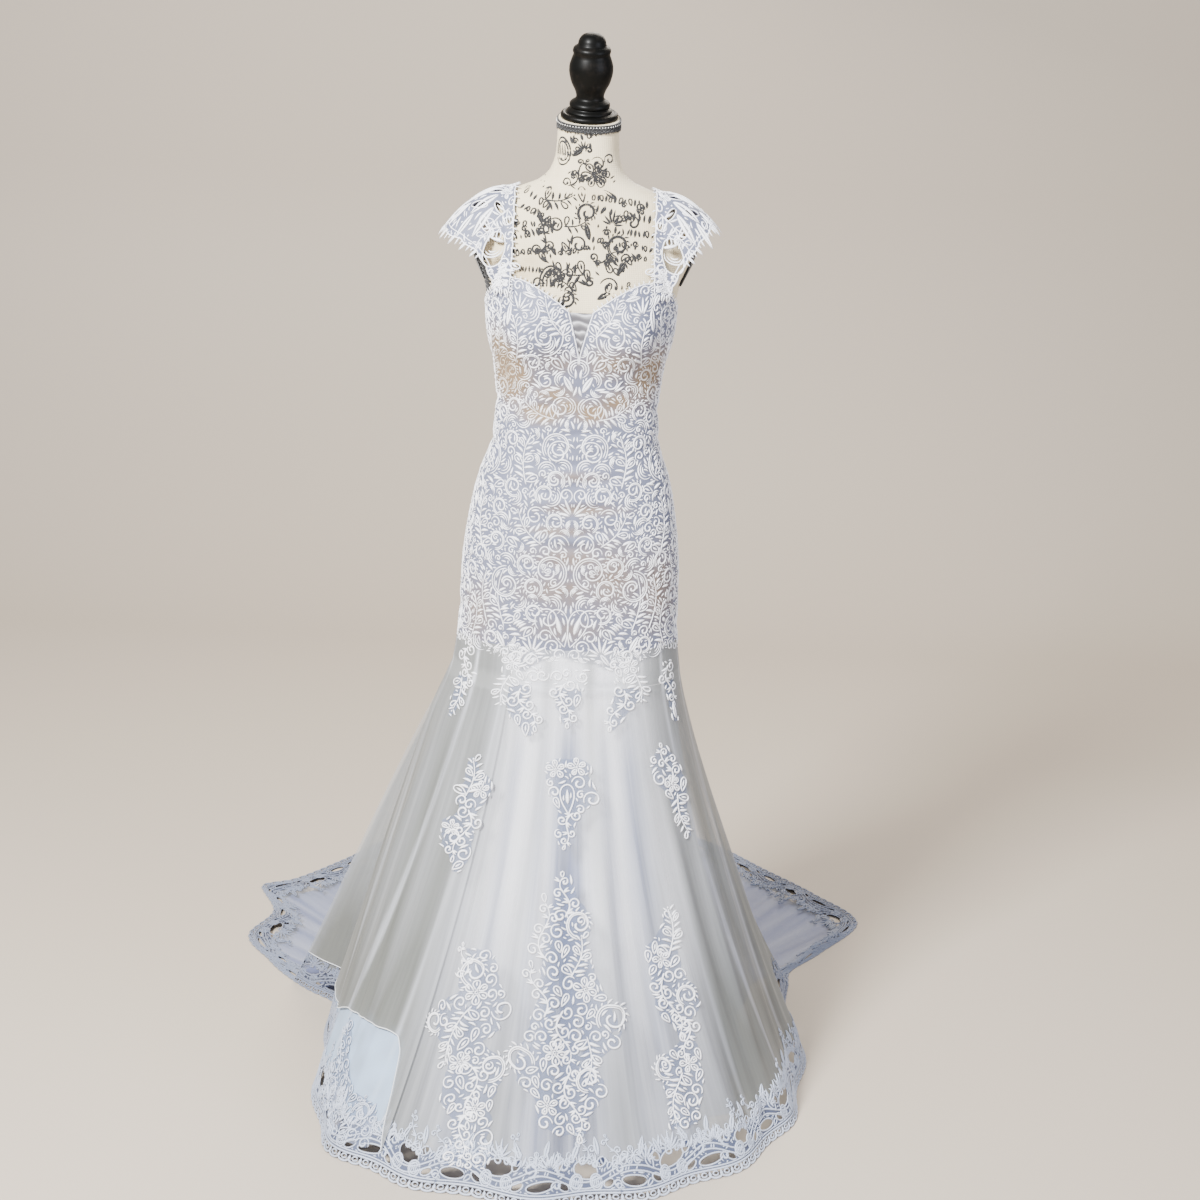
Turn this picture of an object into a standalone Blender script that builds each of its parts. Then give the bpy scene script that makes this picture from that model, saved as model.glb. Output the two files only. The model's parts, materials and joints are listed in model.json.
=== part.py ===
"""Mermaid wedding dress with cap sleeves, a lace hem border and a train, worn by a limbless dress form.

Metres, +Z up. The origin is on the floor under the form's pole. The dress faces -Y.
Angles go round the pole in degrees: 0 is centre front, 90 is +X, -90 is -X and 180 is centre back.
"""

import math

import bpy
import numpy as np

# ---- Cloth and seams -------------------------------------------------------------------------
CLOTH = 0.0015  # wall of lace, satin and tulle
SEAM_GAP = 0.0003  # between two pieces that are sewn together
SKIN_GAP = 0.0030  # between the form and the cloth on it
COLUMN_STEP = 10  # degrees between the columns of the body and the panels on it
SHARP_EDGE = math.radians(50)
SEAM_RADIUS, SKIRT_SEAM_RADIUS, NOTCH_RADIUS = 0.13, 0.12, 0.10  # where a seam gap is turned to degrees

# ---- Heights of the dress --------------------------------------------------------------------
FLARE_TOP = 0.700  # seam between the fitted hips and the flared skirt
WAIST_SEAM = 1.095
CUP_SEAM = 1.165
NOTCH_POINT = 1.2016  # lower point of the illusion notch between the cups
NOTCH_TOP = 1.2650
NOTCH_ANGLE = 9.8  # half the width of the notch at its top, in degrees
NOTCH_FOLDS = 4
NOTCH_FOLD_DEPTH = 0.0012
NOTCH_INSET_LOW = 0.006  # the inset begins this far above the notch's point

# ---- Seam angles -----------------------------------------------------------------------------
SIDE_FRONT = 60
SIDE_BACK = 120
HIP_FRONT = 40
CUP_COLUMNS = (17.0, 25.0, 34.0, 43.0, 51.5)  # between the notch and the side seam, at the top edge

# ---- Dress form ------------------------------------------------------------------------------
FORM_BOTTOM = 0.705
NECK_TOP = 1.535
NECK_SLANT = math.radians(13)  # the neck's top slopes down to the front
SLANT_FROM = 1.462
BUST_HEIGHT, BUST_ANGLE, BUST_RISE = 1.232, 37, 0.029
BUST_SPREAD_ANGLE, BUST_SPREAD_HEIGHT = 19, 0.047
TRIM_HEIGHT, TRIM_THICKNESS = 1.523, 0.0025
ARMHOLE_ANGLES = (80, 90, 100, 110)
ARMHOLE_LOW, ARMHOLE_HIGH, ARMHOLE_THICKNESS = 1.295, 1.390, 0.0025
BASE_THICKNESS = 0.026

# Turned parts, by radius and height, each down its outer side from the axis to the axis. The plate and
# the knob are measured from the neck's top, the foot from the floor.
PLATE_PROFILE = (
    (0.0, 0.0085), (0.0360, 0.0085), (0.0405, 0.0070), (0.0420, 0.0040), (0.0420, 0.0), (0.0, 0.0),
)
KNOB_PROFILE = (
    (0.0, 0.1220), (0.0080, 0.1212), (0.0150, 0.1180), (0.0195, 0.1115), (0.0208, 0.1040),
    (0.0260, 0.1015), (0.0280, 0.0965), (0.0262, 0.0915), (0.0285, 0.0860), (0.0318, 0.0760),
    (0.0320, 0.0650), (0.0285, 0.0510), (0.0225, 0.0400), (0.0200, 0.0320), (0.0210, 0.0275),
    (0.0290, 0.0225), (0.0300, 0.0175), (0.0275, 0.0145), (0.0325, 0.0120), (0.0335, 0.0088),
    (0.0, 0.0088),
)
FOOT_PROFILE = (
    (0.0, BASE_THICKNESS), (0.0900, BASE_THICKNESS), (0.1300, 0.0200), (0.1440, 0.0140),
    (0.1500, 0.0080), (0.1500, 0.0), (0.0, 0.0),
)
# The pole, with heights down from the form's underside and then up from the foot.
POLE_UPPER = ((0.0, 0.0), (0.0450, 0.0), (0.0450, 0.0100), (0.0200, 0.0220), (0.0160, 0.0400))
POLE_LOWER = ((0.0160, 0.0600), (0.0240, 0.0400), (0.0300, 0.0120), (0.0340, 0.0), (0.0, 0.0))

# Sections of the form's body.
#        height  half_width  front   back
TORSO = (
    (0.7000, 0.1735, 0.118, 0.125),
    (0.7500, 0.1670, 0.117, 0.128),
    (0.8100, 0.1640, 0.115, 0.137),
    (0.8700, 0.1620, 0.112, 0.138),
    (0.9350, 0.1545, 0.106, 0.126),
    (1.0000, 0.1410, 0.096, 0.104),
    (1.0600, 0.1220, 0.086, 0.088),
    (1.1200, 0.1180, 0.082, 0.080),
    (1.1750, 0.1235, 0.086, 0.082),
    (1.2250, 0.1355, 0.095, 0.088),
    (1.2700, 0.1395, 0.097, 0.095),
    (1.3000, 0.1460, 0.093, 0.100),
    (1.3300, 0.1600, 0.087, 0.102),
    (1.3600, 0.1690, 0.079, 0.100),
    (1.3850, 0.1670, 0.071, 0.095),
    (1.4030, 0.1560, 0.064, 0.090),
    (1.4170, 0.1380, 0.058, 0.083),
    (1.4270, 0.1160, 0.054, 0.076),
    (1.4350, 0.0940, 0.051, 0.071),
    (1.4450, 0.0700, 0.049, 0.066),
    (1.4610, 0.0540, 0.047, 0.058),
    (1.4850, 0.0465, 0.044, 0.051),
    (1.5350, 0.0445, 0.042, 0.047),
)
SECTION_POWER = 2.3  # a section is a little squarer than an ellipse
FORM_ROWS = (
    0.705, 0.755, 0.810, 0.865, 0.920, 0.975, 1.035, 1.095, 1.130, 1.165, 1.200, 1.235, 1.270,
    1.300, 1.330, 1.360, 1.385, 1.403, 1.417, 1.427, 1.435, 1.445, 1.461, 1.485, 1.523, 1.535,
)

# Upper edge of the bodice: sweetheart front, low under the arm, straight back.
#             angle  height
BODICE_TOP = (
    (9.8, 1.2650),
    (20, 1.2790),
    (30, 1.2910),
    (42, 1.3030),
    (50, 1.3080),
    (60, 1.3030),
    (72, 1.2840),
    (84, 1.2650),
    (96, 1.2600),
    (110, 1.2640),
    (124, 1.2820),
    (136, 1.2900),
    (180, 1.2900),
)

# Cap sleeve: the strap runs over the shoulder, round a line along X at this height.
SLEEVE_AXIS_HEIGHT = 1.285
SLEEVE_INNER = 0.1000  # the edge towards the neck
SLEEVE_HELD = 0.112  # out to here the strap lies on the shoulder, and past it the cap stands free
SLEEVE_HELD_LOW = 0.014  # the same edge is this much further out at the strap's two ends
SLEEVE_DROOP = 7.2  # the free cap drops by this times the distance squared
SLEEVE_GAP, SLEEVE_GAP_LOW = 0.0034, 0.0030  # off the form on top, and more of it over the bodice
#               turn  outer_left  outer_right   (turn in degrees: -90 front, 0 up, 90 back)
SLEEVE_EDGE = (
    (-90, 0.126, 0.126),
    (-72, 0.134, 0.134),
    (-56, 0.144, 0.143),
    (-42, 0.158, 0.155),
    (-30, 0.178, 0.168),
    (-14, 0.201, 0.183),
    (4, 0.206, 0.186),
    (24, 0.192, 0.178),
    (44, 0.168, 0.162),
    (64, 0.146, 0.144),
    (90, 0.126, 0.126),
)
SLEEVE_COLUMNS, SLEEVE_ROWS = 7, 17
# Crescent windows of the lace: cells by column from the inner edge and by row from the front.
#                  column  rows
SLEEVE_WINDOWS = (
    (2, (2, 3)),
    (4, (3, 4)),
    (3, (6, 7)),
    (3, (9, 10)),
    (4, (12, 13)),
    (2, (12, 13)),
)

# Hem of the outer skirt on the floor: a round front, and a train behind with two folded points.
#        angle     x       y
HEM = (
    (-180, 0.000, 1.110),
    (-171, -0.160, 1.090),
    (-162, -0.310, 1.000),
    (-152, -0.445, 0.810),
    (-146, -0.530, 0.705),
    (-141, -0.585, 0.668),
    (-136, -0.545, 0.555),
    (-130, -0.575, 0.452),
    (-122, -0.520, 0.345),
    (-113, -0.440, 0.240),
    (-105, -0.372, 0.170),
    (-95, -0.370, 0.045),
    (-80, -0.368, -0.075),
    (-60, -0.345, -0.245),
    (-30, -0.212, -0.368),
    (0, 0.000, -0.415),
    (30, 0.205, -0.352),
    (60, 0.355, -0.205),
    (85, 0.410, -0.020),
    (100, 0.420, 0.120),
    (112, 0.408, 0.260),
    (120, 0.424, 0.362),
    (128, 0.505, 0.475),
    (134, 0.590, 0.615),
    (142, 0.520, 0.740),
    (150, 0.430, 0.855),
    (160, 0.310, 1.000),
    (170, 0.165, 1.090),
    (180, 0.000, 1.110),
)
# How the skirt swings out on its way down: 1 is a straight cone, and more starts steeper.
#              angle  power
FLARE_POWER = (
    (-180, 1.35),
    (-135, 0.88),
    (-95, 0.86),
    (-60, 1.15),
    (-20, 1.35),
    (40, 1.30),
    (90, 1.10),
    (140, 1.12),
    (180, 1.35),
)
LANDING = 0.530  # the train reaches the floor this far from the pole
TRAIN_DROOP, TRAIN_DROOP_MORE = 1.08, 0.32  # how the fall bends in, and more of it where a train lies
WAVE_GROWTH = 1.5  # the folds grow with this power of the way down
CLOTH_FLAT = 0.10  # folds are gone this far along the floor
SKIRT_STEP, SKIRT_ROWS = 5, 8
WAVES, FIRST_WAVE = 15, -3.0  # folds round the skirt, and the angle of one crest
OUTER_WAVE, TRAIN_RIPPLE = 0.014, 0.007
HEM_RISE = 0.0030  # the outer skirt lies this high over the lining on the floor
BORDER_FROM = 0.900  # share of the skirt's length where the lace border begins
GORES = (-180, -140, -100, -60, -20, 20, 60, 100, 140, 180)

# Lining: inside the tulle, with deep round folds, and short of the lace border.
LINING_SHORT = 0.068
HIP_GAP, LINING_GAP = 0.0006, 0.0120  # between lining and tulle, at the hip and further down
LINING_WAVE, LINING_WAVE_GROWTH = 0.042, 1.6
LINING_FREE = 0.13  # share of the fall where the lining is clear of the tulle by all of the gap
LINING_FALL_ROWS = (0, 0.26, 0.50, 0.72, 0.88, 1)  # shares of the way down to where it lands
LINING_TRAIN_ROWS = (0.5, 1)  # shares of the way from there to its hem
LATEST_LANDING = 0.87
LINING_PANELS = (-180, -135, -90, -30, 30, 90, 135, 180)

# The tulle's deep fold on the left, which lies over the skirt. Its edge rises clear of the border.
#            angle  share of the skirt's length
FOLD_EDGE = (
    (-115, 0.885),
    (-105, 0.880),
    (-95, 0.865),
    (-80, 0.840),
    (-65, 0.800),
    (-50, 0.795),
    (-40, 0.880),
)
FOLD_TOP = 0.004
FOLD_GAP = 0.0040  # it leaves the skirt at its top and is this far off one row of points further down

# Lace sprays sewn on the tulle: a share of the skirt's length from top to bottom.
#            name               angle  half_angle  top    bottom
SPRAYS = (
    ("spray_front_upper", 5, 10, 0.15, 0.30),
    ("spray_left_upper", -45, 10, 0.16, 0.38),
    ("spray_right_upper", 55, 10, 0.13, 0.31),
    ("spray_front_lower", 5, 10, 0.40, 0.88),
    ("spray_left_lower", -20, 10, 0.52, 0.89),
    ("spray_right_lower", 35, 10, 0.44, 0.88),
    ("point_front", 5, 10, 0.02, 0.10),
    ("point_left", -25, 10, 0.02, 0.12),
    ("point_right", 35, 10, 0.02, 0.12),
)
SPRAY_ROWS, SPRAY_TAPER = 5, 0.55  # at its two sides a spray is shorter by this share
SPRAY_GAP, SPRAY_THICKNESS = 0.0008, 0.0020

# Lace border on the outer hem, with two windows in each repeat.
BORDER_SEAM = 0.0011  # between the tulle and the border
BORDER_ROWS, BORDER_REPEAT = 5, 4
WIDE_WINDOW = (2, 1)  # column and row of a cell in a repeat
SMALL_WINDOW = (0, 3)

COLLECTION = "wedding_dress_on_form"
MATERIALS = {
    # name: (red, green, blue, alpha, roughness)
    "lace": (0.86, 0.87, 0.91, 1.0, 0.55),
    "champagne": (0.74, 0.68, 0.60, 1.0, 0.60),
    "illusion": (0.70, 0.68, 0.66, 1.0, 0.60),
    "satin": (0.80, 0.82, 0.88, 1.0, 0.35),
    "tulle": (0.80, 0.81, 0.84, 0.6, 0.70),
    "linen": (0.84, 0.80, 0.71, 1.0, 0.85),
    "black_wood": (0.02, 0.02, 0.02, 1.0, 0.40),
    "black_braid": (0.015, 0.015, 0.015, 1.0, 0.80),
}


def smooth(rows, column, at):
    """A table's column at a value of its first column, as a smooth curve that never overshoots."""
    keys = np.array([row[0] for row in rows], float)
    values = np.array([row[column] for row in rows], float)
    steps = np.diff(keys)
    slopes = np.diff(values) / steps
    tangents = np.zeros(len(keys))
    tangents[0], tangents[-1] = slopes[0], slopes[-1]
    for i in range(1, len(keys) - 1):
        if slopes[i - 1] * slopes[i] > 0:
            tangents[i] = 2 * slopes[i - 1] * slopes[i] / (slopes[i - 1] + slopes[i])
    at = min(max(at, keys[0]), keys[-1])
    i = min(int(np.searchsorted(keys, at, side="right")) - 1, len(steps) - 1)
    s = (at - keys[i]) / steps[i]
    return (
        values[i] * (1 + 2 * s) * (1 - s) ** 2
        + tangents[i] * steps[i] * s * (1 - s) ** 2
        + values[i + 1] * s * s * (3 - 2 * s)
        + tangents[i + 1] * steps[i] * s * s * (s - 1)
    )


def direction(angle):
    """The level unit vector at an angle round the pole."""
    a = math.radians(angle)
    return np.array([math.sin(a), -math.cos(a), 0.0])


def body_radius(angle, height):
    """How far the form's surface is from the pole's line."""
    half_width, front, back = (smooth(TORSO, column, height) for column in (1, 2, 3))
    a = math.radians(angle)
    depth = front if math.cos(a) > 0 else back
    across = abs(math.sin(a) / half_width) ** SECTION_POWER
    along = abs(math.cos(a) / depth) ** SECTION_POWER
    rise = math.exp(-(((abs(angle) - BUST_ANGLE) / BUST_SPREAD_ANGLE) ** 2))
    rise *= math.exp(-(((height - BUST_HEIGHT) / BUST_SPREAD_HEIGHT) ** 2))
    return (across + along) ** (-1 / SECTION_POWER) + BUST_RISE * rise


def body(angle, height):
    """A point of the form's surface. Near the top of the neck the sections slant."""
    point = direction(angle) * body_radius(angle, height)
    slant = max(0.0, (height - SLANT_FROM) / (NECK_TOP - SLANT_FROM))
    point[2] = height + point[1] * math.tan(NECK_SLANT) * slant
    return point


def normal_of(surface, u, v, du, dv):
    """The unit normal of a surface, on the side that cross(du, dv) points to."""
    along_u = surface(u + du, v) - surface(u - du, v)
    along_v = surface(u, v + dv) - surface(u, v - dv)
    n = np.cross(along_u, along_v)
    return n / max(np.linalg.norm(n), 1e-12)


def body_wall(angles, heights_of, gap, thickness, angle_of=None):
    """Inner and outer points of a panel on the form. heights_of(angle) gives a column's heights."""
    columns = [[(angle, h) for h in heights_of(angle)] for angle in angles]
    if angle_of:
        columns = [[(angle_of(a, h), h) for a, h in column] for column in columns]
    inner, outer = [], []
    for column in columns:
        normals = [normal_of(body, a, h, 0.5, 0.002) for a, h in column]
        points = [body(a, h) for a, h in column]
        inner.append([p + n * gap for p, n in zip(points, normals)])
        outer.append([p + n * (gap + thickness) for p, n in zip(points, normals)])
    return np.array(inner), np.array(outer)


def add_wall(name, inner, outer, material, wrap=False, kept=None):
    """A closed wall between two grids of points, indexed [column][row]. kept says which cells are cloth."""
    columns, rows = inner.shape[:2]
    cells_across = columns if wrap else columns - 1
    if kept is None:
        kept = np.ones((cells_across, rows - 1), bool)
    count = columns * rows
    vertices = np.concatenate([inner.reshape(-1, 3), outer.reshape(-1, 3)])
    faces = []

    def index(c, r, side):
        return side * count + (c % columns) * rows + r

    def is_kept(c, r):
        if wrap:
            c %= columns
        return 0 <= c < cells_across and 0 <= r < rows - 1 and kept[c][r]

    def rim(a, b):
        """The strip between the two grids along an edge from corner a to corner b, cloth on its left."""
        (ca, ra), (cb, rb) = a, b
        faces.append((index(ca, ra, 1), index(ca, ra, 0), index(cb, rb, 0)))
        faces.append((index(ca, ra, 1), index(cb, rb, 0), index(cb, rb, 1)))

    for c in range(cells_across):
        for r in range(rows - 1):
            if not kept[c][r]:
                continue
            corners = ((c, r), (c + 1, r), (c + 1, r + 1), (c, r + 1))
            low = [index(*corner, 0) for corner in corners]
            high = [index(*corner, 1) for corner in corners]
            faces += [(high[0], high[1], high[2]), (high[0], high[2], high[3])]
            faces += [(low[0], low[2], low[1]), (low[0], low[3], low[2])]
            for i, (dc, dr) in enumerate(((0, -1), (1, 0), (0, 1), (-1, 0))):
                if not is_kept(c + dc, r + dr):
                    rim(corners[i], corners[(i + 1) % 4])
    return add_mesh(name, vertices, faces, material)


def add_mesh(name, vertices, faces, material):
    """An object from points and faces, without the points that no face uses."""
    used = sorted({i for face in faces for i in face})
    place = {old: new for new, old in enumerate(used)}
    mesh = bpy.data.meshes.new(name)
    mesh.from_pydata([tuple(vertices[i]) for i in used], [], [[place[i] for i in f] for f in faces])
    mesh.update()
    mesh.shade_smooth()
    mesh.set_sharp_from_angle(angle=SHARP_EDGE)
    return place_object(bpy.data.objects.new(name, mesh), material)


def place_object(obj, material):
    """Gives an object its material and puts it in the dress's collection."""
    obj.data.materials.append(bpy.data.materials[material])
    bpy.data.collections[COLLECTION].objects.link(obj)
    return obj


def add_turned(name, profile, material, steps=20, at=(0, 0, 0), lean=0.0):
    """A turned solid. The profile runs down its outer side and is on the axis at both ends."""
    mesh = bpy.data.meshes.new(name)
    points = [(radius, 0.0, height) for radius, height in profile]
    mesh.from_pydata(points, [(i, i + 1) for i in range(len(points) - 1)], [])
    obj = place_object(bpy.data.objects.new(name, mesh), material)
    obj.location = at
    obj.rotation_euler = (lean, 0.0, 0.0)
    screw = obj.modifiers.new("turn", "SCREW")
    screw.steps = screw.render_steps = steps
    screw.use_merge_vertices = True
    screw.merge_threshold = 0.00005
    screw.use_smooth_shade = True
    return obj


# ---- Dress form ------------------------------------------------------------------------------
def full_circle():
    """Angles of the form's columns."""
    return list(range(-180, 180, COLUMN_STEP))


def add_form():
    """The closed body of the form, from the hips to the slanted top of the neck."""
    angles, rows = full_circle(), len(FORM_ROWS)
    vertices = [body(a, h) for a in angles for h in FORM_ROWS]
    count = len(angles)
    faces = []
    for c in range(count):
        for r in range(rows - 1):
            low_left, low_right = c * rows + r, ((c + 1) % count) * rows + r
            faces.append((low_left, low_right, low_right + 1))
            faces.append((low_left, low_right + 1, low_left + 1))
    faces.append([c * rows for c in reversed(range(count))])
    faces.append([c * rows + rows - 1 for c in range(count)])
    add_mesh("form_body", np.array(vertices), faces, "linen")


def add_neck_trim():
    """The braid round the top of the neck."""
    inner, outer = body_wall(
        full_circle(), lambda _: (TRIM_HEIGHT, NECK_TOP), SEAM_GAP, TRIM_THICKNESS
    )
    add_wall("neck_trim", inner, outer, "black_braid", wrap=True)


def add_finial():
    """The turned knob and the plate it stands on, leaning with the neck's top."""
    centre = (body(0, NECK_TOP) + body(180, NECK_TOP)) / 2
    up = np.array([0.0, -math.sin(NECK_SLANT), math.cos(NECK_SLANT)])
    for name, profile in (("neck_plate", PLATE_PROFILE), ("finial", KNOB_PROFILE)):
        add_turned(name, profile, "black_wood", 16, centre + up * SEAM_GAP, NECK_SLANT)


def add_stand():
    """The pole under the form and its round foot."""
    top = FORM_BOTTOM - SEAM_GAP
    foot = BASE_THICKNESS + SEAM_GAP
    pole = [(radius, top - depth) for radius, depth in POLE_UPPER]
    pole += [(radius, foot + height) for radius, height in POLE_LOWER]
    add_turned("stand_pole", pole, "black_wood", 16)
    add_turned("stand_base", FOOT_PROFILE, "black_wood", 32)


def add_armhole_covers():
    """The black covers over the form's armholes, on the same columns and rows as the form."""
    heights = [h for h in FORM_ROWS if ARMHOLE_LOW < h < ARMHOLE_HIGH]
    for name, side in (("armhole_cover_left", -1), ("armhole_cover_right", 1)):
        angles = sorted(side * a for a in ARMHOLE_ANGLES)
        inner, outer = body_wall(angles, lambda _: heights, SEAM_GAP, ARMHOLE_THICKNESS)
        add_wall(name, inner, outer, "black_braid")


# ---- Bodice and hips -------------------------------------------------------------------------
def columns_between(start, end):
    """Angles of a panel's columns, set in from its two seams by half the seam gap."""
    inset = math.degrees(SEAM_GAP / 2 / SEAM_RADIUS)
    angles = [float(a) for a in range(start, end + 1, COLUMN_STEP)]
    angles[0] += inset
    angles[-1] -= inset
    return angles


def rows_up_to(low, count):
    """heights_of for a panel that rises from a seam to the bodice's upper edge."""

    def heights(angle):
        high = smooth(BODICE_TOP, 1, abs(angle))
        return np.linspace(low + SEAM_GAP, high, count)

    return heights


def add_cups():
    """The two lace cups, parted above by the notch and meeting below it."""

    def spread(angle, height):
        """Maps a column named by its angle at the top to its angle at a height."""
        opened = NOTCH_ANGLE * min(1.0, max(0.0, (height - NOTCH_POINT) / (NOTCH_TOP - NOTCH_POINT)))
        inner_edge = opened + math.degrees(SEAM_GAP / 2 / NOTCH_RADIUS)
        share = (abs(angle) - NOTCH_ANGLE) / (side_edge - NOTCH_ANGLE)
        return math.copysign(inner_edge + (side_edge - inner_edge) * share, angle)

    side_edge = SIDE_FRONT - math.degrees(SEAM_GAP / 2 / SEAM_RADIUS)
    tops = [NOTCH_ANGLE, *CUP_COLUMNS, side_edge]
    for name, side in (("cup_left", -1), ("cup_right", 1)):
        angles = [side * a for a in (tops if side > 0 else reversed(tops))]
        inner, outer = body_wall(angles, rows_up_to(CUP_SEAM, 7), SKIN_GAP, CLOTH, spread)
        add_wall(name, inner, outer, "lace")


def add_notch():
    """The illusion piece that fills the notch, in level folds."""
    rows = 1 + 2 * NOTCH_FOLDS
    low = NOTCH_POINT + NOTCH_INSET_LOW

    def across(angle, height):
        opened = NOTCH_ANGLE * (height - NOTCH_POINT) / (NOTCH_TOP - NOTCH_POINT)
        return angle * (opened - math.degrees(SEAM_GAP / 2 / NOTCH_RADIUS))

    heights = np.linspace(low, NOTCH_TOP - 0.001, rows)
    inner, outer = body_wall((-1.0, 0.0, 1.0), lambda _: heights, SKIN_GAP, CLOTH, across)
    outer[:, 1::2] += np.array([0.0, -NOTCH_FOLD_DEPTH, 0.0])
    add_wall("notch_inset", inner, outer, "illusion")


def add_bodice():
    """The pieces between the cups and the waist seam, and the sides and the back."""
    inner, outer = body_wall(
        columns_between(-SIDE_FRONT, SIDE_FRONT),
        lambda _: np.linspace(WAIST_SEAM + SEAM_GAP, CUP_SEAM, 3),
        SKIN_GAP,
        CLOTH,
    )
    add_wall("midriff", inner, outer, "champagne")
    for side, word in ((-1, "left"), (1, "right")):
        for name, start, end, material, rows in (
            ("side", SIDE_FRONT, SIDE_BACK, "champagne", 6),
            ("back", SIDE_BACK, 180, "lace", 6),
        ):
            low, high = sorted((side * start, side * end))
            inner, outer = body_wall(
                columns_between(low, high), rows_up_to(WAIST_SEAM, rows), SKIN_GAP, CLOTH
            )
            add_wall(f"{name}_{word}", inner, outer, material)


def add_hips():
    """The fitted lace section from the waist seam to the flare."""
    middle = [h for h in FORM_ROWS if FLARE_TOP + 0.02 < h < WAIST_SEAM - 0.02]
    heights = [FLARE_TOP + SEAM_GAP, *middle, WAIST_SEAM]
    for name, start, end in (
        ("hip_front", -HIP_FRONT, HIP_FRONT),
        ("hip_side_right", HIP_FRONT, SIDE_BACK),
        ("hip_side_left", -SIDE_BACK, -HIP_FRONT),
        ("hip_back_right", SIDE_BACK, 180),
        ("hip_back_left", -180, -SIDE_BACK),
    ):
        inner, outer = body_wall(columns_between(start, end), lambda _: heights, SKIN_GAP, CLOTH)
        add_wall(name, inner, outer, "lace")


# ---- Cap sleeves -----------------------------------------------------------------------------
def shoulder(x, turn):
    """Where a ray in the plane of x, from the sleeve's line at a turn from straight up, leaves the form."""
    t = math.radians(turn)
    low, high = 0.0, 0.30
    for _ in range(34):
        reach = (low + high) / 2
        y, z = reach * math.sin(t), SLEEVE_AXIS_HEIGHT + reach * math.cos(t)
        angle = math.degrees(math.atan2(x, -y))
        if math.hypot(x, y) < body_radius(angle, z):
            low = reach
        else:
            high = reach
    return np.array([x, low * math.sin(t), SLEEVE_AXIS_HEIGHT + low * math.cos(t)])


def sleeve_surface(x, turn):
    """A point of the sleeve: on the shoulder, and past its end a cap that stands free and droops."""
    held = SLEEVE_HELD + SLEEVE_HELD_LOW * (turn / 90) ** 2
    point = shoulder(min(x, held), turn)
    past = max(0.0, x - held)
    point[0] = x
    point[2] -= SLEEVE_DROOP * past * past
    return point


def add_sleeves():
    """The two cap sleeves, which also are the straps."""
    turns = np.linspace(-90, 90, SLEEVE_ROWS)
    kept = np.ones((SLEEVE_COLUMNS - 1, SLEEVE_ROWS - 1), bool)
    for window_column, rows in SLEEVE_WINDOWS:
        kept[window_column, list(rows)] = False
    for name, side, column in (("cap_sleeve_left", -1, 1), ("cap_sleeve_right", 1, 2)):
        inner, outer = [], []
        for share in np.linspace(0, 1, SLEEVE_COLUMNS):
            low, high = [], []
            for turn in turns:
                edge = smooth(SLEEVE_EDGE, column, turn)
                x = SLEEVE_INNER + (edge - SLEEVE_INNER) * share
                n = -normal_of(sleeve_surface, x, turn, 0.002, 1.0)
                if n @ (sleeve_surface(x, turn) - np.array([0, 0, SLEEVE_AXIS_HEIGHT])) < 0:
                    n = -n
                gap = SLEEVE_GAP + SLEEVE_GAP_LOW * (turn / 90) ** 2
                point = sleeve_surface(x, turn) + n * gap
                mirror = np.array([side, 1, 1])
                low.append(point * mirror)
                high.append((point + n * CLOTH) * mirror)
            inner.append(low)
            outer.append(high)
        if side < 0:
            inner.reverse()
            outer.reverse()
        cells = kept if side > 0 else kept[::-1]
        add_wall(name, np.array(inner), np.array(outer), "lace", kept=cells)


# ---- Skirt -----------------------------------------------------------------------------------
def wrapped(angle):
    """An angle brought between -180 and 180 degrees."""
    return (angle + 180.0) % 360.0 - 180.0


def crest(angle):
    """1 on the crest of a fold of the skirt and 0 in the valley between two."""
    return (1 + math.cos(math.radians(WAVES * (angle - FIRST_WAVE)))) / 2


def spans(angle, short):
    """A skirt layer at an angle: its top and hem points, its level run and the part of it that falls, and
    the lengths of cloth that fall and lie. short is how far its hem stays inside the outer hem."""
    top = direction(angle) * (body_radius(angle, FLARE_TOP) + SKIN_GAP)
    hem = np.array([smooth(HEM, 1, angle), smooth(HEM, 2, angle), 0.0])
    hem *= 1 - short / np.linalg.norm(hem)
    run = np.linalg.norm(hem) - np.linalg.norm(top)
    to_landing = min(run, LANDING - short / 2 - np.linalg.norm(top))
    return top, hem, run, to_landing, math.hypot(FLARE_TOP, to_landing), run - to_landing


def flare(angle, share, short, rise):
    """A point of a skirt layer. share runs from 0 at the hip seam to 1 at the hem, and rise is how high
    the layer lies on the floor."""
    top, hem, run, to_landing, fall, lying = spans(angle, short)
    down = min(1.0, share * (fall + lying) / fall)
    along = max(0.0, share * (fall + lying) - fall)
    reach = (to_landing * down ** smooth(FLARE_POWER, 1, angle) + along) / run
    softness = TRAIN_DROOP + TRAIN_DROOP_MORE * min(1.0, lying / 0.12)
    point = top + (hem - top) * reach
    point[2] = rise + (FLARE_TOP - rise) * (1 - down) ** softness
    return point, down, along


def outer_skirt(angle, share):
    """The inner face of the outer tulle skirt."""
    angle = wrapped(angle)
    rise = HEM_RISE * min(1.0, max(0.0, (1 - share) / 0.04))
    point, down, along = flare(angle, share, 0.0, rise)
    held = max(0.0, 1 - along / CLOTH_FLAT)
    point = point + direction(angle) * OUTER_WAVE * down**WAVE_GROWTH * crest(angle) * held
    lifted = min(1.0, along / 0.15) * min(1.0, max(0.0, (1 - share) / 0.05))
    point[2] += TRAIN_RIPPLE * crest(2 * angle) * lifted
    return point


def on_gore(angle, share):
    """A point on the straight stretch between two rows of the outer skirt's points."""
    step = BORDER_FROM / (SKIRT_ROWS - 1)
    row = math.floor(share / step)
    along = share / step - row
    return (1 - along) * outer_skirt(angle, row * step) + along * outer_skirt(angle, (row + 1) * step)


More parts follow.
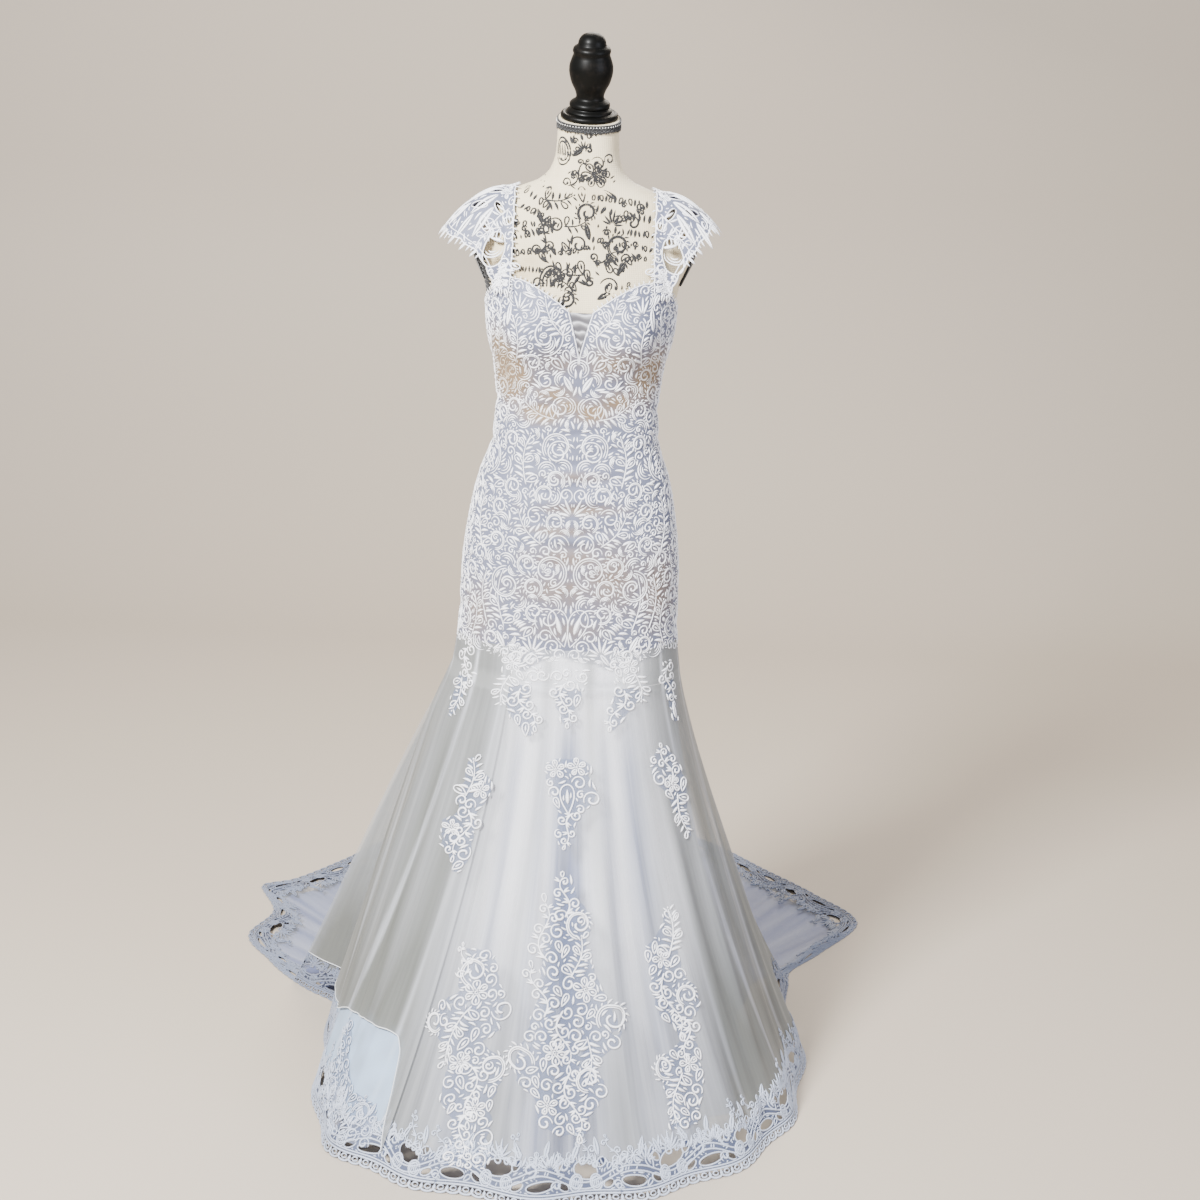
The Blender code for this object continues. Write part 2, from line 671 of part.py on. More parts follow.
def lining(angle, share):
    """The inner face of the lining."""
    angle = wrapped(angle)
    point, down, along = flare(angle, share, LINING_SHORT, 0.0)
    held = max(0.0, 1 - along / CLOTH_FLAT)
    depth = HIP_GAP + CLOTH + LINING_GAP * min(1.0, down / LINING_FREE)
    depth += LINING_WAVE * down**LINING_WAVE_GROWTH * (1 - crest(angle))
    return point - direction(angle) * depth * held


def layer(surface, angles, shares_of, thickness, lift=0.0):
    """Inner and outer points of a layer of the skirt, by columns."""
    inner, outer = [], []
    for angle in angles:
        low, high = [], []
        for share in shares_of(angle):
            upper = min(share, 1 - 1e-3)
            n = -normal_of(surface, angle, max(upper, 2e-3), 0.5, 1e-3)
            if share > 1 - 1e-6:
                n[2] = max(n[2], 0.0)  # the hem's wall stays above the floor
            elif share < 1e-6:
                n[2] = 0.0  # and the top's wall below the seam
            n /= np.linalg.norm(n)
            point = surface(angle, share)
            low.append(point + n * lift)
            high.append(point + n * (lift + thickness))
        inner.append(low)
        outer.append(high)
    return np.array(inner), np.array(outer)


def skirt_columns(start, end, step):
    """Angles of a skirt panel's columns, set in from its seams by half the seam gap at the hip."""
    inset = math.degrees(SEAM_GAP / 2 / SKIRT_SEAM_RADIUS)
    angles = [float(a) for a in np.arange(start, end + step / 2, step)]
    angles[0] += inset
    angles[-1] -= inset
    return angles


def add_skirt():
    """The nine gores of the outer tulle skirt, down to the lace border."""
    shares = np.linspace(0, BORDER_FROM, SKIRT_ROWS)
    for number, (start, end) in enumerate(zip(GORES, GORES[1:]), 1):
        angles = skirt_columns(start, end, SKIRT_STEP)
        inner, outer = layer(outer_skirt, angles, lambda _: shares, CLOTH)
        add_wall(f"tulle_gore_{number}", inner[:, ::-1], outer[:, ::-1], "tulle")


def add_lining():
    """The satin lining in its panels, with a row of points where it lands on the floor."""

    def shares_of(angle):
        *_, fall, lying = spans(wrapped(angle), LINING_SHORT)
        landing = min(LATEST_LANDING, fall / (fall + lying))
        return [landing * row for row in LINING_FALL_ROWS] + [
            landing + (1 - landing) * row for row in LINING_TRAIN_ROWS
        ]

    for number, (start, end) in enumerate(zip(LINING_PANELS, LINING_PANELS[1:]), 1):
        inner, outer = layer(lining, skirt_columns(start, end, SKIRT_STEP), shares_of, CLOTH)
        add_wall(f"lining_{number}", inner[:, ::-1], outer[:, ::-1], "satin")


def add_border():
    """The lace border of each gore, cut through where its pattern is open."""

    def shares_of(angle):
        *_, fall, lying = spans(wrapped(angle), 0.0)
        return np.linspace(BORDER_FROM + BORDER_SEAM / (fall + lying), 1, BORDER_ROWS + 1)

    for number, (start, end) in enumerate(zip(GORES, GORES[1:]), 1):
        angles = skirt_columns(start, end, SKIRT_STEP)
        inner, outer = layer(outer_skirt, angles, shares_of, CLOTH)
        kept = np.ones((len(angles) - 1, BORDER_ROWS), bool)
        for repeat in range(0, len(angles) - 1, BORDER_REPEAT):
            for column, row in (WIDE_WINDOW, SMALL_WINDOW):
                if repeat + column > 0:
                    kept[repeat + column, row] = False
        add_wall(f"lace_border_{number}", inner[:, ::-1], outer[:, ::-1], "lace", kept=kept[:, ::-1])


def add_fold():
    """The deep fold of tulle on the left, with its rows of points over those of the gores."""
    start, end = int(FOLD_EDGE[0][0]), int(FOLD_EDGE[-1][0])
    angles = [float(a) for a in range(start, end + 1, SKIRT_STEP)]
    step = BORDER_FROM / (SKIRT_ROWS - 1)
    upper = [FOLD_TOP] + [step * row for row in range(1, SKIRT_ROWS - 1)]
    inner, outer = layer(
        on_gore, angles, lambda a: upper + [smooth(FOLD_EDGE, 1, a)], CLOTH, CLOTH + FOLD_GAP
    )
    slack = (outer[:, 0] - inner[:, 0]) / CLOTH * (FOLD_GAP - SEAM_GAP)
    inner[:, 0] -= slack
    outer[:, 0] -= slack
    add_wall("tulle_fold_left", inner[:, ::-1], outer[:, ::-1], "tulle")


def add_sprays():
    """The thick lace sprays, each a leaf-shaped piece on the tulle, higher along its middle."""
    for name, middle, half, top, bottom in SPRAYS:
        angles = [float(a) for a in range(middle - half, middle + half + 1, SKIRT_STEP)]
        covered = FOLD_EDGE[0][0] < middle < FOLD_EDGE[-1][0]
        lift = CLOTH + SPRAY_GAP + (CLOTH + FOLD_GAP if covered else 0.0)

        def shares_of(angle):
            width = abs(angle - middle) / half
            reach = (bottom - top) / 2 * (1 - SPRAY_TAPER * width * width)
            return np.linspace((top + bottom) / 2 - reach, (top + bottom) / 2 + reach, SPRAY_ROWS)

        inner, outer = layer(on_gore, angles, shares_of, SPRAY_THICKNESS, lift)
        add_wall(name, inner[:, ::-1], outer[:, ::-1], "lace")


def main():
    """Builds every piece of the form and of the dress."""
    for obj in list(bpy.data.objects):
        bpy.data.objects.remove(obj, do_unlink=True)
    bpy.context.scene.collection.children.link(bpy.data.collections.new(COLLECTION))
    for name, (red, green, blue, alpha, roughness) in MATERIALS.items():
        material = bpy.data.materials.new(name)
        material.use_nodes = True
        shader = material.node_tree.nodes["Principled BSDF"]
        shader.inputs["Base Color"].default_value = (red, green, blue, 1.0)
        shader.inputs["Alpha"].default_value = alpha
        shader.inputs["Roughness"].default_value = roughness
    add_form()
    add_neck_trim()
    add_finial()
    add_stand()
    add_armhole_covers()
    add_cups()
    add_notch()
    add_bodice()
    add_hips()
    add_sleeves()
    add_skirt()
    add_lining()
    add_border()
    add_fold()
    add_sprays()


main()
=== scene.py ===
"""A mermaid wedding dress of corded lace, tulle and satin on a limbless dress form, finished for display.

Metres, +Z up. The origin is on the floor under the form's pole, and the dress faces -Y. Angles go round
the pole in degrees: 0 is centre front, 90 is +X, -90 is -X and 180 is centre back. A share runs down the
skirt, from 0 at the hip seam to 1 at the hem.
"""

import json
import logging
import math
import random
import sys
from dataclasses import dataclass, field
from enum import Enum
from typing import Callable, Iterable, Sequence

import bpy
import numpy as np
from mathutils import Euler, Matrix

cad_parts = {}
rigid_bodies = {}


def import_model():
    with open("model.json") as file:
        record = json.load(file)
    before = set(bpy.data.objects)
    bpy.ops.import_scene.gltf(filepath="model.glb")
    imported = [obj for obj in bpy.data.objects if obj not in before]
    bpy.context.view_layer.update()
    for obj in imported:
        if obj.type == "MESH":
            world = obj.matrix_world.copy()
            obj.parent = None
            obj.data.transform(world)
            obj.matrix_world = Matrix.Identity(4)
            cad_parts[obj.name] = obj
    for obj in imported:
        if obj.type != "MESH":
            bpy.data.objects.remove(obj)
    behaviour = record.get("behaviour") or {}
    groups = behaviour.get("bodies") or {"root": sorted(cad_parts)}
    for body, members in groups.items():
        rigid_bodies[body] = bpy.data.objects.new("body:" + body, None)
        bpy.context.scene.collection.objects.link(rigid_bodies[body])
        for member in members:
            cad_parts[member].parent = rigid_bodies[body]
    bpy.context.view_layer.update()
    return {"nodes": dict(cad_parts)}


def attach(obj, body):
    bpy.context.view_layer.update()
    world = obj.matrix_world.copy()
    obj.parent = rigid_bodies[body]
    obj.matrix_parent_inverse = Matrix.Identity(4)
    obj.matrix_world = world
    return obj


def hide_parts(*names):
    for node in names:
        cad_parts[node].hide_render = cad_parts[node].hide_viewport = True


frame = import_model()

log = logging.getLogger("wedding_dress")
Array = np.ndarray
Surface = Callable[[Array, Array], tuple[Array, Array]]  # two coordinates to points and unit normals
MM = 0.001


# ---- Sizes of the form and of the cut ---------------------------------------------------------
TORSO = (  # height, half width, front, back
    (0.7000, 0.1735, 0.118, 0.125), (0.7500, 0.1670, 0.117, 0.128), (0.8100, 0.1640, 0.115, 0.137),
    (0.8700, 0.1620, 0.112, 0.138), (0.9350, 0.1545, 0.106, 0.126), (1.0000, 0.1410, 0.096, 0.104),
    (1.0600, 0.1220, 0.086, 0.088), (1.1200, 0.1180, 0.082, 0.080), (1.1750, 0.1235, 0.086, 0.082),
    (1.2250, 0.1355, 0.095, 0.088), (1.2700, 0.1395, 0.097, 0.095), (1.3000, 0.1460, 0.093, 0.100),
    (1.3300, 0.1600, 0.087, 0.102), (1.3600, 0.1690, 0.079, 0.100), (1.3850, 0.1670, 0.071, 0.095),
    (1.4030, 0.1560, 0.064, 0.090), (1.4170, 0.1380, 0.058, 0.083), (1.4270, 0.1160, 0.054, 0.076),
    (1.4350, 0.0940, 0.051, 0.071), (1.4450, 0.0700, 0.049, 0.066), (1.4610, 0.0540, 0.047, 0.058),
    (1.4850, 0.0465, 0.044, 0.051), (1.5350, 0.0445, 0.042, 0.047),
)
BODICE_TOP = (  # angle, height
    (9.8, 1.2650), (20, 1.2790), (30, 1.2910), (42, 1.3030), (50, 1.3080), (60, 1.3030), (72, 1.2840),
    (84, 1.2650), (96, 1.2600), (110, 1.2640), (124, 1.2820), (136, 1.2900), (180, 1.2900),
)
SLEEVE_EDGE = (  # turn over the shoulder, outer edge on the left, on the right
    (-90, 0.126, 0.126), (-72, 0.134, 0.134), (-56, 0.144, 0.143), (-42, 0.158, 0.155),
    (-30, 0.178, 0.168), (-14, 0.201, 0.183), (4, 0.206, 0.186), (24, 0.192, 0.178),
    (44, 0.168, 0.162), (64, 0.146, 0.144), (90, 0.126, 0.126),
)
HEM = (  # angle, x, y
    (-180, 0.000, 1.110), (-171, -0.160, 1.090), (-162, -0.310, 1.000), (-152, -0.445, 0.810),
    (-146, -0.530, 0.705), (-141, -0.585, 0.668), (-136, -0.545, 0.555), (-130, -0.575, 0.452),
    (-122, -0.520, 0.345), (-113, -0.440, 0.240), (-105, -0.372, 0.170), (-95, -0.370, 0.045),
    (-80, -0.368, -0.075), (-60, -0.345, -0.245), (-30, -0.212, -0.368), (0, 0.000, -0.415),
    (30, 0.205, -0.352), (60, 0.355, -0.205), (85, 0.410, -0.020), (100, 0.420, 0.120),
    (112, 0.408, 0.260), (120, 0.424, 0.362), (128, 0.505, 0.475), (134, 0.590, 0.615),
    (142, 0.520, 0.740), (150, 0.430, 0.855), (160, 0.310, 1.000), (170, 0.165, 1.090),
    (180, 0.000, 1.110),
)
FLARE_POWER = (  # angle, how steeply the skirt swings out
    (-180, 1.35), (-135, 0.88), (-95, 0.86), (-60, 1.15), (-20, 1.35), (40, 1.30), (90, 1.10),
    (140, 1.12), (180, 1.35),
)
FOLD_EDGE = (  # angle, share
    (-115, 0.885), (-105, 0.880), (-95, 0.865), (-87, 0.836), (-78, 0.786), (-69, 0.748), (-60, 0.725),
    (-50, 0.716), (-45, 0.722), (-42, 0.745), (-40.7, 0.820), (-39.6, 0.900), (-37.5, 0.958),
)
GORES = (-180, -140, -100, -60, -20, 20, 60, 100, 140, 180)
LINING_PANELS = (-180, -135, -90, -30, 30, 90, 135, 180)

CLOTH = 1.5 * MM
SEAM_GAP = 0.3 * MM
SKIN_GAP = 3.0 * MM
FLARE_TOP, WAIST_SEAM, CUP_SEAM = 0.700, 1.095, 1.165
NOTCH_POINT, NOTCH_TOP, NOTCH_ANGLE = 1.2016, 1.2650, 9.8
BORDER_FROM = 0.900  # the share where the hem border and its tulle begin
SATIN_SPAN = (2e-3, 1 - 1.1e-3)  # shares between which slopes can be taken on both sides
FRONT_HALF = 0.13  # how far across from the centre front the front's lace goes
BEHIND_SIDE = 0.21  # across from the centre front, past the side seams


# ---- Shapes ----------------------------------------------------------------------------------
class SmoothCurve:
    """One column of a table as a smooth curve through its values, which never overshoots."""

    def __init__(self, rows: Sequence[Sequence[float]], column: int) -> None:
        """Sets the curve's slopes.

        Args:
            rows: the table, sorted by its first column.
            column: which column the curve gives.
        """
        self.keys = np.array([row[0] for row in rows], float)
        self.values = np.array([row[column] for row in rows], float)
        slopes = np.diff(self.values) / np.diff(self.keys)
        self.tangents = np.zeros(len(self.keys))
        self.tangents[0], self.tangents[-1] = slopes[0], slopes[-1]
        before, after = slopes[:-1], slopes[1:]
        same_way = before * after > 0
        total = np.where(same_way, before + after, 1.0)
        self.tangents[1:-1] = np.where(same_way, 2 * before * after / total, 0.0)

    def __call__(self, at: Array) -> Array:
        """The curve's value at each value of the first column."""
        at = np.clip(np.asarray(at, float), self.keys[0], self.keys[-1])
        i = np.clip(np.searchsorted(self.keys, at, side="right") - 1, 0, len(self.keys) - 2)
        step = self.keys[i + 1] - self.keys[i]
        s = (at - self.keys[i]) / step
        return (
            self.values[i] * (1 + 2 * s) * (1 - s) ** 2
            + self.tangents[i] * step * s * (1 - s) ** 2
            + self.values[i + 1] * s * s * (3 - 2 * s)
            + self.tangents[i + 1] * step * s * s * (s - 1)
        )


def wrapped(angle: Array) -> Array:
    """Angles brought between -180 and 180 degrees."""
    return (np.asarray(angle, float) + 180.0) % 360.0 - 180.0


def direction(angle: Array) -> Array:
    """Level unit vectors at angles round the pole."""
    a = np.radians(angle)
    return np.stack([np.sin(a), -np.cos(a), np.zeros_like(a)], -1)


def unit(vectors: Array) -> Array:
    """Vectors brought to a length of 1."""
    return vectors / np.maximum(np.linalg.norm(vectors, axis=-1, keepdims=True), 1e-12)


def eased(at: Array, start: float, end: float) -> Array:
    """0 before start, 1 past end, and a soft step between them."""
    t = np.clip((np.asarray(at, float) - start) / (end - start), 0.0, 1.0)
    return t * t * (3 - 2 * t)


def with_normals(point: Callable[[Array, Array], Array], du: float, dv: float, flip: float = 1.0) -> Surface:
    """Adds normals to a surface of points.

    Args:
        point: gives points by two coordinates.
        du: step of the first coordinate for the slopes.
        dv: step of the second.
        flip: -1 turns the normals over.

    Returns:
        A function that gives points and unit normals.
    """

    def surface(u: Array, v: Array) -> tuple[Array, Array]:
        """Points and unit normals at two coordinates."""
        u, v = np.broadcast_arrays(np.asarray(u, float), np.asarray(v, float))
        along_u = point(u + du, v) - point(u - du, v)
        along_v = point(u, v + dv) - point(u, v - dv)
        return point(u, v), flip * unit(np.cross(along_u, along_v))

    return surface


@dataclass(frozen=True)
class Crease:
    """A soft ridge or trough of cloth, given one by one.

    On the body across is an angle, down a height and its sizes degrees and metres. On the skirt it runs
    down from a share, and leans by its drift in degrees on the way.
    """

    across: float
    down: float
    half_across: float
    half_down: float
    rise: float
    drift: float = 0.0


class BodyShape:
    """The dress form's surface, and the cloth that lies on it with its wrinkles."""

    power = 2.3
    bust_angle, bust_spread = 37.0, 19.0
    bust_height, bust_reach, bust_rise = 1.232, 0.047, 0.029
    slant_from, neck_top, neck_slant = 1.462, 1.535, math.radians(13)

    wrinkles = (  # pulled across the tummy and hips, slack under the bust and at the back of the waist
        Crease(0, 1.082, 30, 0.0050, -0.0016, 0.006), Crease(-24, 1.064, 22, 0.0045, -0.0018, -0.010),
        Crease(26, 1.056, 24, 0.0050, -0.0017, 0.012), Crease(-6, 1.036, 30, 0.0050, -0.0019, 0.004),
        Crease(16, 1.012, 28, 0.0055, -0.0021, 0.010), Crease(-20, 0.996, 26, 0.0050, -0.0018, -0.008),
        Crease(4, 0.972, 30, 0.0055, -0.0022, 0.004), Crease(-22, 0.953, 22, 0.0050, -0.0016, -0.006),
        Crease(20, 0.940, 26, 0.0060, -0.0019, 0.008), Crease(0, 0.915, 32, 0.0060, -0.0018, -0.004),
        Crease(-16, 0.888, 24, 0.0060, -0.0014, 0.006), Crease(18, 0.868, 24, 0.0060, -0.0014, -0.006),
        Crease(0, 1.022, 34, 0.0070, 0.0018), Crease(2, 0.984, 34, 0.0070, 0.0018, 0.006),
        Crease(0, 0.928, 34, 0.0070, 0.0016), Crease(-44, 1.146, 16, 0.0060, -0.0020, 0.020),
        Crease(46, 1.150, 16, 0.0060, -0.0020, -0.020), Crease(-30, 1.122, 22, 0.0055, -0.0020, 0.016),
        Crease(30, 1.124, 22, 0.0055, -0.0020, -0.014), Crease(0, 1.130, 20, 0.0060, 0.0014),
        Crease(-88, 1.120, 26, 0.0070, -0.0019, 0.006), Crease(92, 1.110, 26, 0.0070, -0.0019, -0.006),
        Crease(-96, 1.060, 28, 0.0080, -0.0018, -0.008), Crease(86, 1.066, 28, 0.0080, -0.0017, 0.008),
        Crease(-150, 1.090, 26, 0.0070, -0.0020, 0.010), Crease(148, 1.074, 26, 0.0070, -0.0020, -0.010),
        Crease(-158, 1.040, 24, 0.0080, -0.0018, -0.006), Crease(160, 1.020, 24, 0.0080, -0.0017, 0.006),
        Crease(-80, 0.800, 22, 0.0100, -0.0014, 0.010), Crease(78, 0.780, 22, 0.0100, -0.0014, -0.010),
        Crease(-140, 0.760, 24, 0.0100, -0.0014), Crease(150, 0.770, 24, 0.0100, -0.0014),
    )

    def __init__(self) -> None:
        """Takes the sections' curves from their table."""
        self.half_width, self.front, self.back = (SmoothCurve(TORSO, column) for column in (1, 2, 3))
        self.bodice_top = SmoothCurve(BODICE_TOP, 1)
        self.form = with_normals(self.point, 0.5, 2 * MM)

    def radius(self, angle: Array, height: Array) -> Array:
        """How far the form's surface is from the pole's line."""
        a = np.radians(wrapped(angle))
        depth = np.where(np.cos(a) > 0, self.front(height), self.back(height))
        across = np.abs(np.sin(a) / self.half_width(height)) ** self.power
        along = np.abs(np.cos(a) / depth) ** self.power
        rise = np.exp(-(((np.abs(wrapped(angle)) - self.bust_angle) / self.bust_spread) ** 2))
        rise = rise * np.exp(-(((np.asarray(height) - self.bust_height) / self.bust_reach) ** 2))
        return (across + along) ** (-1 / self.power) + self.bust_rise * rise

    def point(self, angle: Array, height: Array) -> Array:
        """Points of the form. Near the top of the neck the sections slant down to the front."""
        angle, height = np.broadcast_arrays(np.asarray(angle, float), np.asarray(height, float))
        points = direction(angle) * self.radius(angle, height)[..., None]
        slant = np.maximum(0.0, (height - self.slant_from) / (self.neck_top - self.slant_from))
        points[..., 2] = height + points[..., 1] * math.tan(self.neck_slant) * slant
        return points

    def wrinkle(self, angle: Array, height: Array) -> Array:
        """How far the cloth on the body stands out or in at its wrinkles."""
        out = np.zeros(np.broadcast(angle, height).shape)
        for crease in self.wrinkles:
            along = wrapped(angle - crease.across) / crease.half_across
            line = crease.down + crease.drift * along
            across = (height - line) / crease.half_down
            out = out + crease.rise * np.exp(-along * along * 1.6 - across * across)
        quilt = np.sin(wrapped(angle) * 0.42 + 9 * np.sin(height * 31)) * np.sin(height * 240 + 2)
        held = eased(height, FLARE_TOP + 4 * MM, FLARE_TOP + 35 * MM)
        return held * np.clip(1.8 * out + 0.00025 * quilt, -0.0025, 0.0042)

    def cloth(self, lift: float) -> Surface:
        """The cloth's surface on the body.

        Args:
            lift: how far over the form it is, before its wrinkles.

        Returns:
            A function of angle and height that gives points and the form's normals.
        """

        def surface(angle: Array, height: Array) -> tuple[Array, Array]:
            """Points and unit normals at angles and heights."""
            points, normals = self.form(angle, height)
            out = lift + self.wrinkle(angle, height)
            return points + normals * out[..., None], normals

        return surface


class BodyChart:
    """Distances across the cloth on the body, from the centre front, turned to angles round the pole."""

    height_step, across_step = 0.005, 0.002

    def __init__(self, shape: BodyShape, low: float, high: float) -> None:
        """Measures the cloth at each height.

        Args:
            shape: the body.
            low: the lowest height that is asked for.
            high: the highest.
        """
        self.low = low
        heights = np.arange(low, high + self.height_step, self.height_step)
        angles = np.linspace(0, 180, 361)
        points, normals = shape.form(angles[None, :], heights[:, None])
        points = points + normals * (SKIN_GAP + CLOTH)
        steps = np.linalg.norm(np.diff(points, axis=1), axis=-1)
        arcs = np.concatenate([np.zeros((len(heights), 1)), np.cumsum(steps, axis=1)], axis=1)
        self.reach = arcs[:, -1]
        across = np.arange(0, arcs.max() + self.across_step, self.across_step)
        self.table = np.stack([np.interp(across, arc, angles) for arc in arcs])

    def reach_at(self, height: Array) -> Array:
        """The distance across from the centre front to the centre back at a height."""
        return np.interp(height, self.low + self.height_step * np.arange(len(self.reach)), self.reach)

    def angle(self, across: Array, height: Array) -> Array:
        """The angle round the pole at a distance across from the centre front, at a height."""
        rows, columns = self.table.shape
        r = np.clip((np.asarray(height) - self.low) / self.height_step, 0, rows - 1.001)
        c = np.clip(np.abs(across) / self.across_step, 0, columns - 1.001)
        i, j = r.astype(int), c.astype(int)
        a, b = r - i, c - j
        low = self.table[i, j] * (1 - b) + self.table[i, j + 1] * b
        high = self.table[i + 1, j] * (1 - b) + self.table[i + 1, j + 1] * b
        return np.where(np.asarray(across) < 0, -1, 1) * (low * (1 - a) + high * a)


class SkirtShape:
    """The surfaces of the skirt: the outer tulle and the lining inside it."""

    landing = 0.530
    waves, first_wave = 15, -3.0
    hem_rise = 3.0 * MM
    lining_short = 0.068

    folds = (  # long soft folds of the tulle, uneven round the skirt
        Crease(-172, 0.10, 4.0, 0.4, 0.0055, 6), Crease(-158, 0.22, 3.0, 0.4, 0.0050, -4),
        Crease(-149, 0.05, 2.6, 0.4, 0.0040, 3), Crease(-133, 0.18, 3.4, 0.4, 0.0055, -5),
        Crease(-121, 0.08, 2.4, 0.4, 0.0042, 2), Crease(-108, 0.15, 2.8, 0.4, 0.0052, 4),
        Crease(-98, 0.04, 1.8, 0.4, 0.0036, -3), Crease(-90, 0.20, 2.6, 0.4, 0.0050, 3),
        Crease(-79, 0.08, 1.6, 0.4, 0.0034, 2), Crease(-71, 0.12, 2.6, 0.4, 0.0052, 5),
        Crease(-61, 0.30, 1.5, 0.4, 0.0036, -2), Crease(-53, 0.05, 2.2, 0.4, 0.0046, 3),
        Crease(-43, 0.18, 1.7, 0.4, 0.0040, 2), Crease(-33, 0.06, 2.4, 0.4, 0.0050, 4),
        Crease(-24, 0.28, 1.4, 0.4, 0.0034, -1), Crease(-14, 0.04, 1.8, 0.4, 0.0042, -2),
        Crease(-8, 0.40, 1.3, 0.4, 0.0030, 2), Crease(1, 0.10, 1.8, 0.4, 0.0036, 1),
        Crease(10, 0.30, 1.5, 0.4, 0.0034, -2), Crease(18, 0.06, 2.4, 0.4, 0.0050, 2),
        Crease(27, 0.22, 1.5, 0.4, 0.0038, 3), Crease(36, 0.08, 2.0, 0.4, 0.0042, -2),
        Crease(45, 0.34, 1.6, 0.4, 0.0038, 2), Crease(53, 0.04, 2.4, 0.4, 0.0050, 4),
        Crease(66, 0.20, 2.0, 0.4, 0.0044, -3), Crease(76, 0.06, 2.4, 0.4, 0.0052, 4),
        Crease(87, 0.30, 1.6, 0.4, 0.0038, 2), Crease(97, 0.10, 2.8, 0.4, 0.0055, -3),
        Crease(110, 0.05, 2.0, 0.4, 0.0045, 4), Crease(122, 0.24, 3.2, 0.4, 0.0055, 2),
        Crease(136, 0.08, 2.4, 0.4, 0.0045, -4), Crease(149, 0.16, 3.6, 0.4, 0.0055, 5),
        Crease(163, 0.05, 2.8, 0.4, 0.0045, -3), Crease(176, 0.20, 3.4, 0.4, 0.0050, 2),
    )
    lining_folds = (
        Crease(-165, 0.1, 7, 0.4, -0.007, 4), Crease(-128, 0.1, 6, 0.4, -0.006, -4),
        Crease(-100, 0.1, 5, 0.4, -0.006, 3), Crease(-74, 0.1, 4, 0.4, -0.006, 2),
        Crease(-50, 0.2, 3.5, 0.4, -0.006, -2), Crease(-30, 0.1, 3.5, 0.4, -0.007, 2),
        Crease(-16, 0.2, 3, 0.4, -0.005, 0), Crease(5, 0.1, 4, 0.4, -0.008, 1),
        Crease(30, 0.2, 3.5, 0.4, -0.006, 2), Crease(48, 0.1, 4, 0.4, -0.007, -2),
        Crease(72, 0.2, 4.5, 0.4, -0.006, 2), Crease(96, 0.1, 5, 0.4, -0.007, 3),
        Crease(124, 0.2, 6, 0.4, -0.006, -3), Crease(158, 0.1, 7, 0.4, -0.007, 4),
    )

    def __init__(self, body: BodyShape) -> None:
        """Takes the hem and the swing from their tables.

        Args:
            body: the body that the skirt hangs from.
        """
        self.body = body
        self.hem_x, self.hem_y = SmoothCurve(HEM, 1), SmoothCurve(HEM, 2)
        self.swing = SmoothCurve(FLARE_POWER, 1)
        self.tulle = with_normals(self.outer, 0.5, 1e-3, -1.0)
        self.satin = with_normals(self.lining, 0.5, 1e-3, -1.0)

    def crest(self, angle: Array) -> Array:
        """1 on the crest of a wave of the skirt and 0 in the valley between two."""
        return (1 + np.cos(np.radians(self.waves * (angle - self.first_wave)))) / 2

    def spans(self, angle: Array, short: float) -> tuple[Array, Array, Array, Array, Array, Array]:
        """Where a layer runs at each angle.

        Args:
            angle: angles round the pole.
            short: how far its hem stays inside the outer hem.

        Returns:
            The top points, the hem points, the level run, the part of it that falls, and the lengths of
            cloth that fall and that lie.
        """
        top = direction(angle) * (self.body.radius(angle, FLARE_TOP) + SKIN_GAP)[..., None]
        hem = np.stack([self.hem_x(angle), self.hem_y(angle), np.zeros_like(angle)], -1)
        hem = hem * (1 - short / np.linalg.norm(hem, axis=-1))[..., None]
        near = np.linalg.norm(top, axis=-1)
        run = np.linalg.norm(hem, axis=-1) - near
        to_landing = np.minimum(run, self.landing - short / 2 - near)
        return top, hem, run, to_landing, np.hypot(FLARE_TOP, to_landing), run - to_landing

    def length(self, angle: Array) -> Array:
        """The outer skirt's length of cloth at each angle."""
        *_, fall, lying = self.spans(wrapped(angle), 0.0)
        return fall + lying

    def flare(self, angle: Array, share: Array, short: float, rise: Array) -> tuple[Array, Array, Array]:
        """Points of a layer.

        Args:
            angle: angles round the pole.
            share: shares of the way from the hip seam to the hem.
            short: how far its hem stays inside the outer hem.
            rise: how high the layer lies on the floor.

        Returns:
            The points, how much of the fall is behind each, and how far along the floor it lies.
        """
        top, hem, run, to_landing, fall, lying = self.spans(angle, short)
        down = np.minimum(1.0, share * (fall + lying) / fall)
        along = np.maximum(0.0, share * (fall + lying) - fall)
        reach = (to_landing * np.maximum(down, 0) ** self.swing(angle) + along) / run
        softness = 1.08 + 0.32 * np.minimum(1.0, lying / 0.12)
        points = top + (hem - top) * reach[..., None]
        points[..., 2] = rise + (FLARE_TOP - rise) * (1 - down) ** softness
        return points, down, along

    def creased(self, creases: Iterable[Crease], angle: Array, share: Array) -> Array:
        """How far cloth stands out at listed folds that grow on their way down."""
        out = np.zeros(np.broadcast(angle, share).shape)
        for crease in creases:
            off = wrapped(angle - crease.across - crease.drift * share) / crease.half_across
            out = out + crease.rise * np.exp(-off * off) * eased(share, crease.down, crease.down + 0.4)
        return out

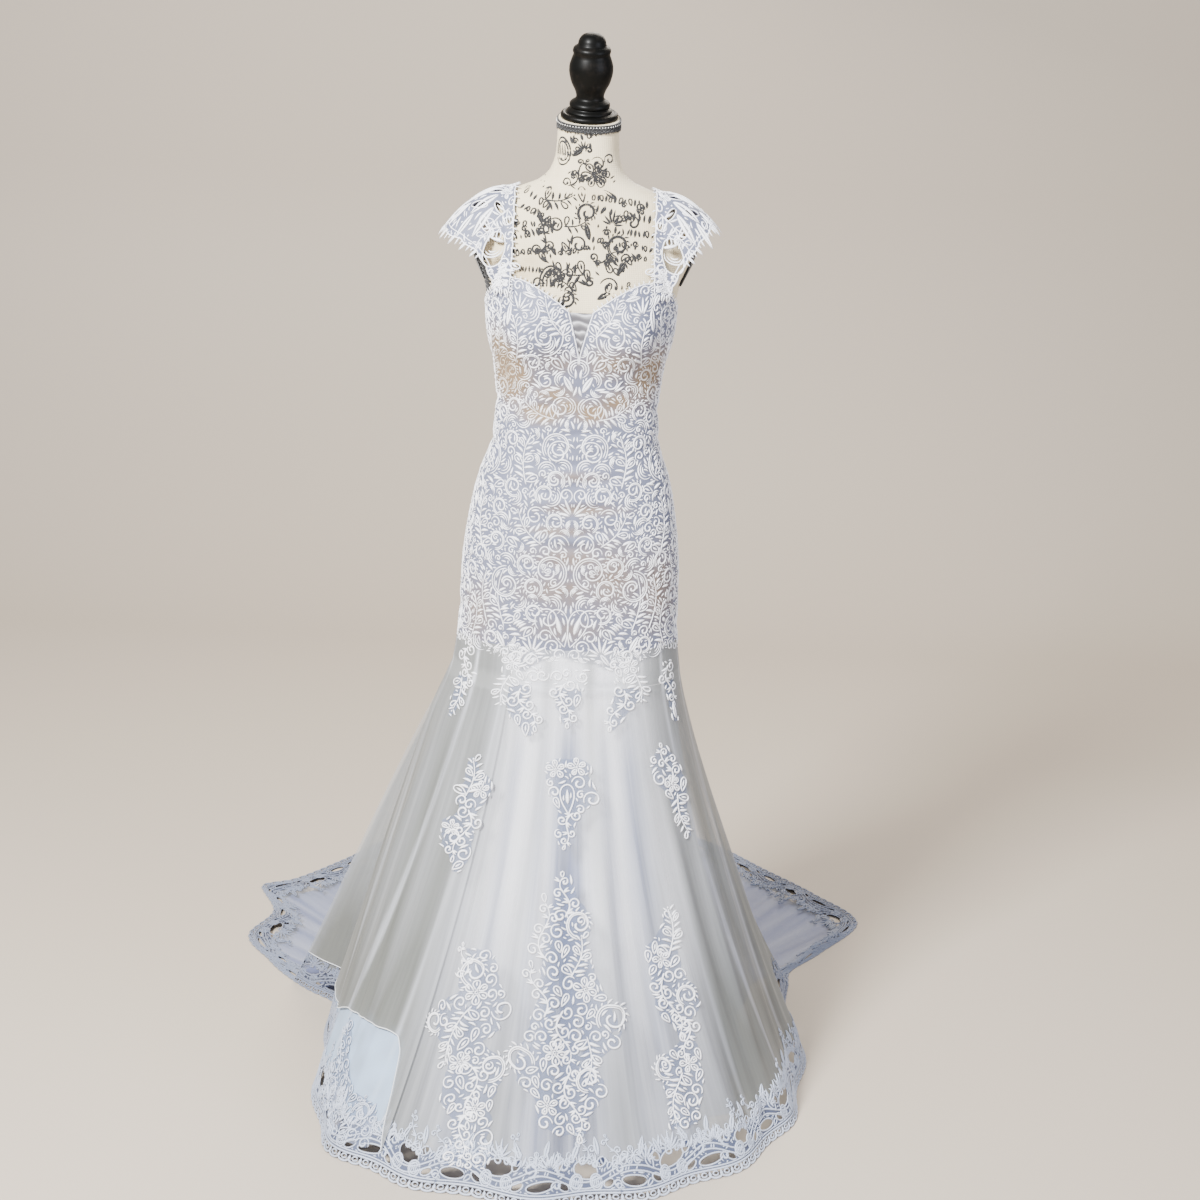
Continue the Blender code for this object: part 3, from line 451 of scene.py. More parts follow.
    def outer(self, angle: Array, share: Array) -> Array:
        """Points of the outer tulle."""
        angle, share = np.broadcast_arrays(wrapped(angle), np.asarray(share, float))
        rise = self.hem_rise * np.clip((1 - share) / 0.04, 0.0, 1.0)
        points, down, along = self.flare(angle, share, 0.0, rise)
        held = np.clip(1 - along / 0.1, 0.0, 1.0)
        out = 0.014 * np.maximum(down, 0) ** 1.5 * self.crest(angle) * held
        lying = 1 - eased(points[..., 2], 0.0, 0.05)
        ridge = self.creased(self.folds, angle, share) * (1 - eased(share, 0.90, 0.99))
        points = points + direction(angle) * (out + ridge * (1 - lying))[..., None]
        lifted = np.clip(along / 0.15, 0.0, 1.0) * np.clip((1 - share) / 0.05, 0.0, 1.0)
        points[..., 2] += 0.007 * self.crest(2 * angle) * lifted + 1.2 * ridge * lying
        return points

    def lining(self, angle: Array, share: Array) -> Array:
        """Points of the satin lining."""
        angle, share = np.broadcast_arrays(wrapped(angle), np.asarray(share, float))
        points, down, along = self.flare(angle, share, self.lining_short, 0.0 * share)
        held = np.clip(1 - along / 0.1, 0.0, 1.0)
        down = np.maximum(down, 0)
        depth = 0.6 * MM + CLOTH + 0.012 * np.minimum(1.0, down / 0.13)
        depth = depth + 0.042 * down**1.6 * (1 - self.crest(angle))
        depth = depth - self.creased(self.lining_folds, angle, share) * (1 - eased(share, 0.90, 0.99))
        return points - direction(angle) * (depth * held)[..., None]

    def lifted_tulle(self, lift: float) -> Surface:
        """The outer tulle's surface, moved out by a lift."""

        def surface(angle: Array, share: Array) -> tuple[Array, Array]:
            """Points and unit normals at angles and shares."""
            _, normals = self.tulle(angle, np.clip(share, *SATIN_SPAN))
            points = self.outer(angle, np.clip(share, 0.0, 1.0))
            seam = np.maximum(0.0, CLOTH - lift) * (1 - eased(share, 0.0, 0.06))
            return points + normals * (lift + seam)[..., None], normals

        return surface

    def sewn_tulle(self, lift: float, rest: float = 0.0) -> Surface:
        """The tulle's surface, which goes on up over the hips where the share is below 0.

        Args:
            lift: off the gores.
            rest: added to the lift away from the seam.

        Returns:
            The surface by angles and shares.
        """
        skirt, hips = self.lifted_tulle(lift), self.body.cloth(SKIN_GAP + CLOTH + 0.3 * MM)

        def surface(angle: Array, share: Array) -> tuple[Array, Array]:
            """Points and unit normals at angles and shares."""
            angle, share = np.broadcast_arrays(angle, share)
            points, normals = skirt(angle, np.clip(share, 0.0, 1.0))
            points = points + normals * (rest * eased(share, 0.0, 0.12))[..., None]
            normals = normals.copy()
            above = share < 0
            over = hips(angle, FLARE_TOP - np.minimum(share, 0.0) * self.length(angle))
            points[above], normals[above] = over[0][above], over[1][above]
            return points, normals

        return surface


class SleeveShape:
    """The cap sleeve: a strap over the shoulder whose outer edge stands free and droops."""

    axis_height, inner, held, held_low, droop = 1.285, 0.1000, 0.112, 0.014, 7.2
    gap, gap_low = 3.4 * MM, 3.0 * MM
    mean_radius = 0.120

    def __init__(self, body: BodyShape, side: int) -> None:
        """Takes the outer edge of one side.

        Args:
            body: the body that carries the strap.
            side: -1 is the left, +1 the right.
        """
        self.body, self.side = body, side
        self.edge = SmoothCurve(SLEEVE_EDGE, 1 if side < 0 else 2)

    def reach(self, along: Array) -> Array:
        """The distance from the inner edge to the outer one, by the distance along the strap."""
        return self.edge(np.degrees(along / self.mean_radius)) - self.inner

    def shoulder(self, x: Array, turn: Array) -> Array:
        """Points where rays from the sleeve's line leave the form."""
        t = np.radians(turn)
        low, high = np.zeros(np.broadcast(x, t).shape), np.full(np.broadcast(x, t).shape, 0.30)
        for _ in range(24):
            reach = (low + high) / 2
            y, z = reach * np.sin(t), self.axis_height + reach * np.cos(t)
            inside = np.hypot(x, y) < self.body.radius(np.degrees(np.arctan2(x, -y)), z)
            low, high = np.where(inside, reach, low), np.where(inside, high, reach)
        return np.stack([x, low * np.sin(t), self.axis_height + low * np.cos(t)], -1)

    def point(self, x: Array, turn: Array) -> Array:
        """Points of the sleeve on the +X side, before its gap to the form."""
        x, turn = np.broadcast_arrays(np.asarray(x, float), np.asarray(turn, float))
        held = self.held + self.held_low * (turn / 90) ** 2
        points = self.shoulder(np.minimum(x, held), turn)
        past = np.maximum(0.0, x - held)
        points[..., 0] = x
        points[..., 2] -= self.droop * past * past
        return points

    def surface(self, lift: float) -> Surface:
        """The sleeve's surface by the distance along the strap and the distance out from its inner edge."""

        def surface(along: Array, out: Array) -> tuple[Array, Array]:
            """Points and unit normals."""
            turn = np.degrees(np.asarray(along, float) / self.mean_radius)
            turn = np.clip(turn, -100, 100)
            x = self.inner + np.asarray(out, float)
            x, turn = np.broadcast_arrays(x, turn)
            slope_x = self.point(x + 2 * MM, turn) - self.point(x - 2 * MM, turn)
            slope_t = self.point(x, turn + 1.0) - self.point(x, turn - 1.0)
            normals = unit(np.cross(slope_t, slope_x))
            points = self.point(x, turn)
            outward = points - np.array([0.0, 0.0, self.axis_height])
            normals = normals * np.where((normals * outward).sum(-1) < 0, -1, 1)[..., None]
            gap = self.gap + self.gap_low * (turn / 90) ** 2 + lift
            mirror = np.array([self.side, 1, 1])
            return (points + normals * gap[..., None]) * mirror, normals * mirror

        return surface


# ---- Meshes ----------------------------------------------------------------------------------
def new_piece(name: str, vertices: Array, faces: Array | list[list[int]], slot: str,
              material: bpy.types.Material, sharp: float = 180.0) -> bpy.types.Object:
    """Makes a smooth mesh that rides on the part.

    Args:
        name: the piece's name.
        vertices: its points.
        faces: its faces, as rows of point numbers.
        slot: the record's material slot, not used.
        material: its finish.
        sharp: edges that turn more than this many degrees stay sharp.

    Returns:
        The new object.
    """
    mesh = bpy.data.meshes.new(name)
    mesh.from_pydata(vertices.tolist(), [], faces if isinstance(faces, list) else faces.tolist())
    mesh.update()
    mesh.shade_smooth()
    if sharp < 180:
        mesh.set_sharp_from_angle(angle=math.radians(sharp))
    mesh.materials.append(material)
    obj = bpy.data.objects.new(name, mesh)
    bpy.context.scene.collection.objects.link(obj)
    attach(obj, "root")
    return obj


def paint(obj: bpy.types.Object, name: str, values: Array) -> None:
    """Keeps a number for each point of a mesh, for its material to read."""
    attribute = obj.data.attributes.new(name, "FLOAT", "POINT")
    attribute.data.foreach_set("value", np.asarray(values, np.float32).ravel())


@dataclass
class ClothGrid:
    """A sheet of cloth on a grid of points, with cells left out where its pattern is open."""

    points: Array  # (columns, rows, 3)
    normals: Array
    kept: Array | None = None

    def used(self) -> tuple[Array, Array]:
        """The faces of the cells that are cloth, and the numbers of the points they use."""
        columns, rows = self.points.shape[:2]
        index = np.arange(columns * rows).reshape(columns, rows)
        quads = np.stack([index[:-1, :-1], index[1:, :-1], index[1:, 1:], index[:-1, 1:]], -1)
        kept = np.ones((columns - 1, rows - 1), bool) if self.kept is None else self.kept
        quads = quads[kept]
        first = quads[len(quads) // 2]
        a, b, c = (self.points.reshape(-1, 3)[first[i]] for i in (0, 1, 2))
        if np.cross(b - a, c - b) @ self.normals.reshape(-1, 3)[first[0]] < 0:
            quads = quads[:, ::-1]
        return quads, np.unique(quads)

    def skin(self) -> tuple[Array, Array, Array]:
        """The sheet with no thickness: its points, faces and the numbers of its points in the grid."""
        quads, used = self.used()
        place = np.zeros(self.points.shape[0] * self.points.shape[1], int)
        place[used] = np.arange(len(used))
        return self.points.reshape(-1, 3)[used], place[quads], used

    def wall(self, thickness: float) -> tuple[Array, Array, Array]:
        """The sheet as a closed thin wall.

        Args:
            thickness: of the cloth, outwards from the grid's points.

        Returns:
            Its points, its faces and the numbers of its points in the grid.
        """
        vertices, quads, used = self.skin()
        count = len(vertices)
        raised = vertices + self.normals.reshape(-1, 3)[used] * thickness
        sides = np.concatenate([quads[:, [i, (i + 1) % 4]] for i in range(4)])
        key = np.sort(sides, axis=1) @ np.array([count, 1])
        _, first, uses = np.unique(key, return_index=True, return_counts=True)
        rim = sides[first[uses == 1]]
        band = np.stack([rim[:, 1] + count, rim[:, 0] + count, rim[:, 0], rim[:, 1]], -1)
        faces = np.concatenate([quads + count, quads[:, ::-1], band])
        return np.concatenate([vertices, raised]), faces, np.concatenate([used, used])


def turned_profile(name: str, profile: Sequence[tuple[float, float]], steps: int, slot: str,
                   material: bpy.types.Material) -> bpy.types.Object:
    """A turned solid, spun in edit mode from its profile.

    Args:
        name: the piece's name.
        profile: radius and height of its points, from the axis at the top to the axis at the bottom.
        steps: faces round it.
        slot: the record's material slot, not used.
        material: its finish.

    Returns:
        The piece, upright on the origin.
    """
    bpy.ops.object.select_all(action="DESELECT")
    mesh = bpy.data.meshes.new(name)
    mesh.from_pydata([(r, 0.0, z) for r, z in profile], [(i, i + 1) for i in range(len(profile) - 1)], [])
    obj = bpy.data.objects.new(name, mesh)
    bpy.context.scene.collection.objects.link(obj)
    bpy.context.view_layer.objects.active = obj
    obj.select_set(True)
    bpy.ops.object.mode_set(mode="EDIT")
    bpy.ops.mesh.select_all(action="SELECT")
    bpy.ops.mesh.spin(steps=steps, angle=math.tau, center=(0, 0, 0), axis=(0, 0, 1))
    bpy.ops.mesh.select_all(action="SELECT")
    bpy.ops.mesh.remove_doubles(threshold=0.00002)
    bpy.ops.mesh.normals_make_consistent(inside=False)
    bpy.ops.object.mode_set(mode="OBJECT")
    bpy.ops.object.shade_smooth_by_angle(angle=math.radians(50))
    obj.select_set(False)
    obj.data.materials.append(material)
    return obj


# ---- Lace ------------------------------------------------------------------------------------
@dataclass
class Stroke:
    """One cord of lace on the flat: its line and its half width at each point, in metres."""

    line: Array
    width: Array

    def placed(self, at: tuple[float, float], turn: float, mirror: bool = False) -> "Stroke":
        """The stroke turned anticlockwise by degrees, moved to a place, and mirrored first if asked."""
        line = self.line * (np.array([-1.0, 1.0]) if mirror else 1.0)
        t = math.radians(turn)
        spin = np.array([[math.cos(t), math.sin(t)], [-math.sin(t), math.cos(t)]])
        return Stroke(line @ spin + np.array(at), self.width)

    def mirrored(self) -> "Stroke":
        """The same stroke on the other side of the centre line."""
        return Stroke(self.line * np.array([-1.0, 1.0]), self.width)

    def thinned(self) -> "Stroke":
        """The same stroke with about half of its points, if it has enough of them."""
        count = len(self.line)
        if count < 8:
            return self
        kept = np.unique(np.append(np.arange(0, count, 2), count - 1))
        return Stroke(self.line[kept], self.width[kept])


def resampled(line: Array, step: float) -> Array:
    """A line's points spaced evenly, about a step apart."""
    lengths = np.concatenate([[0.0], np.cumsum(np.linalg.norm(np.diff(line, axis=0), axis=1))])
    count = max(2, int(round(lengths[-1] / step)) + 1)
    at = np.linspace(0, lengths[-1], count)
    return np.stack([np.interp(at, lengths, line[:, i]) for i in (0, 1)], -1)


class Motif(Enum):
    """The common figures that the lace is drawn with."""

    GRAIN = "grain"
    COMMA = "comma"
    DROP = "drop"
    CURL = "curl"
    LEAF = "leaf"
    FROND = "frond"
    VINE = "vine"
    ARCS = "arcs"
    FLOWER = "flower"
    FAN = "fan"
    SCROLL = "scroll"
    MEDALLION = "medallion"


@dataclass
class LaceWork:
    """Draws the figures of the lace as cords and satin stitch on the flat, pointing up from their base."""

    half_width: float = 1.2 * MM
    step: float = 2.7 * MM

    def cord(self, line: Array, head: float = 1.0, tail: float = 1.0) -> Stroke:
        """A cord along a line, with its half width at both ends as a share of the usual one."""
        line = resampled(line, self.step)
        share = np.linspace(0, 1, len(line))
        return Stroke(line, self.half_width * (head + (tail - head) * share))

    def pad(self, line: Array, fat: float) -> Stroke:
        """A pad of satin stitch along a line, fattest a little under its middle and pointed at both ends."""
        length = float(np.linalg.norm(np.diff(line, axis=0), axis=1).sum())
        line = resampled(line, min(1.4 * self.step, length / 4))
        share = np.linspace(0, 1, len(line))
        return Stroke(line, 0.35 * self.half_width + fat * np.sin(math.pi * share**0.8))

    def grain(self, size: float) -> list[Stroke]:
        """A short fat stitch, as a bead or a knot of thread."""
        line = np.array([(0.0, 0.0), (0.0, size / 2), (0.0, size)])
        return [Stroke(line, self.half_width * np.array([0.7, 1.4, 0.7]))]

    def comma(self, size: float) -> list[Stroke]:
        """A fat dash with a thin bent tail."""
        t = np.linspace(0, 1, 6)
        line = np.stack([0.28 * size * t * t, size * t], -1)
        return [self.pad(line, max(0.7 * self.half_width, 0.125 * size))]

    def drop(self, size: float) -> list[Stroke]:
        """The outline of a drop that is pointed at its base, with a stitch in it if it is large."""
        t = np.linspace(0.12, math.tau - 0.12, 26)
        line = np.stack([0.32 * size * np.sin(t) * np.sin(t / 2) ** 1.1, size * (1 - np.cos(t)) / 2], -1)
        strokes = [self.cord(line)]
        if size > 14 * MM:
            middle = np.array([(0.0, 0.34 * size), (0.0, 0.84 * size)])
            strokes.append(self.pad(middle, 0.065 * size))
        return strokes

    def curl(self, size: float) -> list[Stroke]:
        """A spiral that rolls in to a fat end."""
        t = np.linspace(0, 1, 40)
        a = math.pi - t * math.tau * 1.25
        r = size / 2 * (1 - 0.78 * t)
        line = np.stack([size / 2 + r * np.cos(a), r * np.sin(a)], -1)
        return [self.cord(line, 0.8, 1.6)]

    def arcs(self, size: float) -> list[Stroke]:
        """Three arcs side by side, fat in their middles, like the ribs of a shell."""
        strokes = []
        for number, share in enumerate((1.0, 0.74, 0.48)):
            t = np.radians(np.linspace(92 + 12 * number, 268 - 20 * number, 24))
            line = size / 2 * share * np.stack([np.cos(t), np.sin(t)], -1) + np.array([size / 4, size / 2])
            strokes.append(self.pad(line, 0.85 * self.half_width))
        return strokes

    def vine(self, size: float) -> list[Stroke]:
        """A long S of cord with curls and commas off both sides."""
        t = np.linspace(0, 1, 40)
        stem = np.stack([0.13 * size * np.sin(t * math.tau * 0.9), size * t], -1)
        strokes = [self.cord(stem, 1.3, 0.7)]
        count = max(3, round(size / (13 * MM)))
        for number, at in enumerate(np.linspace(0.06, 0.9, count)):
            base = (0.13 * size * math.sin(at * math.tau * 0.9), at * size)
            side = 1 if number % 2 else -1
            curl = self.curl(min(19 * MM, 0.30 * size) * (1.1 - 0.4 * at))
            strokes += [s.placed(base, -side * 4, side < 0) for s in curl]
            for turn in (34, 62):
                comma = self.comma(min(13 * MM, 0.22 * size) * (1.1 - 0.4 * at))
                strokes += [s.placed(base, side * turn, side > 0) for s in comma]
        return [*strokes, *(s.placed(tuple(stem[-1]), 0) for s in self.drop(0.16 * size))]

    def leaf(self, size: float) -> list[Stroke]:
        """A leaf in two halves of satin stitch with a groove between them."""
        t = np.linspace(0, 1, 8)
        side = 0.3 * MM + 0.075 * size * np.sin(math.pi * t)
        return [self.pad(np.stack([s * side, size * t], -1), 0.07 * size) for s in (-1, 1)]

    def frond(self, size: float) -> list[Stroke]:
        """A bent stem with commas on both sides, smaller towards the tip."""
        t = np.linspace(0, 1, 20)
        stem = np.stack([0.16 * size * np.sin(t * 2.6), size * t], -1)
        strokes = [self.cord(stem, 1.1, 0.7)]
        pairs = max(4, round(size / (9.5 * MM)))
        for number, at in enumerate(np.linspace(0.10, 0.94, pairs)):
            x = 0.16 * size * math.sin(at * 2.6)
            length = min(17 * MM, size * 0.32) * (1.1 - 0.5 * at)
            for side in (-1, 1):
                leaf = self.drop(1.15 * length) if (number + (side > 0)) % 3 == 0 else self.comma(length)
                base = (x + side * 1.2 * MM, (at + 0.03 * side) * size)
                turn = -side * (56 - 3 * number + 7 * math.sin(5 * at))
                strokes += [s.placed(base, turn, side < 0) for s in leaf]
        return [*strokes, *(s.placed(tuple(stem[-1]), 0) for s in self.grain(3.5 * MM))]

    def flower(self, size: float) -> list[Stroke]:
        """Five or six looped petals, each with a stitch in it, round a small ring."""
        petals = 6 if size > 0.03 else 5
        strokes = [s.placed((0.0, size / 2), 0) for s in self.ring(size * 0.13)]
        t = np.linspace(0.25, math.tau - 0.25, 14)
        for i in range(petals):
            long = size * (0.40 + 0.04 * math.sin(i * 2.4))
            edge = np.stack([0.42 * long * np.sin(t) * np.sin(t / 2), long * (1 - np.cos(t)) / 2], -1)
            inside = self.pad(np.array([(0.0, 0.38 * long), (0.0, 0.92 * long)]), 0.042 * size)
            turn = 360 * i / petals + 8
            lift = np.array([-math.sin(math.radians(turn)), math.cos(math.radians(turn))]) * size * 0.09
            base = (float(lift[0]), size / 2 + float(lift[1]))
            strokes += [s.placed(base, turn) for s in (self.cord(edge), inside)]
        return strokes

    def fan(self, size: float) -> list[Stroke]:
        """Seven blades that spread from one base."""
        strokes = []
        for turn in (-78, -52, -26, 0, 26, 52, 78):
            length = size * (1 - 0.0034 * abs(turn))
            blade = self.pad(np.array([(0.0, 0.12 * size), (0.0, length)]), 0.062 * size)
            strokes.append(blade.placed((0.0, 0.0), turn))
        return strokes

    def scroll(self, size: float) -> list[Stroke]:
        """A large C scroll with a cord beside it, and commas along its outer side."""
        t = np.linspace(0, 1, 60)
        a = math.radians(250) - t * math.tau * 1.28
        r = size / 2 * (1 - 0.80 * t**1.15)
        line = np.stack([r * np.cos(a), size / 2 + r * np.sin(a)], -1)
        inner = line * 0.85 + np.array([0.0, size * 0.075])
        strokes = [self.cord(line, 0.9, 1.6), self.cord(inner[:34], 0.9, 0.6)]
        for at in range(2, 36, 3):
            out = line[at] - np.array([0.0, size / 2])
            turn = math.degrees(math.atan2(out[1], out[0])) - 90
            length = size * (0.17 + 0.05 * math.sin(at))
            base = tuple(line[at] + unit(out) * 1.4 * MM)
            strokes += [s.placed(base, turn - 40) for s in self.comma(length)]
        return strokes

    def medallion(self, size: float) -> list[Stroke]:
        """An upright oval in two rings with ribs across it."""
        t = np.linspace(0, math.tau, 30)
        strokes = []
        for share in (1.0, 0.72):
            x, y = 0.38 * size * share * np.cos(t), size / 2 + size / 2 * share * np.sin(t)
            strokes.append(self.cord(np.stack([x, y], -1), 1.2, 1.2))
        for x in (-0.13, 0.0, 0.13):
            half = 0.28 * size * math.sqrt(max(0.0, 1 - (x / 0.27) ** 2))
            rib = np.array([(x * size, size / 2 - half), (x * size, size / 2 + half)])
            strokes.append(self.pad(rib, 0.8 * self.half_width))
        return strokes

    def ring(self, size: float) -> list[Stroke]:
        """A small ring round its centre."""
        t = np.linspace(0, math.tau, 11)
        return [self.cord(size / 2 * np.stack([np.cos(t), np.sin(t)], -1), 0.9, 0.9)]

    def draw(self, motif: Motif, size: float) -> list[Stroke]:
        """The strokes of a figure at a size."""
        return getattr(self, motif.value)(size)


@dataclass(frozen=True)
class Place:
    """Where a figure of lace is sewn: its base in millimetres on the flat, its turn and its size."""

    motif: Motif
    x: float
    y: float
    turn: float
    size: float
    mirror: bool = False

    def strokes(self, work: LaceWork) -> list[Stroke]:
        """The figure's cords, in metres."""
        drawn = work.draw(self.motif, self.size * MM)
        return [s.placed((self.x * MM, self.y * MM), self.turn, self.mirror) for s in drawn]


class Ground:
    """The flat cloth that lace is laid out on: which of its small cells are taken."""

    cell = 1.0 * MM

    def __init__(self, low: tuple[float, float], high: tuple[float, float],
                 allowed: Callable[[Array, Array], Array]) -> None:
        """Starts with the cells outside the cloth taken.

        Args:
            low: the lowest corner.
            high: the highest corner.
            allowed: says of places on the flat whether lace may be there.
        """
        self.low = np.array(low)
        self.size = np.ceil((np.array(high) - self.low) / self.cell).astype(int) + 1
        x, y = (self.low[i] + self.cell * np.arange(self.size[i]) for i in (0, 1))
        self.taken = ~allowed(x[:, None], y[None, :])

    def cells(self, points: Array) -> tuple[Array, Array]:
        """The columns and rows of the cells that hold the points."""
        at = np.round((points - self.low) / self.cell).astype(int)
        return np.clip(at[:, 0], 0, self.size[0] - 1), np.clip(at[:, 1], 0, self.size[1] - 1)

    def take(self, strokes: Iterable[Stroke], clearance: float) -> None:
        """Marks the cells under strokes, and out to a clearance beside their edges."""
        for stroke in strokes:
            far = clearance + float(stroke.width.max())
            reach = int(math.ceil(far / self.cell))
            i, j = np.meshgrid(np.arange(-reach, reach + 1), np.arange(-reach, reach + 1), indexing="ij")
            near = np.hypot(i, j) * self.cell <= far
            c, r = self.cells(resampled(stroke.line, 1.5 * self.cell))
            c = np.clip(c[:, None] + i[near], 0, self.size[0] - 1)
            self.taken[c, np.clip(r[:, None] + j[near], 0, self.size[1] - 1)] = True

    def crowded(self, strokes: Iterable[Stroke]) -> float:
        """The share of the strokes' points that lie on taken cells."""
        return float(np.mean(self.taken[self.cells(np.concatenate([s.line for s in strokes]))]))

    def lay(self, work: LaceWork, figures: Iterable[Place], clearance: float,
            wanted: Callable[[Stroke], bool] | None = None) -> list[Stroke]:
        """Draws figures at the places given.

        Args:
            work: draws the figures.
            figures: where they are.
            clearance: beside the edges of the cords.
            wanted: says which of a figure's cords are sewn, or None for all.

        Returns:
            The new strokes.
        """
        laid = []
        for figure in figures:
            drawn = [s for s in figure.strokes(work) if wanted is None or wanted(s)]
            self.take(drawn, clearance)
            laid += drawn
        return laid

    def fill(self, work: LaceWork, rounds: Sequence[tuple[Motif, float, float, float]],
             lean: Callable[[float, float], float], seed: int, clearance: float,
             limit: float) -> list[Stroke]:
        """Fills what is free with small figures, round after round.

        Args:
            work: draws the figures.
            rounds: for each a figure, and in millimetres its least size, its largest size and the spacing
                of its tries.
            lean: the way the figures point at a place, in degrees.
            seed: of the scatter.
            clearance: between the middles of two cords.
            limit: the share of a figure that may cross another.

        Returns:
            The new strokes.
        """
        scatter, added = random.Random(seed), []
        extent = self.size * self.cell
        left, bottom = self.low
        for motif, *sizes in rounds:
            small, large, spacing = (size * MM for size in sizes)
            places = [
                (left + (i + scatter.random()) * spacing, bottom + (j + scatter.random()) * spacing)
                for i in range(int(extent[0] / spacing)) for j in range(int(extent[1] / spacing))
            ]
            scatter.shuffle(places)
            for x, y in places:
                size, mirror = scatter.uniform(small, large), scatter.random() < 0.5
                if self.taken[self.cells(np.array([(x, y)]))][0]:
                    continue
                drawn = work.draw(motif, size)
                for off in (0.0, 24.0, -24.0, 55.0, -55.0):
                    turn = lean(x, y) + off + scatter.uniform(-10, 10)
                    strokes = [s.placed((x, y), turn, mirror) for s in drawn]
                    if self.crowded(strokes) <= limit:
                        self.take(strokes, clearance)
                        added += strokes
                        break
        return added


@dataclass
class CordMesh:
    """Turns strokes on the flat into raised cords on a surface."""

    surface: Surface
    height: float = 0.85  # of a cord, as a share of its half width
    tallest: float = 0.9 * MM  # what a fat stitch adds to a fifth of its half width

    def build(self, strokes: Sequence[Stroke]) -> tuple[Array, list[list[int]], Array]:
        """Makes the cords' mesh.

        Args:
            strokes: the cords on the flat.

        Returns:
            The points, the faces and each point's distance along its cord.
        """
        counts = np.array([len(s.line) for s in strokes])
        flat = np.concatenate([s.line for s in strokes])
        half = np.concatenate([s.width for s in strokes])
        starts = np.concatenate([[0], np.cumsum(counts)[:-1]])
        ends = starts + counts - 1
        points, normals = self.surface(flat[:, 0], flat[:, 1])
        ahead, behind = np.arange(len(flat)) + 1, np.arange(len(flat)) - 1
        ahead[ends], behind[starts] = ends, starts
        tangents = unit(points[ahead] - points[behind])
        sides = unit(np.cross(normals, tangents))
        closed = np.zeros(len(flat), bool)
        closed[starts] = closed[ends] = True
        half = np.where(closed, half * 0.45, half)[:, None]
        tall = np.minimum(half * self.height, self.tallest + 0.2 * half)
        # a low ridge with a flat underside
        ring = np.stack([points - sides * half, points + normals * tall, points + sides * half], axis=1)
        runs = np.concatenate([np.arange(s, e) for s, e in zip(starts, ends)])
        base, ahead = runs * 3, runs * 3 + 3
        quads = [
            np.stack([base + i, ahead + i, ahead + (i + 1) % 3, base + (i + 1) % 3], -1) for i in range(3)
        ]
        caps = [starts[:, None] * 3 + np.array([0, 1, 2]), ends[:, None] * 3 + np.array([2, 1, 0])]
        faces = np.concatenate(quads).tolist() + np.concatenate(caps).tolist()
        steps = np.linalg.norm(np.diff(points, axis=0, prepend=points[:1]), axis=1)
        return ring.reshape(-1, 3), faces, np.repeat(np.cumsum(steps), 3)


def places_of(obj: bpy.types.Object) -> Array:
    """Where an object's points are, one row for each."""
    places = np.zeros(len(obj.data.vertices) * 3)
    obj.data.vertices.foreach_get("co", places)
    return places.reshape(-1, 3)


def sew_cords(name: str, strokes: Sequence[Stroke], surface: Surface, finish: "Finish",
              height: float = 0.85) -> bpy.types.Object:
    """Makes a piece of lace cords.

    Args:
        name: the piece's name.
        strokes: the cords on the flat.
        surface: what they are sewn on.
        finish: their finish.
        height: of a cord, as a share of its half width.

    Returns:
        The piece.
    """
    vertices, faces, along = CordMesh(surface, height).build(strokes)
    vertices[:, 2] = np.maximum(vertices[:, 2], 0.1 * MM)
    obj = new_piece(name, vertices, faces, finish.slot, finish.material())
    paint(obj, "along", along)
    return obj


# ---- Finishes --------------------------------------------------------------------------------
def linear(colour: str) -> tuple[float, float, float, float]:
    """A colour given as sRGB hex, as linear red, green, blue and alpha."""
    parts = [int(colour[i : i + 2], 16) / 255 for i in (1, 3, 5)]
    return (*(c / 12.92 if c <= 0.04045 else ((c + 0.055) / 1.055) ** 2.4 for c in parts), 1.0)


def add_node(tree: bpy.types.NodeTree, kind: str, settings: dict | None = None, **links) -> bpy.types.Node:
    """Adds a node to a material.

    Args:
        tree: the material's nodes.
        kind: the node's type, without its usual prefix.
        settings: values of its properties and inputs, by name.
        links: outputs that go into its inputs, by name with _ for a space.

    Returns:
        The node.
    """
    node = tree.nodes.new("ShaderNode" + kind)
    for name, value in (settings or {}).items():
        if isinstance(name, int) or name in node.inputs:
            node.inputs[name].default_value = value
        else:
            setattr(node, name, value)
    for name, output in links.items():
        tree.links.new(output, node.inputs[name.replace("_", " ")])
    return node


@dataclass(frozen=True)
class Finish:
    """A finish. It makes its material once and hands it out after that."""

    name: str
    slot: str
    colour: str
    roughness: float

    def material(self) -> bpy.types.Material:
        """The finish's material."""
        found = bpy.data.materials.get(self.name)
        if found:
            return found
        made = bpy.data.materials.new(self.name)
        made.use_nodes = True
        shader = made.node_tree.nodes["Principled BSDF"]
        shader.inputs["Base Color"].default_value = linear(self.colour)
        shader.inputs["Roughness"].default_value = self.roughness
        self.dress(made.node_tree, shader)
        return made

    def dress(self, tree: bpy.types.NodeTree, shader: bpy.types.Node) -> None:
        """Adds the finish's pattern and sheen to its shader."""

    def bump(self, tree: bpy.types.NodeTree, shader: bpy.types.Node, height: bpy.types.NodeSocket,
             distance: float, strength: float = 1.0) -> None:
        """Gives the shader a relief, its distance in metres."""
        node = add_node(tree, "Bump", {"Strength": strength, "Distance": distance}, Height=height)
        tree.links.new(node.outputs["Normal"], shader.inputs["Normal"])

    def place(self, tree: bpy.types.NodeTree,
              scale: tuple[float, float, float] = (1, 1, 1)) -> bpy.types.NodeSocket:
        """Places in metres on the piece, stretched by a scale."""
        where = add_node(tree, "TexCoord").outputs["Object"]
        return add_node(tree, "Mapping", {"Scale": scale}, Vector=where).outputs["Vector"]


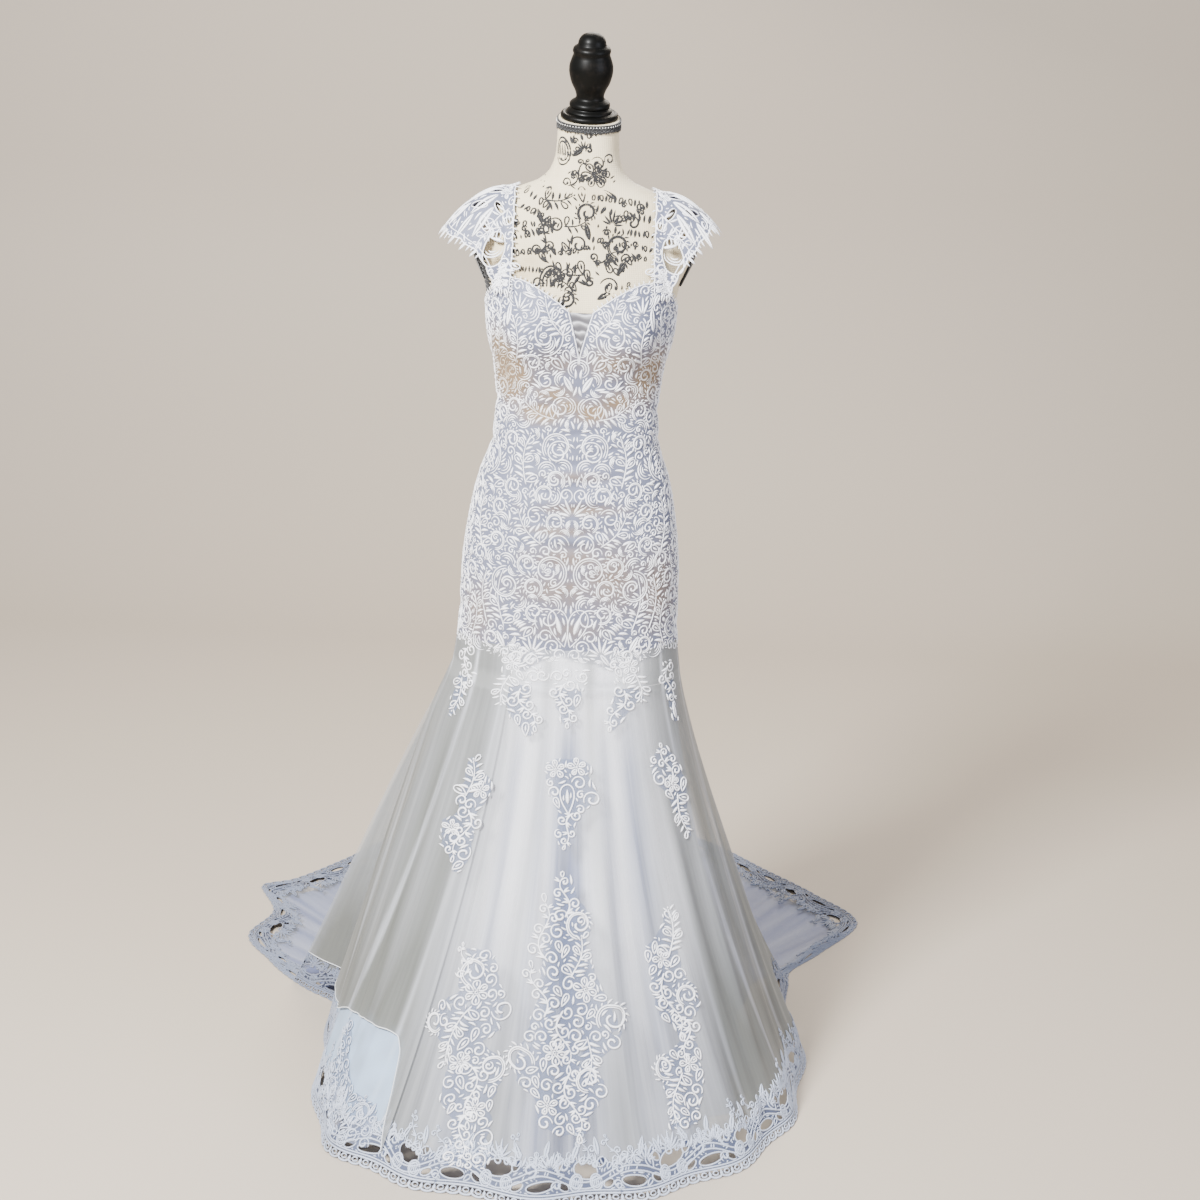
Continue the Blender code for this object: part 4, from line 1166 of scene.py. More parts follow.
@dataclass(frozen=True)
class LaceGround(Finish):
    """Embroidered net over a lining: dark with painted shade between the cords, champagne and painted shade
    where the lining shows, grey where it is bare.
    """

    lining_and_shade_tone: str = "#7A6650"
    net: str = "#F0F0F3"
    layered_grey_and_shade: str = "#C6C8C5"

    def dress(self, tree: bpy.types.NodeTree, shader: bpy.types.Node) -> None:
        """Blends in the champagne lining with its painted shade, and the bare net, and adds the stitches."""
        where = self.place(tree)
        lining_and_shade = add_node(tree, "Attribute", {"attribute_name": "lining_and_shade"}).outputs["Fac"]
        bare = add_node(tree, "Attribute", {"attribute_name": "bare"}).outputs["Fac"]
        # The lining and its painted shade show in patches of about 12 mm between the embroidered figures.
        patches = add_node(tree, "TexNoise", {"Scale": 80.0, "Detail": 3.0, "Roughness": 0.6}, Vector=where)
        mixed = add_node(tree, "Math", {"operation": "MULTIPLY_ADD", 1: 0.5}, Value=patches.outputs["Fac"])
        tree.links.new(lining_and_shade, mixed.inputs[2])
        lined = add_node(tree, "MapRange", {"From Min": 0.35, "From Max": 1.05}, Value=mixed.outputs[0])
        colours = {"data_type": "RGBA", 6: linear(self.colour), 7: linear(self.lining_and_shade_tone)}
        blend = add_node(tree, "Mix", colours, Factor=lined.outputs["Result"])
        layers_and_shade = add_node(tree, "Attribute", {"attribute_name": "layers_and_shade"}).outputs["Fac"]
        colours = {"data_type": "RGBA", 6: linear(self.net), 7: linear(self.layered_grey_and_shade)}
        tulle = add_node(tree, "Mix", colours, Factor=layers_and_shade)
        plain_net = add_node(tree, "Mix", {"data_type": "RGBA"}, Factor=bare)
        tree.links.new(blend.outputs[2], plain_net.inputs[6])
        tree.links.new(tulle.outputs[2], plain_net.inputs[7])
        tree.links.new(plain_net.outputs[2], shader.inputs["Base Color"])
        shader.inputs["Sheen Weight"].default_value = 0.1
        shader.inputs["Sheen Roughness"].default_value = 0.4
        # Stitches are 0.4 mm threads. They are drawn 1.6 mm wide, so that they show.
        stitches = add_node(tree, "TexVoronoi", {"Scale": 620.0}, Vector=where)
        self.bump(tree, shader, stitches.outputs["Distance"], 0.4 * MM, 0.5)


@dataclass(frozen=True)
class LaceCord(Finish):
    """Rayon cord: twisted, bright and a little glossy, and darkened with painted shade where the cloth under
    it is shaded.
    """

    painted_shade: str = "#AE9F8C"

    def dress(self, tree: bpy.types.NodeTree, shader: bpy.types.Node) -> None:
        """Blends in the painted shade under the cord, and adds its twist and its soft gloss."""
        lining_and_shade = add_node(tree, "Attribute", {"attribute_name": "lining_and_shade"}).outputs["Fac"]
        colours = {"data_type": "RGBA", 6: linear(self.colour), 7: linear(self.painted_shade)}
        blend = add_node(tree, "Mix", colours, Factor=lining_and_shade)
        tree.links.new(blend.outputs[2], shader.inputs["Base Color"])
        along = add_node(tree, "Attribute", {"attribute_name": "along"}).outputs["Fac"]
        # The cord's real twist is one turn in 1 mm. It is drawn at one in 2.5 mm.
        turns = add_node(tree, "Math", {"operation": "MULTIPLY", 1: math.tau / 0.0025}, Value=along)
        twist = add_node(tree, "Math", {"operation": "SINE"}, Value=turns.outputs[0])
        self.bump(tree, shader, twist.outputs[0], 0.25 * MM, 0.5)
        shader.inputs["Sheen Weight"].default_value = 0.3
        shader.inputs["Coat Weight"].default_value = 0.15
        shader.inputs["Coat Roughness"].default_value = 0.35


@dataclass(frozen=True)
class BridalTulle(Finish):
    """Sheer nylon net, 20 denier: greyish where it hangs in several layers and where painted shade falls,
    denser in long streaks.
    """

    satin: str = "#9BB1CC"  # of the satin hem that is folded out over the net, blue-grey with painted shade
    thin: float = 0.18
    dense: float = 0.46
    layered_grey_and_shade: str = "#676965"

    def dress(self, tree: bpy.types.NodeTree, shader: bpy.types.Node) -> None:
        """Makes the net sheer, with long streaks, and thicker and greyer with painted shade at the sides and
        towards the hem.
        """
        around = add_node(tree, "Attribute", {"attribute_name": "around"}).outputs["Fac"]
        down = add_node(tree, "Attribute", {"attribute_name": "down"}).outputs["Fac"]
        layers_and_shade = add_node(tree, "Attribute", {"attribute_name": "layers_and_shade"}).outputs["Fac"]
        # Gathers are 6 to 30 mm apart and run all the way down.
        where = add_node(tree, "CombineXYZ", {}, X=around, Y=down)
        noise = {"Scale": 1.0, "Detail": 4.0, "Roughness": 0.6}
        streaks = add_node(tree, "TexNoise", noise, Vector=where.outputs[0])
        sizes = {"From Min": 0.3, "From Max": 0.7, "To Min": self.thin, "To Max": self.dense}
        alpha = add_node(tree, "MapRange", sizes, Value=streaks.outputs["Fac"])
        gain = {"operation": "MULTIPLY_ADD", "use_clamp": True, 1: 0.46}
        total = add_node(tree, "Math", gain, Value=layers_and_shade)
        tree.links.new(alpha.outputs["Result"], total.inputs[2])
        seam = add_node(tree, "Attribute", {"attribute_name": "seam"}).outputs["Fac"]
        closed = add_node(tree, "Math", {"operation": "ADD", "use_clamp": True}, Value=total.outputs[0])
        tree.links.new(seam, closed.inputs[1])
        tree.links.new(closed.outputs[0], shader.inputs["Alpha"])
        colours = {"data_type": "RGBA", 6: linear(self.colour), 7: linear(self.layered_grey_and_shade)}
        blend = add_node(tree, "Mix", colours, Factor=layers_and_shade)
        folded = add_node(tree, "Attribute", {"attribute_name": "folded"}).outputs["Fac"]
        satin = add_node(tree, "Mix", {"data_type": "RGBA", 7: linear(self.satin)}, Factor=folded)
        tree.links.new(blend.outputs[2], satin.inputs[6])
        tree.links.new(satin.outputs[2], shader.inputs["Base Color"])
        # The holes of the net are 1.2 mm. They are drawn as a faint grain of 3 mm.
        grain = add_node(tree, "TexVoronoi", {"Scale": 330.0}, Vector=self.place(tree))
        self.bump(tree, shader, grain.outputs["Distance"], 0.4 * MM, 0.35)
        shader.inputs["Sheen Weight"].default_value = 0.25
        shader.inputs["Sheen Roughness"].default_value = 0.35


@dataclass(frozen=True)
class LiningSatin(Finish):
    """Polyester satin: white with a broad soft gloss, with lavender painted shade where its folds turn from
    the light, on the train and towards the hem.
    """

    shade: str = "#5E688C"

    def dress(self, tree: bpy.types.NodeTree, shader: bpy.types.Node) -> None:
        """Blends in the painted shade and adds the weave."""
        where = self.place(tree)
        painted_satin_shade = add_node(tree, "Attribute", {"attribute_name": "painted_satin_shade"}).outputs["Fac"]
        # The painted shade wanders over a hand's width.
        clouds = add_node(tree, "TexNoise", {"Scale": 9.0, "Detail": 2.0}, Vector=where)
        mixed = add_node(tree, "Math", {"operation": "MULTIPLY_ADD", 1: 0.35}, Value=clouds.outputs["Fac"])
        tree.links.new(painted_satin_shade, mixed.inputs[2])
        depth = add_node(tree, "MapRange", {"From Min": 0.12, "From Max": 1.1}, Value=mixed.outputs[0])
        colours = {"data_type": "RGBA", 6: linear(self.colour), 7: linear(self.shade)}
        blend = add_node(tree, "Mix", colours, Factor=depth.outputs["Result"])
        tree.links.new(blend.outputs[2], shader.inputs["Base Color"])
        # Threads are 0.15 mm. Their floats are drawn 1.5 mm long.
        weave = add_node(tree, "TexNoise", {"Scale": 640.0, "Detail": 1.0}, Vector=where)
        self.bump(tree, shader, weave.outputs["Fac"], 0.15 * MM, 0.4)
        shader.inputs["Sheen Weight"].default_value = 0.1


@dataclass(frozen=True)
class NetInset(Finish):
    """Illusion net in pressed folds: grey, whiter along the folds."""

    fold: str = "#D9D9DC"

    def dress(self, tree: bpy.types.NodeTree, shader: bpy.types.Node) -> None:
        """Whitens the folds and adds the net."""
        ridge = add_node(tree, "Attribute", {"attribute_name": "ridge"}).outputs["Fac"]
        mixed = add_node(tree, "MapRange", {"From Min": 0.0, "From Max": 1.0}, Value=ridge)
        colours = {"data_type": "RGBA", 6: linear(self.colour), 7: linear(self.fold)}
        blend = add_node(tree, "Mix", colours, Factor=mixed.outputs["Result"])
        tree.links.new(blend.outputs[2], shader.inputs["Base Color"])
        # The net's holes are 1 mm.
        net = add_node(tree, "TexVoronoi", {"Scale": 1000.0}, Vector=self.place(tree))
        self.bump(tree, shader, net.outputs["Distance"], 0.3 * MM, 0.5)


@dataclass(frozen=True)
class LinenCover(Finish):
    """Unbleached linen: plain weave with slubs, and a little foxed with age."""

    shade: str = "#BFAE8B"

    def dress(self, tree: bpy.types.NodeTree, shader: bpy.types.Node) -> None:
        """Adds the foxing and the weave."""
        foxing = add_node(tree, "TexNoise", {"Scale": 14.0, "Detail": 5.0}, Vector=self.place(tree))
        mixed = add_node(tree, "MapRange", {"From Min": 0.28, "From Max": 0.56}, Value=foxing.outputs["Fac"])
        colours = {"data_type": "RGBA", 6: linear(self.shade), 7: linear(self.colour)}
        blend = add_node(tree, "Mix", colours, Factor=mixed.outputs["Result"])
        tree.links.new(blend.outputs[2], shader.inputs["Base Color"])
        # Threads are 0.6 mm apart. The weave is drawn at 1.4 mm, level and upright threads with slubs.
        both = add_node(tree, "Math", {"operation": "ADD"})
        for number, axis in enumerate("ZX"):
            bands = {"bands_direction": axis, "Scale": 115.0, "Distortion": 1.5, "Detail": 2.0}
            threads = add_node(tree, "TexWave", bands, Vector=self.place(tree))
            tree.links.new(threads.outputs["Fac"], both.inputs[number])
        self.bump(tree, shader, both.outputs[0], 0.25 * MM, 0.6)
        shader.inputs["Sheen Weight"].default_value = 0.15


@dataclass(frozen=True)
class BlackLacquer(Finish):
    """Black satin lacquer on turned beech, rubbed to brown on its edges."""

    rubbed: str = "#1A1613"

    def dress(self, tree: bpy.types.NodeTree, shader: bpy.types.Node) -> None:
        """Adds the rubbed places and the brush marks."""
        shader.inputs["Specular IOR Level"].default_value = 0.08
        # Wear shows in patches of 15 mm.
        noise = {"Scale": 60.0, "Detail": 6.0, "Roughness": 0.65}
        wear = add_node(tree, "TexNoise", noise, Vector=self.place(tree))
        mixed = add_node(tree, "MapRange", {"From Min": 0.5, "From Max": 0.8}, Value=wear.outputs["Fac"])
        colours = {"data_type": "RGBA", 6: linear(self.colour), 7: linear(self.rubbed)}
        blend = add_node(tree, "Mix", colours, Factor=mixed.outputs["Result"])
        tree.links.new(blend.outputs[2], shader.inputs["Base Color"])
        # Lathe and brush marks are level rings 1 mm apart.
        level = self.place(tree, (20, 20, 900))
        rings = add_node(tree, "TexNoise", {"Scale": 1.0, "Detail": 2.0}, Vector=level)
        self.bump(tree, shader, rings.outputs["Fac"], 0.12 * MM, 0.5)
        shader.inputs["Coat Weight"].default_value = 0.02
        shader.inputs["Coat Roughness"].default_value = 0.2


@dataclass(frozen=True)
class BlackBraid(Finish):
    """Black cotton gimp: matt, with a close twist."""

    def dress(self, tree: bpy.types.NodeTree, shader: bpy.types.Node) -> None:
        """Adds the twisted threads."""
        # Threads are 0.5 mm, drawn 1 mm.
        threads = add_node(tree, "TexVoronoi", {"Scale": 900.0}, Vector=self.place(tree))
        self.bump(tree, shader, threads.outputs["Distance"], 0.4 * MM, 0.8)
        shader.inputs["Sheen Weight"].default_value = 0.2


@dataclass(frozen=True)
class StudioFloor(Finish):
    """A plain pale painted floor."""

    def dress(self, tree: bpy.types.NodeTree, shader: bpy.types.Node) -> None:
        """Adds the faint unevenness of the paint."""
        paint_marks = add_node(tree, "TexNoise", {"Scale": 30.0, "Detail": 2.0}, Vector=self.place(tree))
        self.bump(tree, shader, paint_marks.outputs["Fac"], 0.2 * MM, 0.2)


# The lace grounds are darkened with painted shade between the cords.
LACE = LaceGround("embroidered_lace_over_lining_with_painted_shade", "lace", "#64687C", 0.62)
CORD = LaceCord("rayon_lace_cord", "lace", "#FBFBFF", 0.40)
# The hem's lace and cords are darkened blue-grey with painted shade, as they lie near the floor.
HEM_LACE = LaceGround("embroidered_lace_of_the_hem_with_painted_shade", "lace", "#485068", 0.62, lining_and_shade_tone="#2C3246")
HEM_CORD = LaceCord("rayon_cord_of_the_hem_with_painted_shade", "lace", "#B9C2D4", 0.40, painted_shade="#5C657C")
TULLE = BridalTulle("nylon_bridal_tulle", "tulle", "#D9DCE3", 0.75)
TULLE_EDGE = LaceCord("rolled_tulle_edge", "tulle", "#E4E7EA", 0.6)
# The sprays' backing net is dark blue-grey: its own net, with painted shade between the cords.
SHADED_SPRAY_NET = BridalTulle("lace_backing_net_with_painted_shade", "lace", "#727D99", 0.8, thin=0.47, dense=0.47)
SATIN = LiningSatin("polyester_satin_lining", "satin", "#FCFBFC", 0.42)
INSET = NetInset("illusion_net_in_folds", "illusion", "#504E52", 0.7)
LINEN = LinenCover("unbleached_linen", "linen", "#DCCDAC", 0.88)
INK = BlackBraid("faded_black_ink", "linen", "#161413", 0.85)
LACQUER = BlackLacquer("black_lacquered_beech", "black_wood", "#070706", 0.42)
BRAID = BlackBraid("black_cotton_gimp", "black_braid", "#0C0B0B", 0.85)
BEAD = LaceCord("white_thread_knots", "black_braid", "#F2F0EA", 0.35)
FLOOR = StudioFloor("pale_painted_floor", "", "#B7AB9B", 0.6)


# ---- The dress form --------------------------------------------------------------------------
@dataclass
class DressForm:
    """The limbless form: its linen cover, the trim of its neck, its knob and its stand."""

    body: BodyShape
    step: float = 3.0  # degrees between the cover's columns
    trim_low: float = 1.5215  # the height of the neck trim's lower edge
    neck_radius: float = 0.0455
    armhole_depth: float = 0.9 * MM

    def build(self) -> None:
        """Builds the pieces of the form that replace plain ones, and dresses the others."""
        self.cover()
        self.prints()
        self.armhole_braid()
        self.neck_trim()
        self.wood()
        for node, finish in (("armhole_cover_left", BRAID), ("armhole_cover_right", BRAID),
                             ("stand_pole", LACQUER), ("stand_base", LACQUER)):
            frame["nodes"][node].data.materials.clear()
            frame["nodes"][node].data.materials.append(finish.material())

    def cover(self) -> None:
        """The linen body, closed above and below, with a finer outline than its solid."""
        below, shoulders = np.arange(0.705, 1.30, 0.03), np.arange(1.30, 1.47, 0.008)
        heights = np.concatenate([below, shoulders, np.linspace(1.47, self.body.neck_top, 9)])
        angles = np.arange(-180, 180, self.step)
        points, normals = self.body.form(angles[:, None], heights[None, :])
        # pulled in under the armhole covers, so that it stays behind them
        under = eased(-np.abs(angles), -126, -114) * eased(np.abs(angles), 54, 66)
        under = under[:, None] * (eased(heights, 1.280, 1.300) * eased(-heights, -1.425, -1.405))[None, :]
        points = points - normals * (self.armhole_depth * under)[..., None]
        columns, rows = points.shape[:2]
        index = np.arange(columns * rows).reshape(columns, rows)
        turned = np.roll(index, -1, axis=0)
        quads = np.stack([index[:, :-1], turned[:, :-1], turned[:, 1:], index[:, 1:]], -1).reshape(-1, 4)
        centres = [points[:, 0].mean(axis=0), points[:, -1].mean(axis=0)]
        vertices = np.concatenate([points.reshape(-1, 3), centres])
        low, high = len(vertices) - 2, len(vertices) - 1
        faces = quads.tolist()
        faces += [[int(turned[c, 0]), int(index[c, 0]), low] for c in range(columns)]
        faces += [[int(index[c, -1]), int(turned[c, -1]), high] for c in range(columns)]
        obj = new_piece("form_cover", vertices, faces, LINEN.slot, LINEN.material(), sharp=50)
        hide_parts("form_body")

    flourishes = (  # ornament printed on the chest and neck, x from the centre front and y up from the floor
        Place(Motif.SCROLL, -16, 1262, 20, 40), Place(Motif.LEAF, 22, 1284, -60, 26),
        Place(Motif.VINE, -66, 1296, -64, 58), Place(Motif.CURL, 26, 1306, -20, 30),
        Place(Motif.MEDALLION, -46, 1284, 0, 44), Place(Motif.MEDALLION, -40, 1470, 10, 42),
        Place(Motif.FROND, 4, 1318, 74, 50, True), Place(Motif.LEAF, 50, 1318, -30, 24),
        Place(Motif.SCROLL, 54, 1342, 10, 36), Place(Motif.CURL, -20, 1352, 30, 28),
        Place(Motif.VINE, -66, 1346, -20, 46), Place(Motif.LEAF, 8, 1366, 16, 26),
        Place(Motif.FAN, 40, 1388, -10, 22), Place(Motif.CURL, -50, 1392, -40, 22),
        Place(Motif.VINE, -28, 1440, -40, 44), Place(Motif.FLOWER, 20, 1444, 0, 24),
        Place(Motif.LEAF, -24, 1484, -50, 24), Place(Motif.CURL, 6, 1480, -30, 24),
        Place(Motif.FAN, -6, 1496, 20, 16), Place(Motif.FROND, 36, 1294, -70, 34),
        Place(Motif.VINE, 14, 1338, -76, 40), Place(Motif.SCROLL, -2, 1390, -20, 30),
        Place(Motif.LEAF, -62, 1386, 20, 22), Place(Motif.FLOWER, 22, 1440, 30, 40),
        Place(Motif.FROND, -30, 1384, -70, 34), Place(Motif.CURL, 60, 1390, 10, 22),
        Place(Motif.FROND, -62, 1420, -76, 44), Place(Motif.LEAF, 46, 1424, 60, 24),
        Place(Motif.DROP, -4, 1418, 10, 22), Place(Motif.CURL, 28, 1476, 30, 20),
        Place(Motif.FROND, -12, 1292, 60, 32), Place(Motif.GRAIN, -30, 1300, 0, 5),
        Place(Motif.GRAIN, 36, 1344, 0, 5), Place(Motif.GRAIN, -8, 1346, 0, 5),
    )

    rows = (  # printed rows of small leaves and dots: x, y, length, slope in degrees and size
        (-98, 1432, 52, -34, 11), (-96, 1406, 62, -24, 10), (-101, 1378, 58, 6, 10), (-99, 1362, 60, 12, 12),
        (-62, 1328, 62, 34, 16), (-104, 1340, 92, 4, 10), (-99, 1318, 62, -2, 9), (12, 1421, 82, -6, 11),
        (8, 1405, 94, -9, 13), (20, 1379, 82, -6, 11), (14, 1363, 86, -8, 10), (26, 1335, 66, 3, 9),
        (8, 1308, 62, 30, 17), (-22, 1284, 44, 34, 15), (54, 1318, 44, 40, 14), (-42, 1474, 58, 26, 13),
        (-36, 1502, 70, 18, 13), (-30, 1456, 34, -16, 9), (-10, 1444, 34, 8, 9), (28, 1462, 26, -50, 12),
        (-58, 1294, 26, 60, 9), (62, 1396, 32, 30, 9), (-4, 1352, 18, 0, 8), (-88, 1448, 40, -30, 9),
    )

    def leafy_rows(self, work: LaceWork) -> list[Stroke]:
        """The rows of small leaves, drops and dots between the flourishes."""
        kinds = (
            Motif.COMMA, Motif.DROP, Motif.GRAIN, Motif.LEAF, Motif.COMMA, Motif.CURL, Motif.LEAF, Motif.DROP,
        )
        chance = random.Random(9)
        strokes = []
        for x, y, length, slope, size in self.rows:
            for at in np.arange(0, length, 0.56 * size):
                kind = chance.choice(kinds)
                tall = size * (0.5 if kind == Motif.GRAIN else chance.uniform(0.8, 1.05))
                across, up = np.cos(np.radians(slope)) * at, np.sin(np.radians(slope)) * at
                turn = slope + chance.choice((-22, 0, 0, 18, 180))
                foot = 0.9 * size if abs(turn - slope) > 90 else 0.0
                mirror = chance.random() < 0.5
                strokes += Place(kind, x + across, y + up + foot, turn, tall, mirror).strokes(work)
        return strokes

    def prints(self) -> None:
        """Flourishes printed in ink on the linen where the neckline leaves it bare."""
        chart = BodyChart(self.body, 1.24, 1.53)

        def on_linen(x: Array, y: Array) -> tuple[Array, Array]:
            """The linen by the distance across from the centre front and the height."""
            return self.body.form(chart.angle(x, y), y)

        work = LaceWork(half_width=1.25 * MM, step=2.4 * MM)
        strokes = [s for place in self.flourishes for s in place.strokes(work)] + self.leafy_rows(work)
        obj = sew_cords("form_cover_flourishes", strokes, on_linen, INK, height=0.12)
        log.info("%s: %d strokes", obj.name, len(strokes))

    def armhole_braid(self) -> None:
        """Rows of wide braid on the linen beside the left armhole, laid out by angle and height."""
        along = np.arange(8)
        strokes = [
            Stroke(np.stack([-72.0 - 5 * along, height + 0.8 * MM * along], -1), np.full(8, 4.0 * MM))
            for height in np.arange(1.264, 1.352, 0.0066)
        ]
        sew_cords("armhole_braid", strokes, self.body.form, BRAID, height=0.5)
        log.info("armhole_braid: %d rows", len(strokes))

    def neck_trim(self) -> None:
        """The gimp round the neck: a band, two plaited cords, white knots and a ragged lower edge."""
        band = self.body.form
        angles = np.arange(-180, 180.1, 3.0)
        heights = np.linspace(self.trim_low + 1.5 * MM, self.body.neck_top, 4)
        points, normals = band(angles[:, None], heights[None, :])
        points[-1], normals[-1] = points[0], normals[0]
        grid = ClothGrid(points + normals * 0.4 * MM, normals)
        vertices, faces, _ = grid.wall(1.4 * MM)
        obj = new_piece("neck_gimp", vertices, faces, BRAID.slot, BRAID.material())
        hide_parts("neck_trim")

        def around(x: Array, y: Array) -> tuple[Array, Array]:
            """The trim's outer face by the distance round the neck and the height."""
            points, normals = band(np.degrees(x / self.neck_radius), y)
            return points + normals * 1.8 * MM, normals

        reach = math.pi * self.neck_radius
        x = np.linspace(-reach, reach, 181)
        plait = LaceWork(half_width=1.0 * MM, step=1.6 * MM)
        middle = (self.trim_low + self.body.neck_top) / 2 + 0.5 * MM
        strokes = []
        for phase in (0.0, math.pi):
            wave = middle - 1.2 * MM + 2.6 * MM * np.sin(x / (1.3 * MM) * 0.62 + phase)
            strokes.append(Stroke(np.stack([x, wave], -1), np.full(len(x), 0.9 * MM)))
        for height in (self.body.neck_top - 1.2 * MM, self.trim_low + 2.4 * MM):
            strokes.append(plait.cord(np.array([(-reach, height), (reach, height)])))
        ragged = random.Random(5)
        start = self.trim_low + 2.5 * MM
        for at in np.arange(-reach, reach, 2.2 * MM):
            drop = ragged.uniform(2.0, 4.6) * MM
            line = np.array([(at, start), (at + ragged.uniform(-1, 1) * MM, start - drop)])
            strokes.append(plait.cord(line, 1.2, 0.5))
        sew_cords("neck_gimp_plait", strokes, around, BRAID)
        knots = LaceWork(half_width=0.75 * MM)
        dots = []
        for at in np.arange(-reach, reach, 4.4 * MM):
            dots += [s.placed((at, self.body.neck_top - 3.6 * MM), -90) for s in knots.grain(1.7 * MM)]

        def over(x: Array, y: Array) -> tuple[Array, Array]:
            """A little over the trim, for the knots."""
            points, normals = around(x, y)
            return points + normals * 0.7 * MM, normals

        sew_cords("neck_gimp_knots", dots, over, BEAD)

    def wood(self) -> None:
        """The lacquered knob and its plate, turned finely, which lean with the neck's top."""
        top = (self.body.point(0, self.body.neck_top) + self.body.point(180, self.body.neck_top)) / 2
        lean = self.body.neck_slant
        up = np.array([0.0, -math.sin(lean), math.cos(lean)])
        knob = (
            (0.0, 0.1220), (0.0080, 0.1212), (0.0150, 0.1180), (0.0195, 0.1115), (0.0208, 0.1040),
            (0.0260, 0.1015), (0.0280, 0.0965), (0.0262, 0.0915), (0.0285, 0.0860), (0.0318, 0.0760),
            (0.0320, 0.0650), (0.0285, 0.0510), (0.0225, 0.0400), (0.0200, 0.0320), (0.0210, 0.0275),
            (0.0290, 0.0225), (0.0300, 0.0175), (0.0275, 0.0145), (0.0325, 0.0120), (0.0335, 0.0088),
            (0.0, 0.0088),
        )
        plate = (
            (0.0, 0.0085), (0.0345, 0.0085), (0.0352, 0.0078), (0.0362, 0.0078), (0.0372, 0.0084),
            (0.0398, 0.0076), (0.0415, 0.0058), (0.0420, 0.0036), (0.0420, 0.0006), (0.0414, 0.0),
            (0.0, 0.0),
        )
        sine, cosine = math.sin(lean), math.cos(lean)
        spin = np.array([[1, 0, 0], [0, cosine, -sine], [0, sine, cosine]])
        for name, profile in (("finial", self.rounded(knob)), ("neck_plate", plate)):
            obj = turned_profile(name + "_turned", profile, 48, LACQUER.slot, LACQUER.material())
            stood = places_of(obj) @ spin.T + (top + up * SEAM_GAP)
            obj.data.vertices.foreach_set("co", stood.ravel())
            obj.data.update()
            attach(obj, "root")
            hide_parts(name)

    @staticmethod
    def rounded(profile: Sequence[tuple[float, float]]) -> list[tuple[float, float]]:
        """A profile with a point more on each stretch, so that its curves are rounder."""
        points = [profile[0]]
        for i in range(1, len(profile) - 1):
            before, here, after = (np.array(profile[j]) for j in (i - 1, i, i + 1))
            points += [tuple(here + (before - here) * 0.22), tuple(here + (after - here) * 0.22)]
        return [*points, profile[-1]]


# ---- Bodice and hips -------------------------------------------------------------------------
def area_of(points: Array, kept: Array | None = None) -> float:
    """The area of a grid of points in square metres, or of the cells of it that are kept."""
    a = np.diff(points, axis=0)[:, :-1]
    b = np.diff(points, axis=1)[:-1]
    cells = np.linalg.norm(np.cross(a, b), axis=-1)
    return float(cells.sum() if kept is None else cells[kept].sum())


def spans_of(points: Array) -> tuple[float, float]:
    """A grid's greatest width and length along the cloth, in metres."""
    width, length = (np.linalg.norm(np.diff(points, axis=i), axis=-1).sum(axis=i).max() for i in (0, 1))
    return float(width), float(length)


def notch_opening(height: Array) -> Array:
    """The angle from the centre front to the notch's edge at a height."""
    return NOTCH_ANGLE * (height - NOTCH_POINT) / (NOTCH_TOP - NOTCH_POINT)


@dataclass(frozen=True)
class LiningAndShade:
    """A place where the champagne lining shows through the lace, with painted shade, strongest beside the
    bust.
    """

    angle: float
    height: float
    half_angle: float
    half_height: float
    strength: float


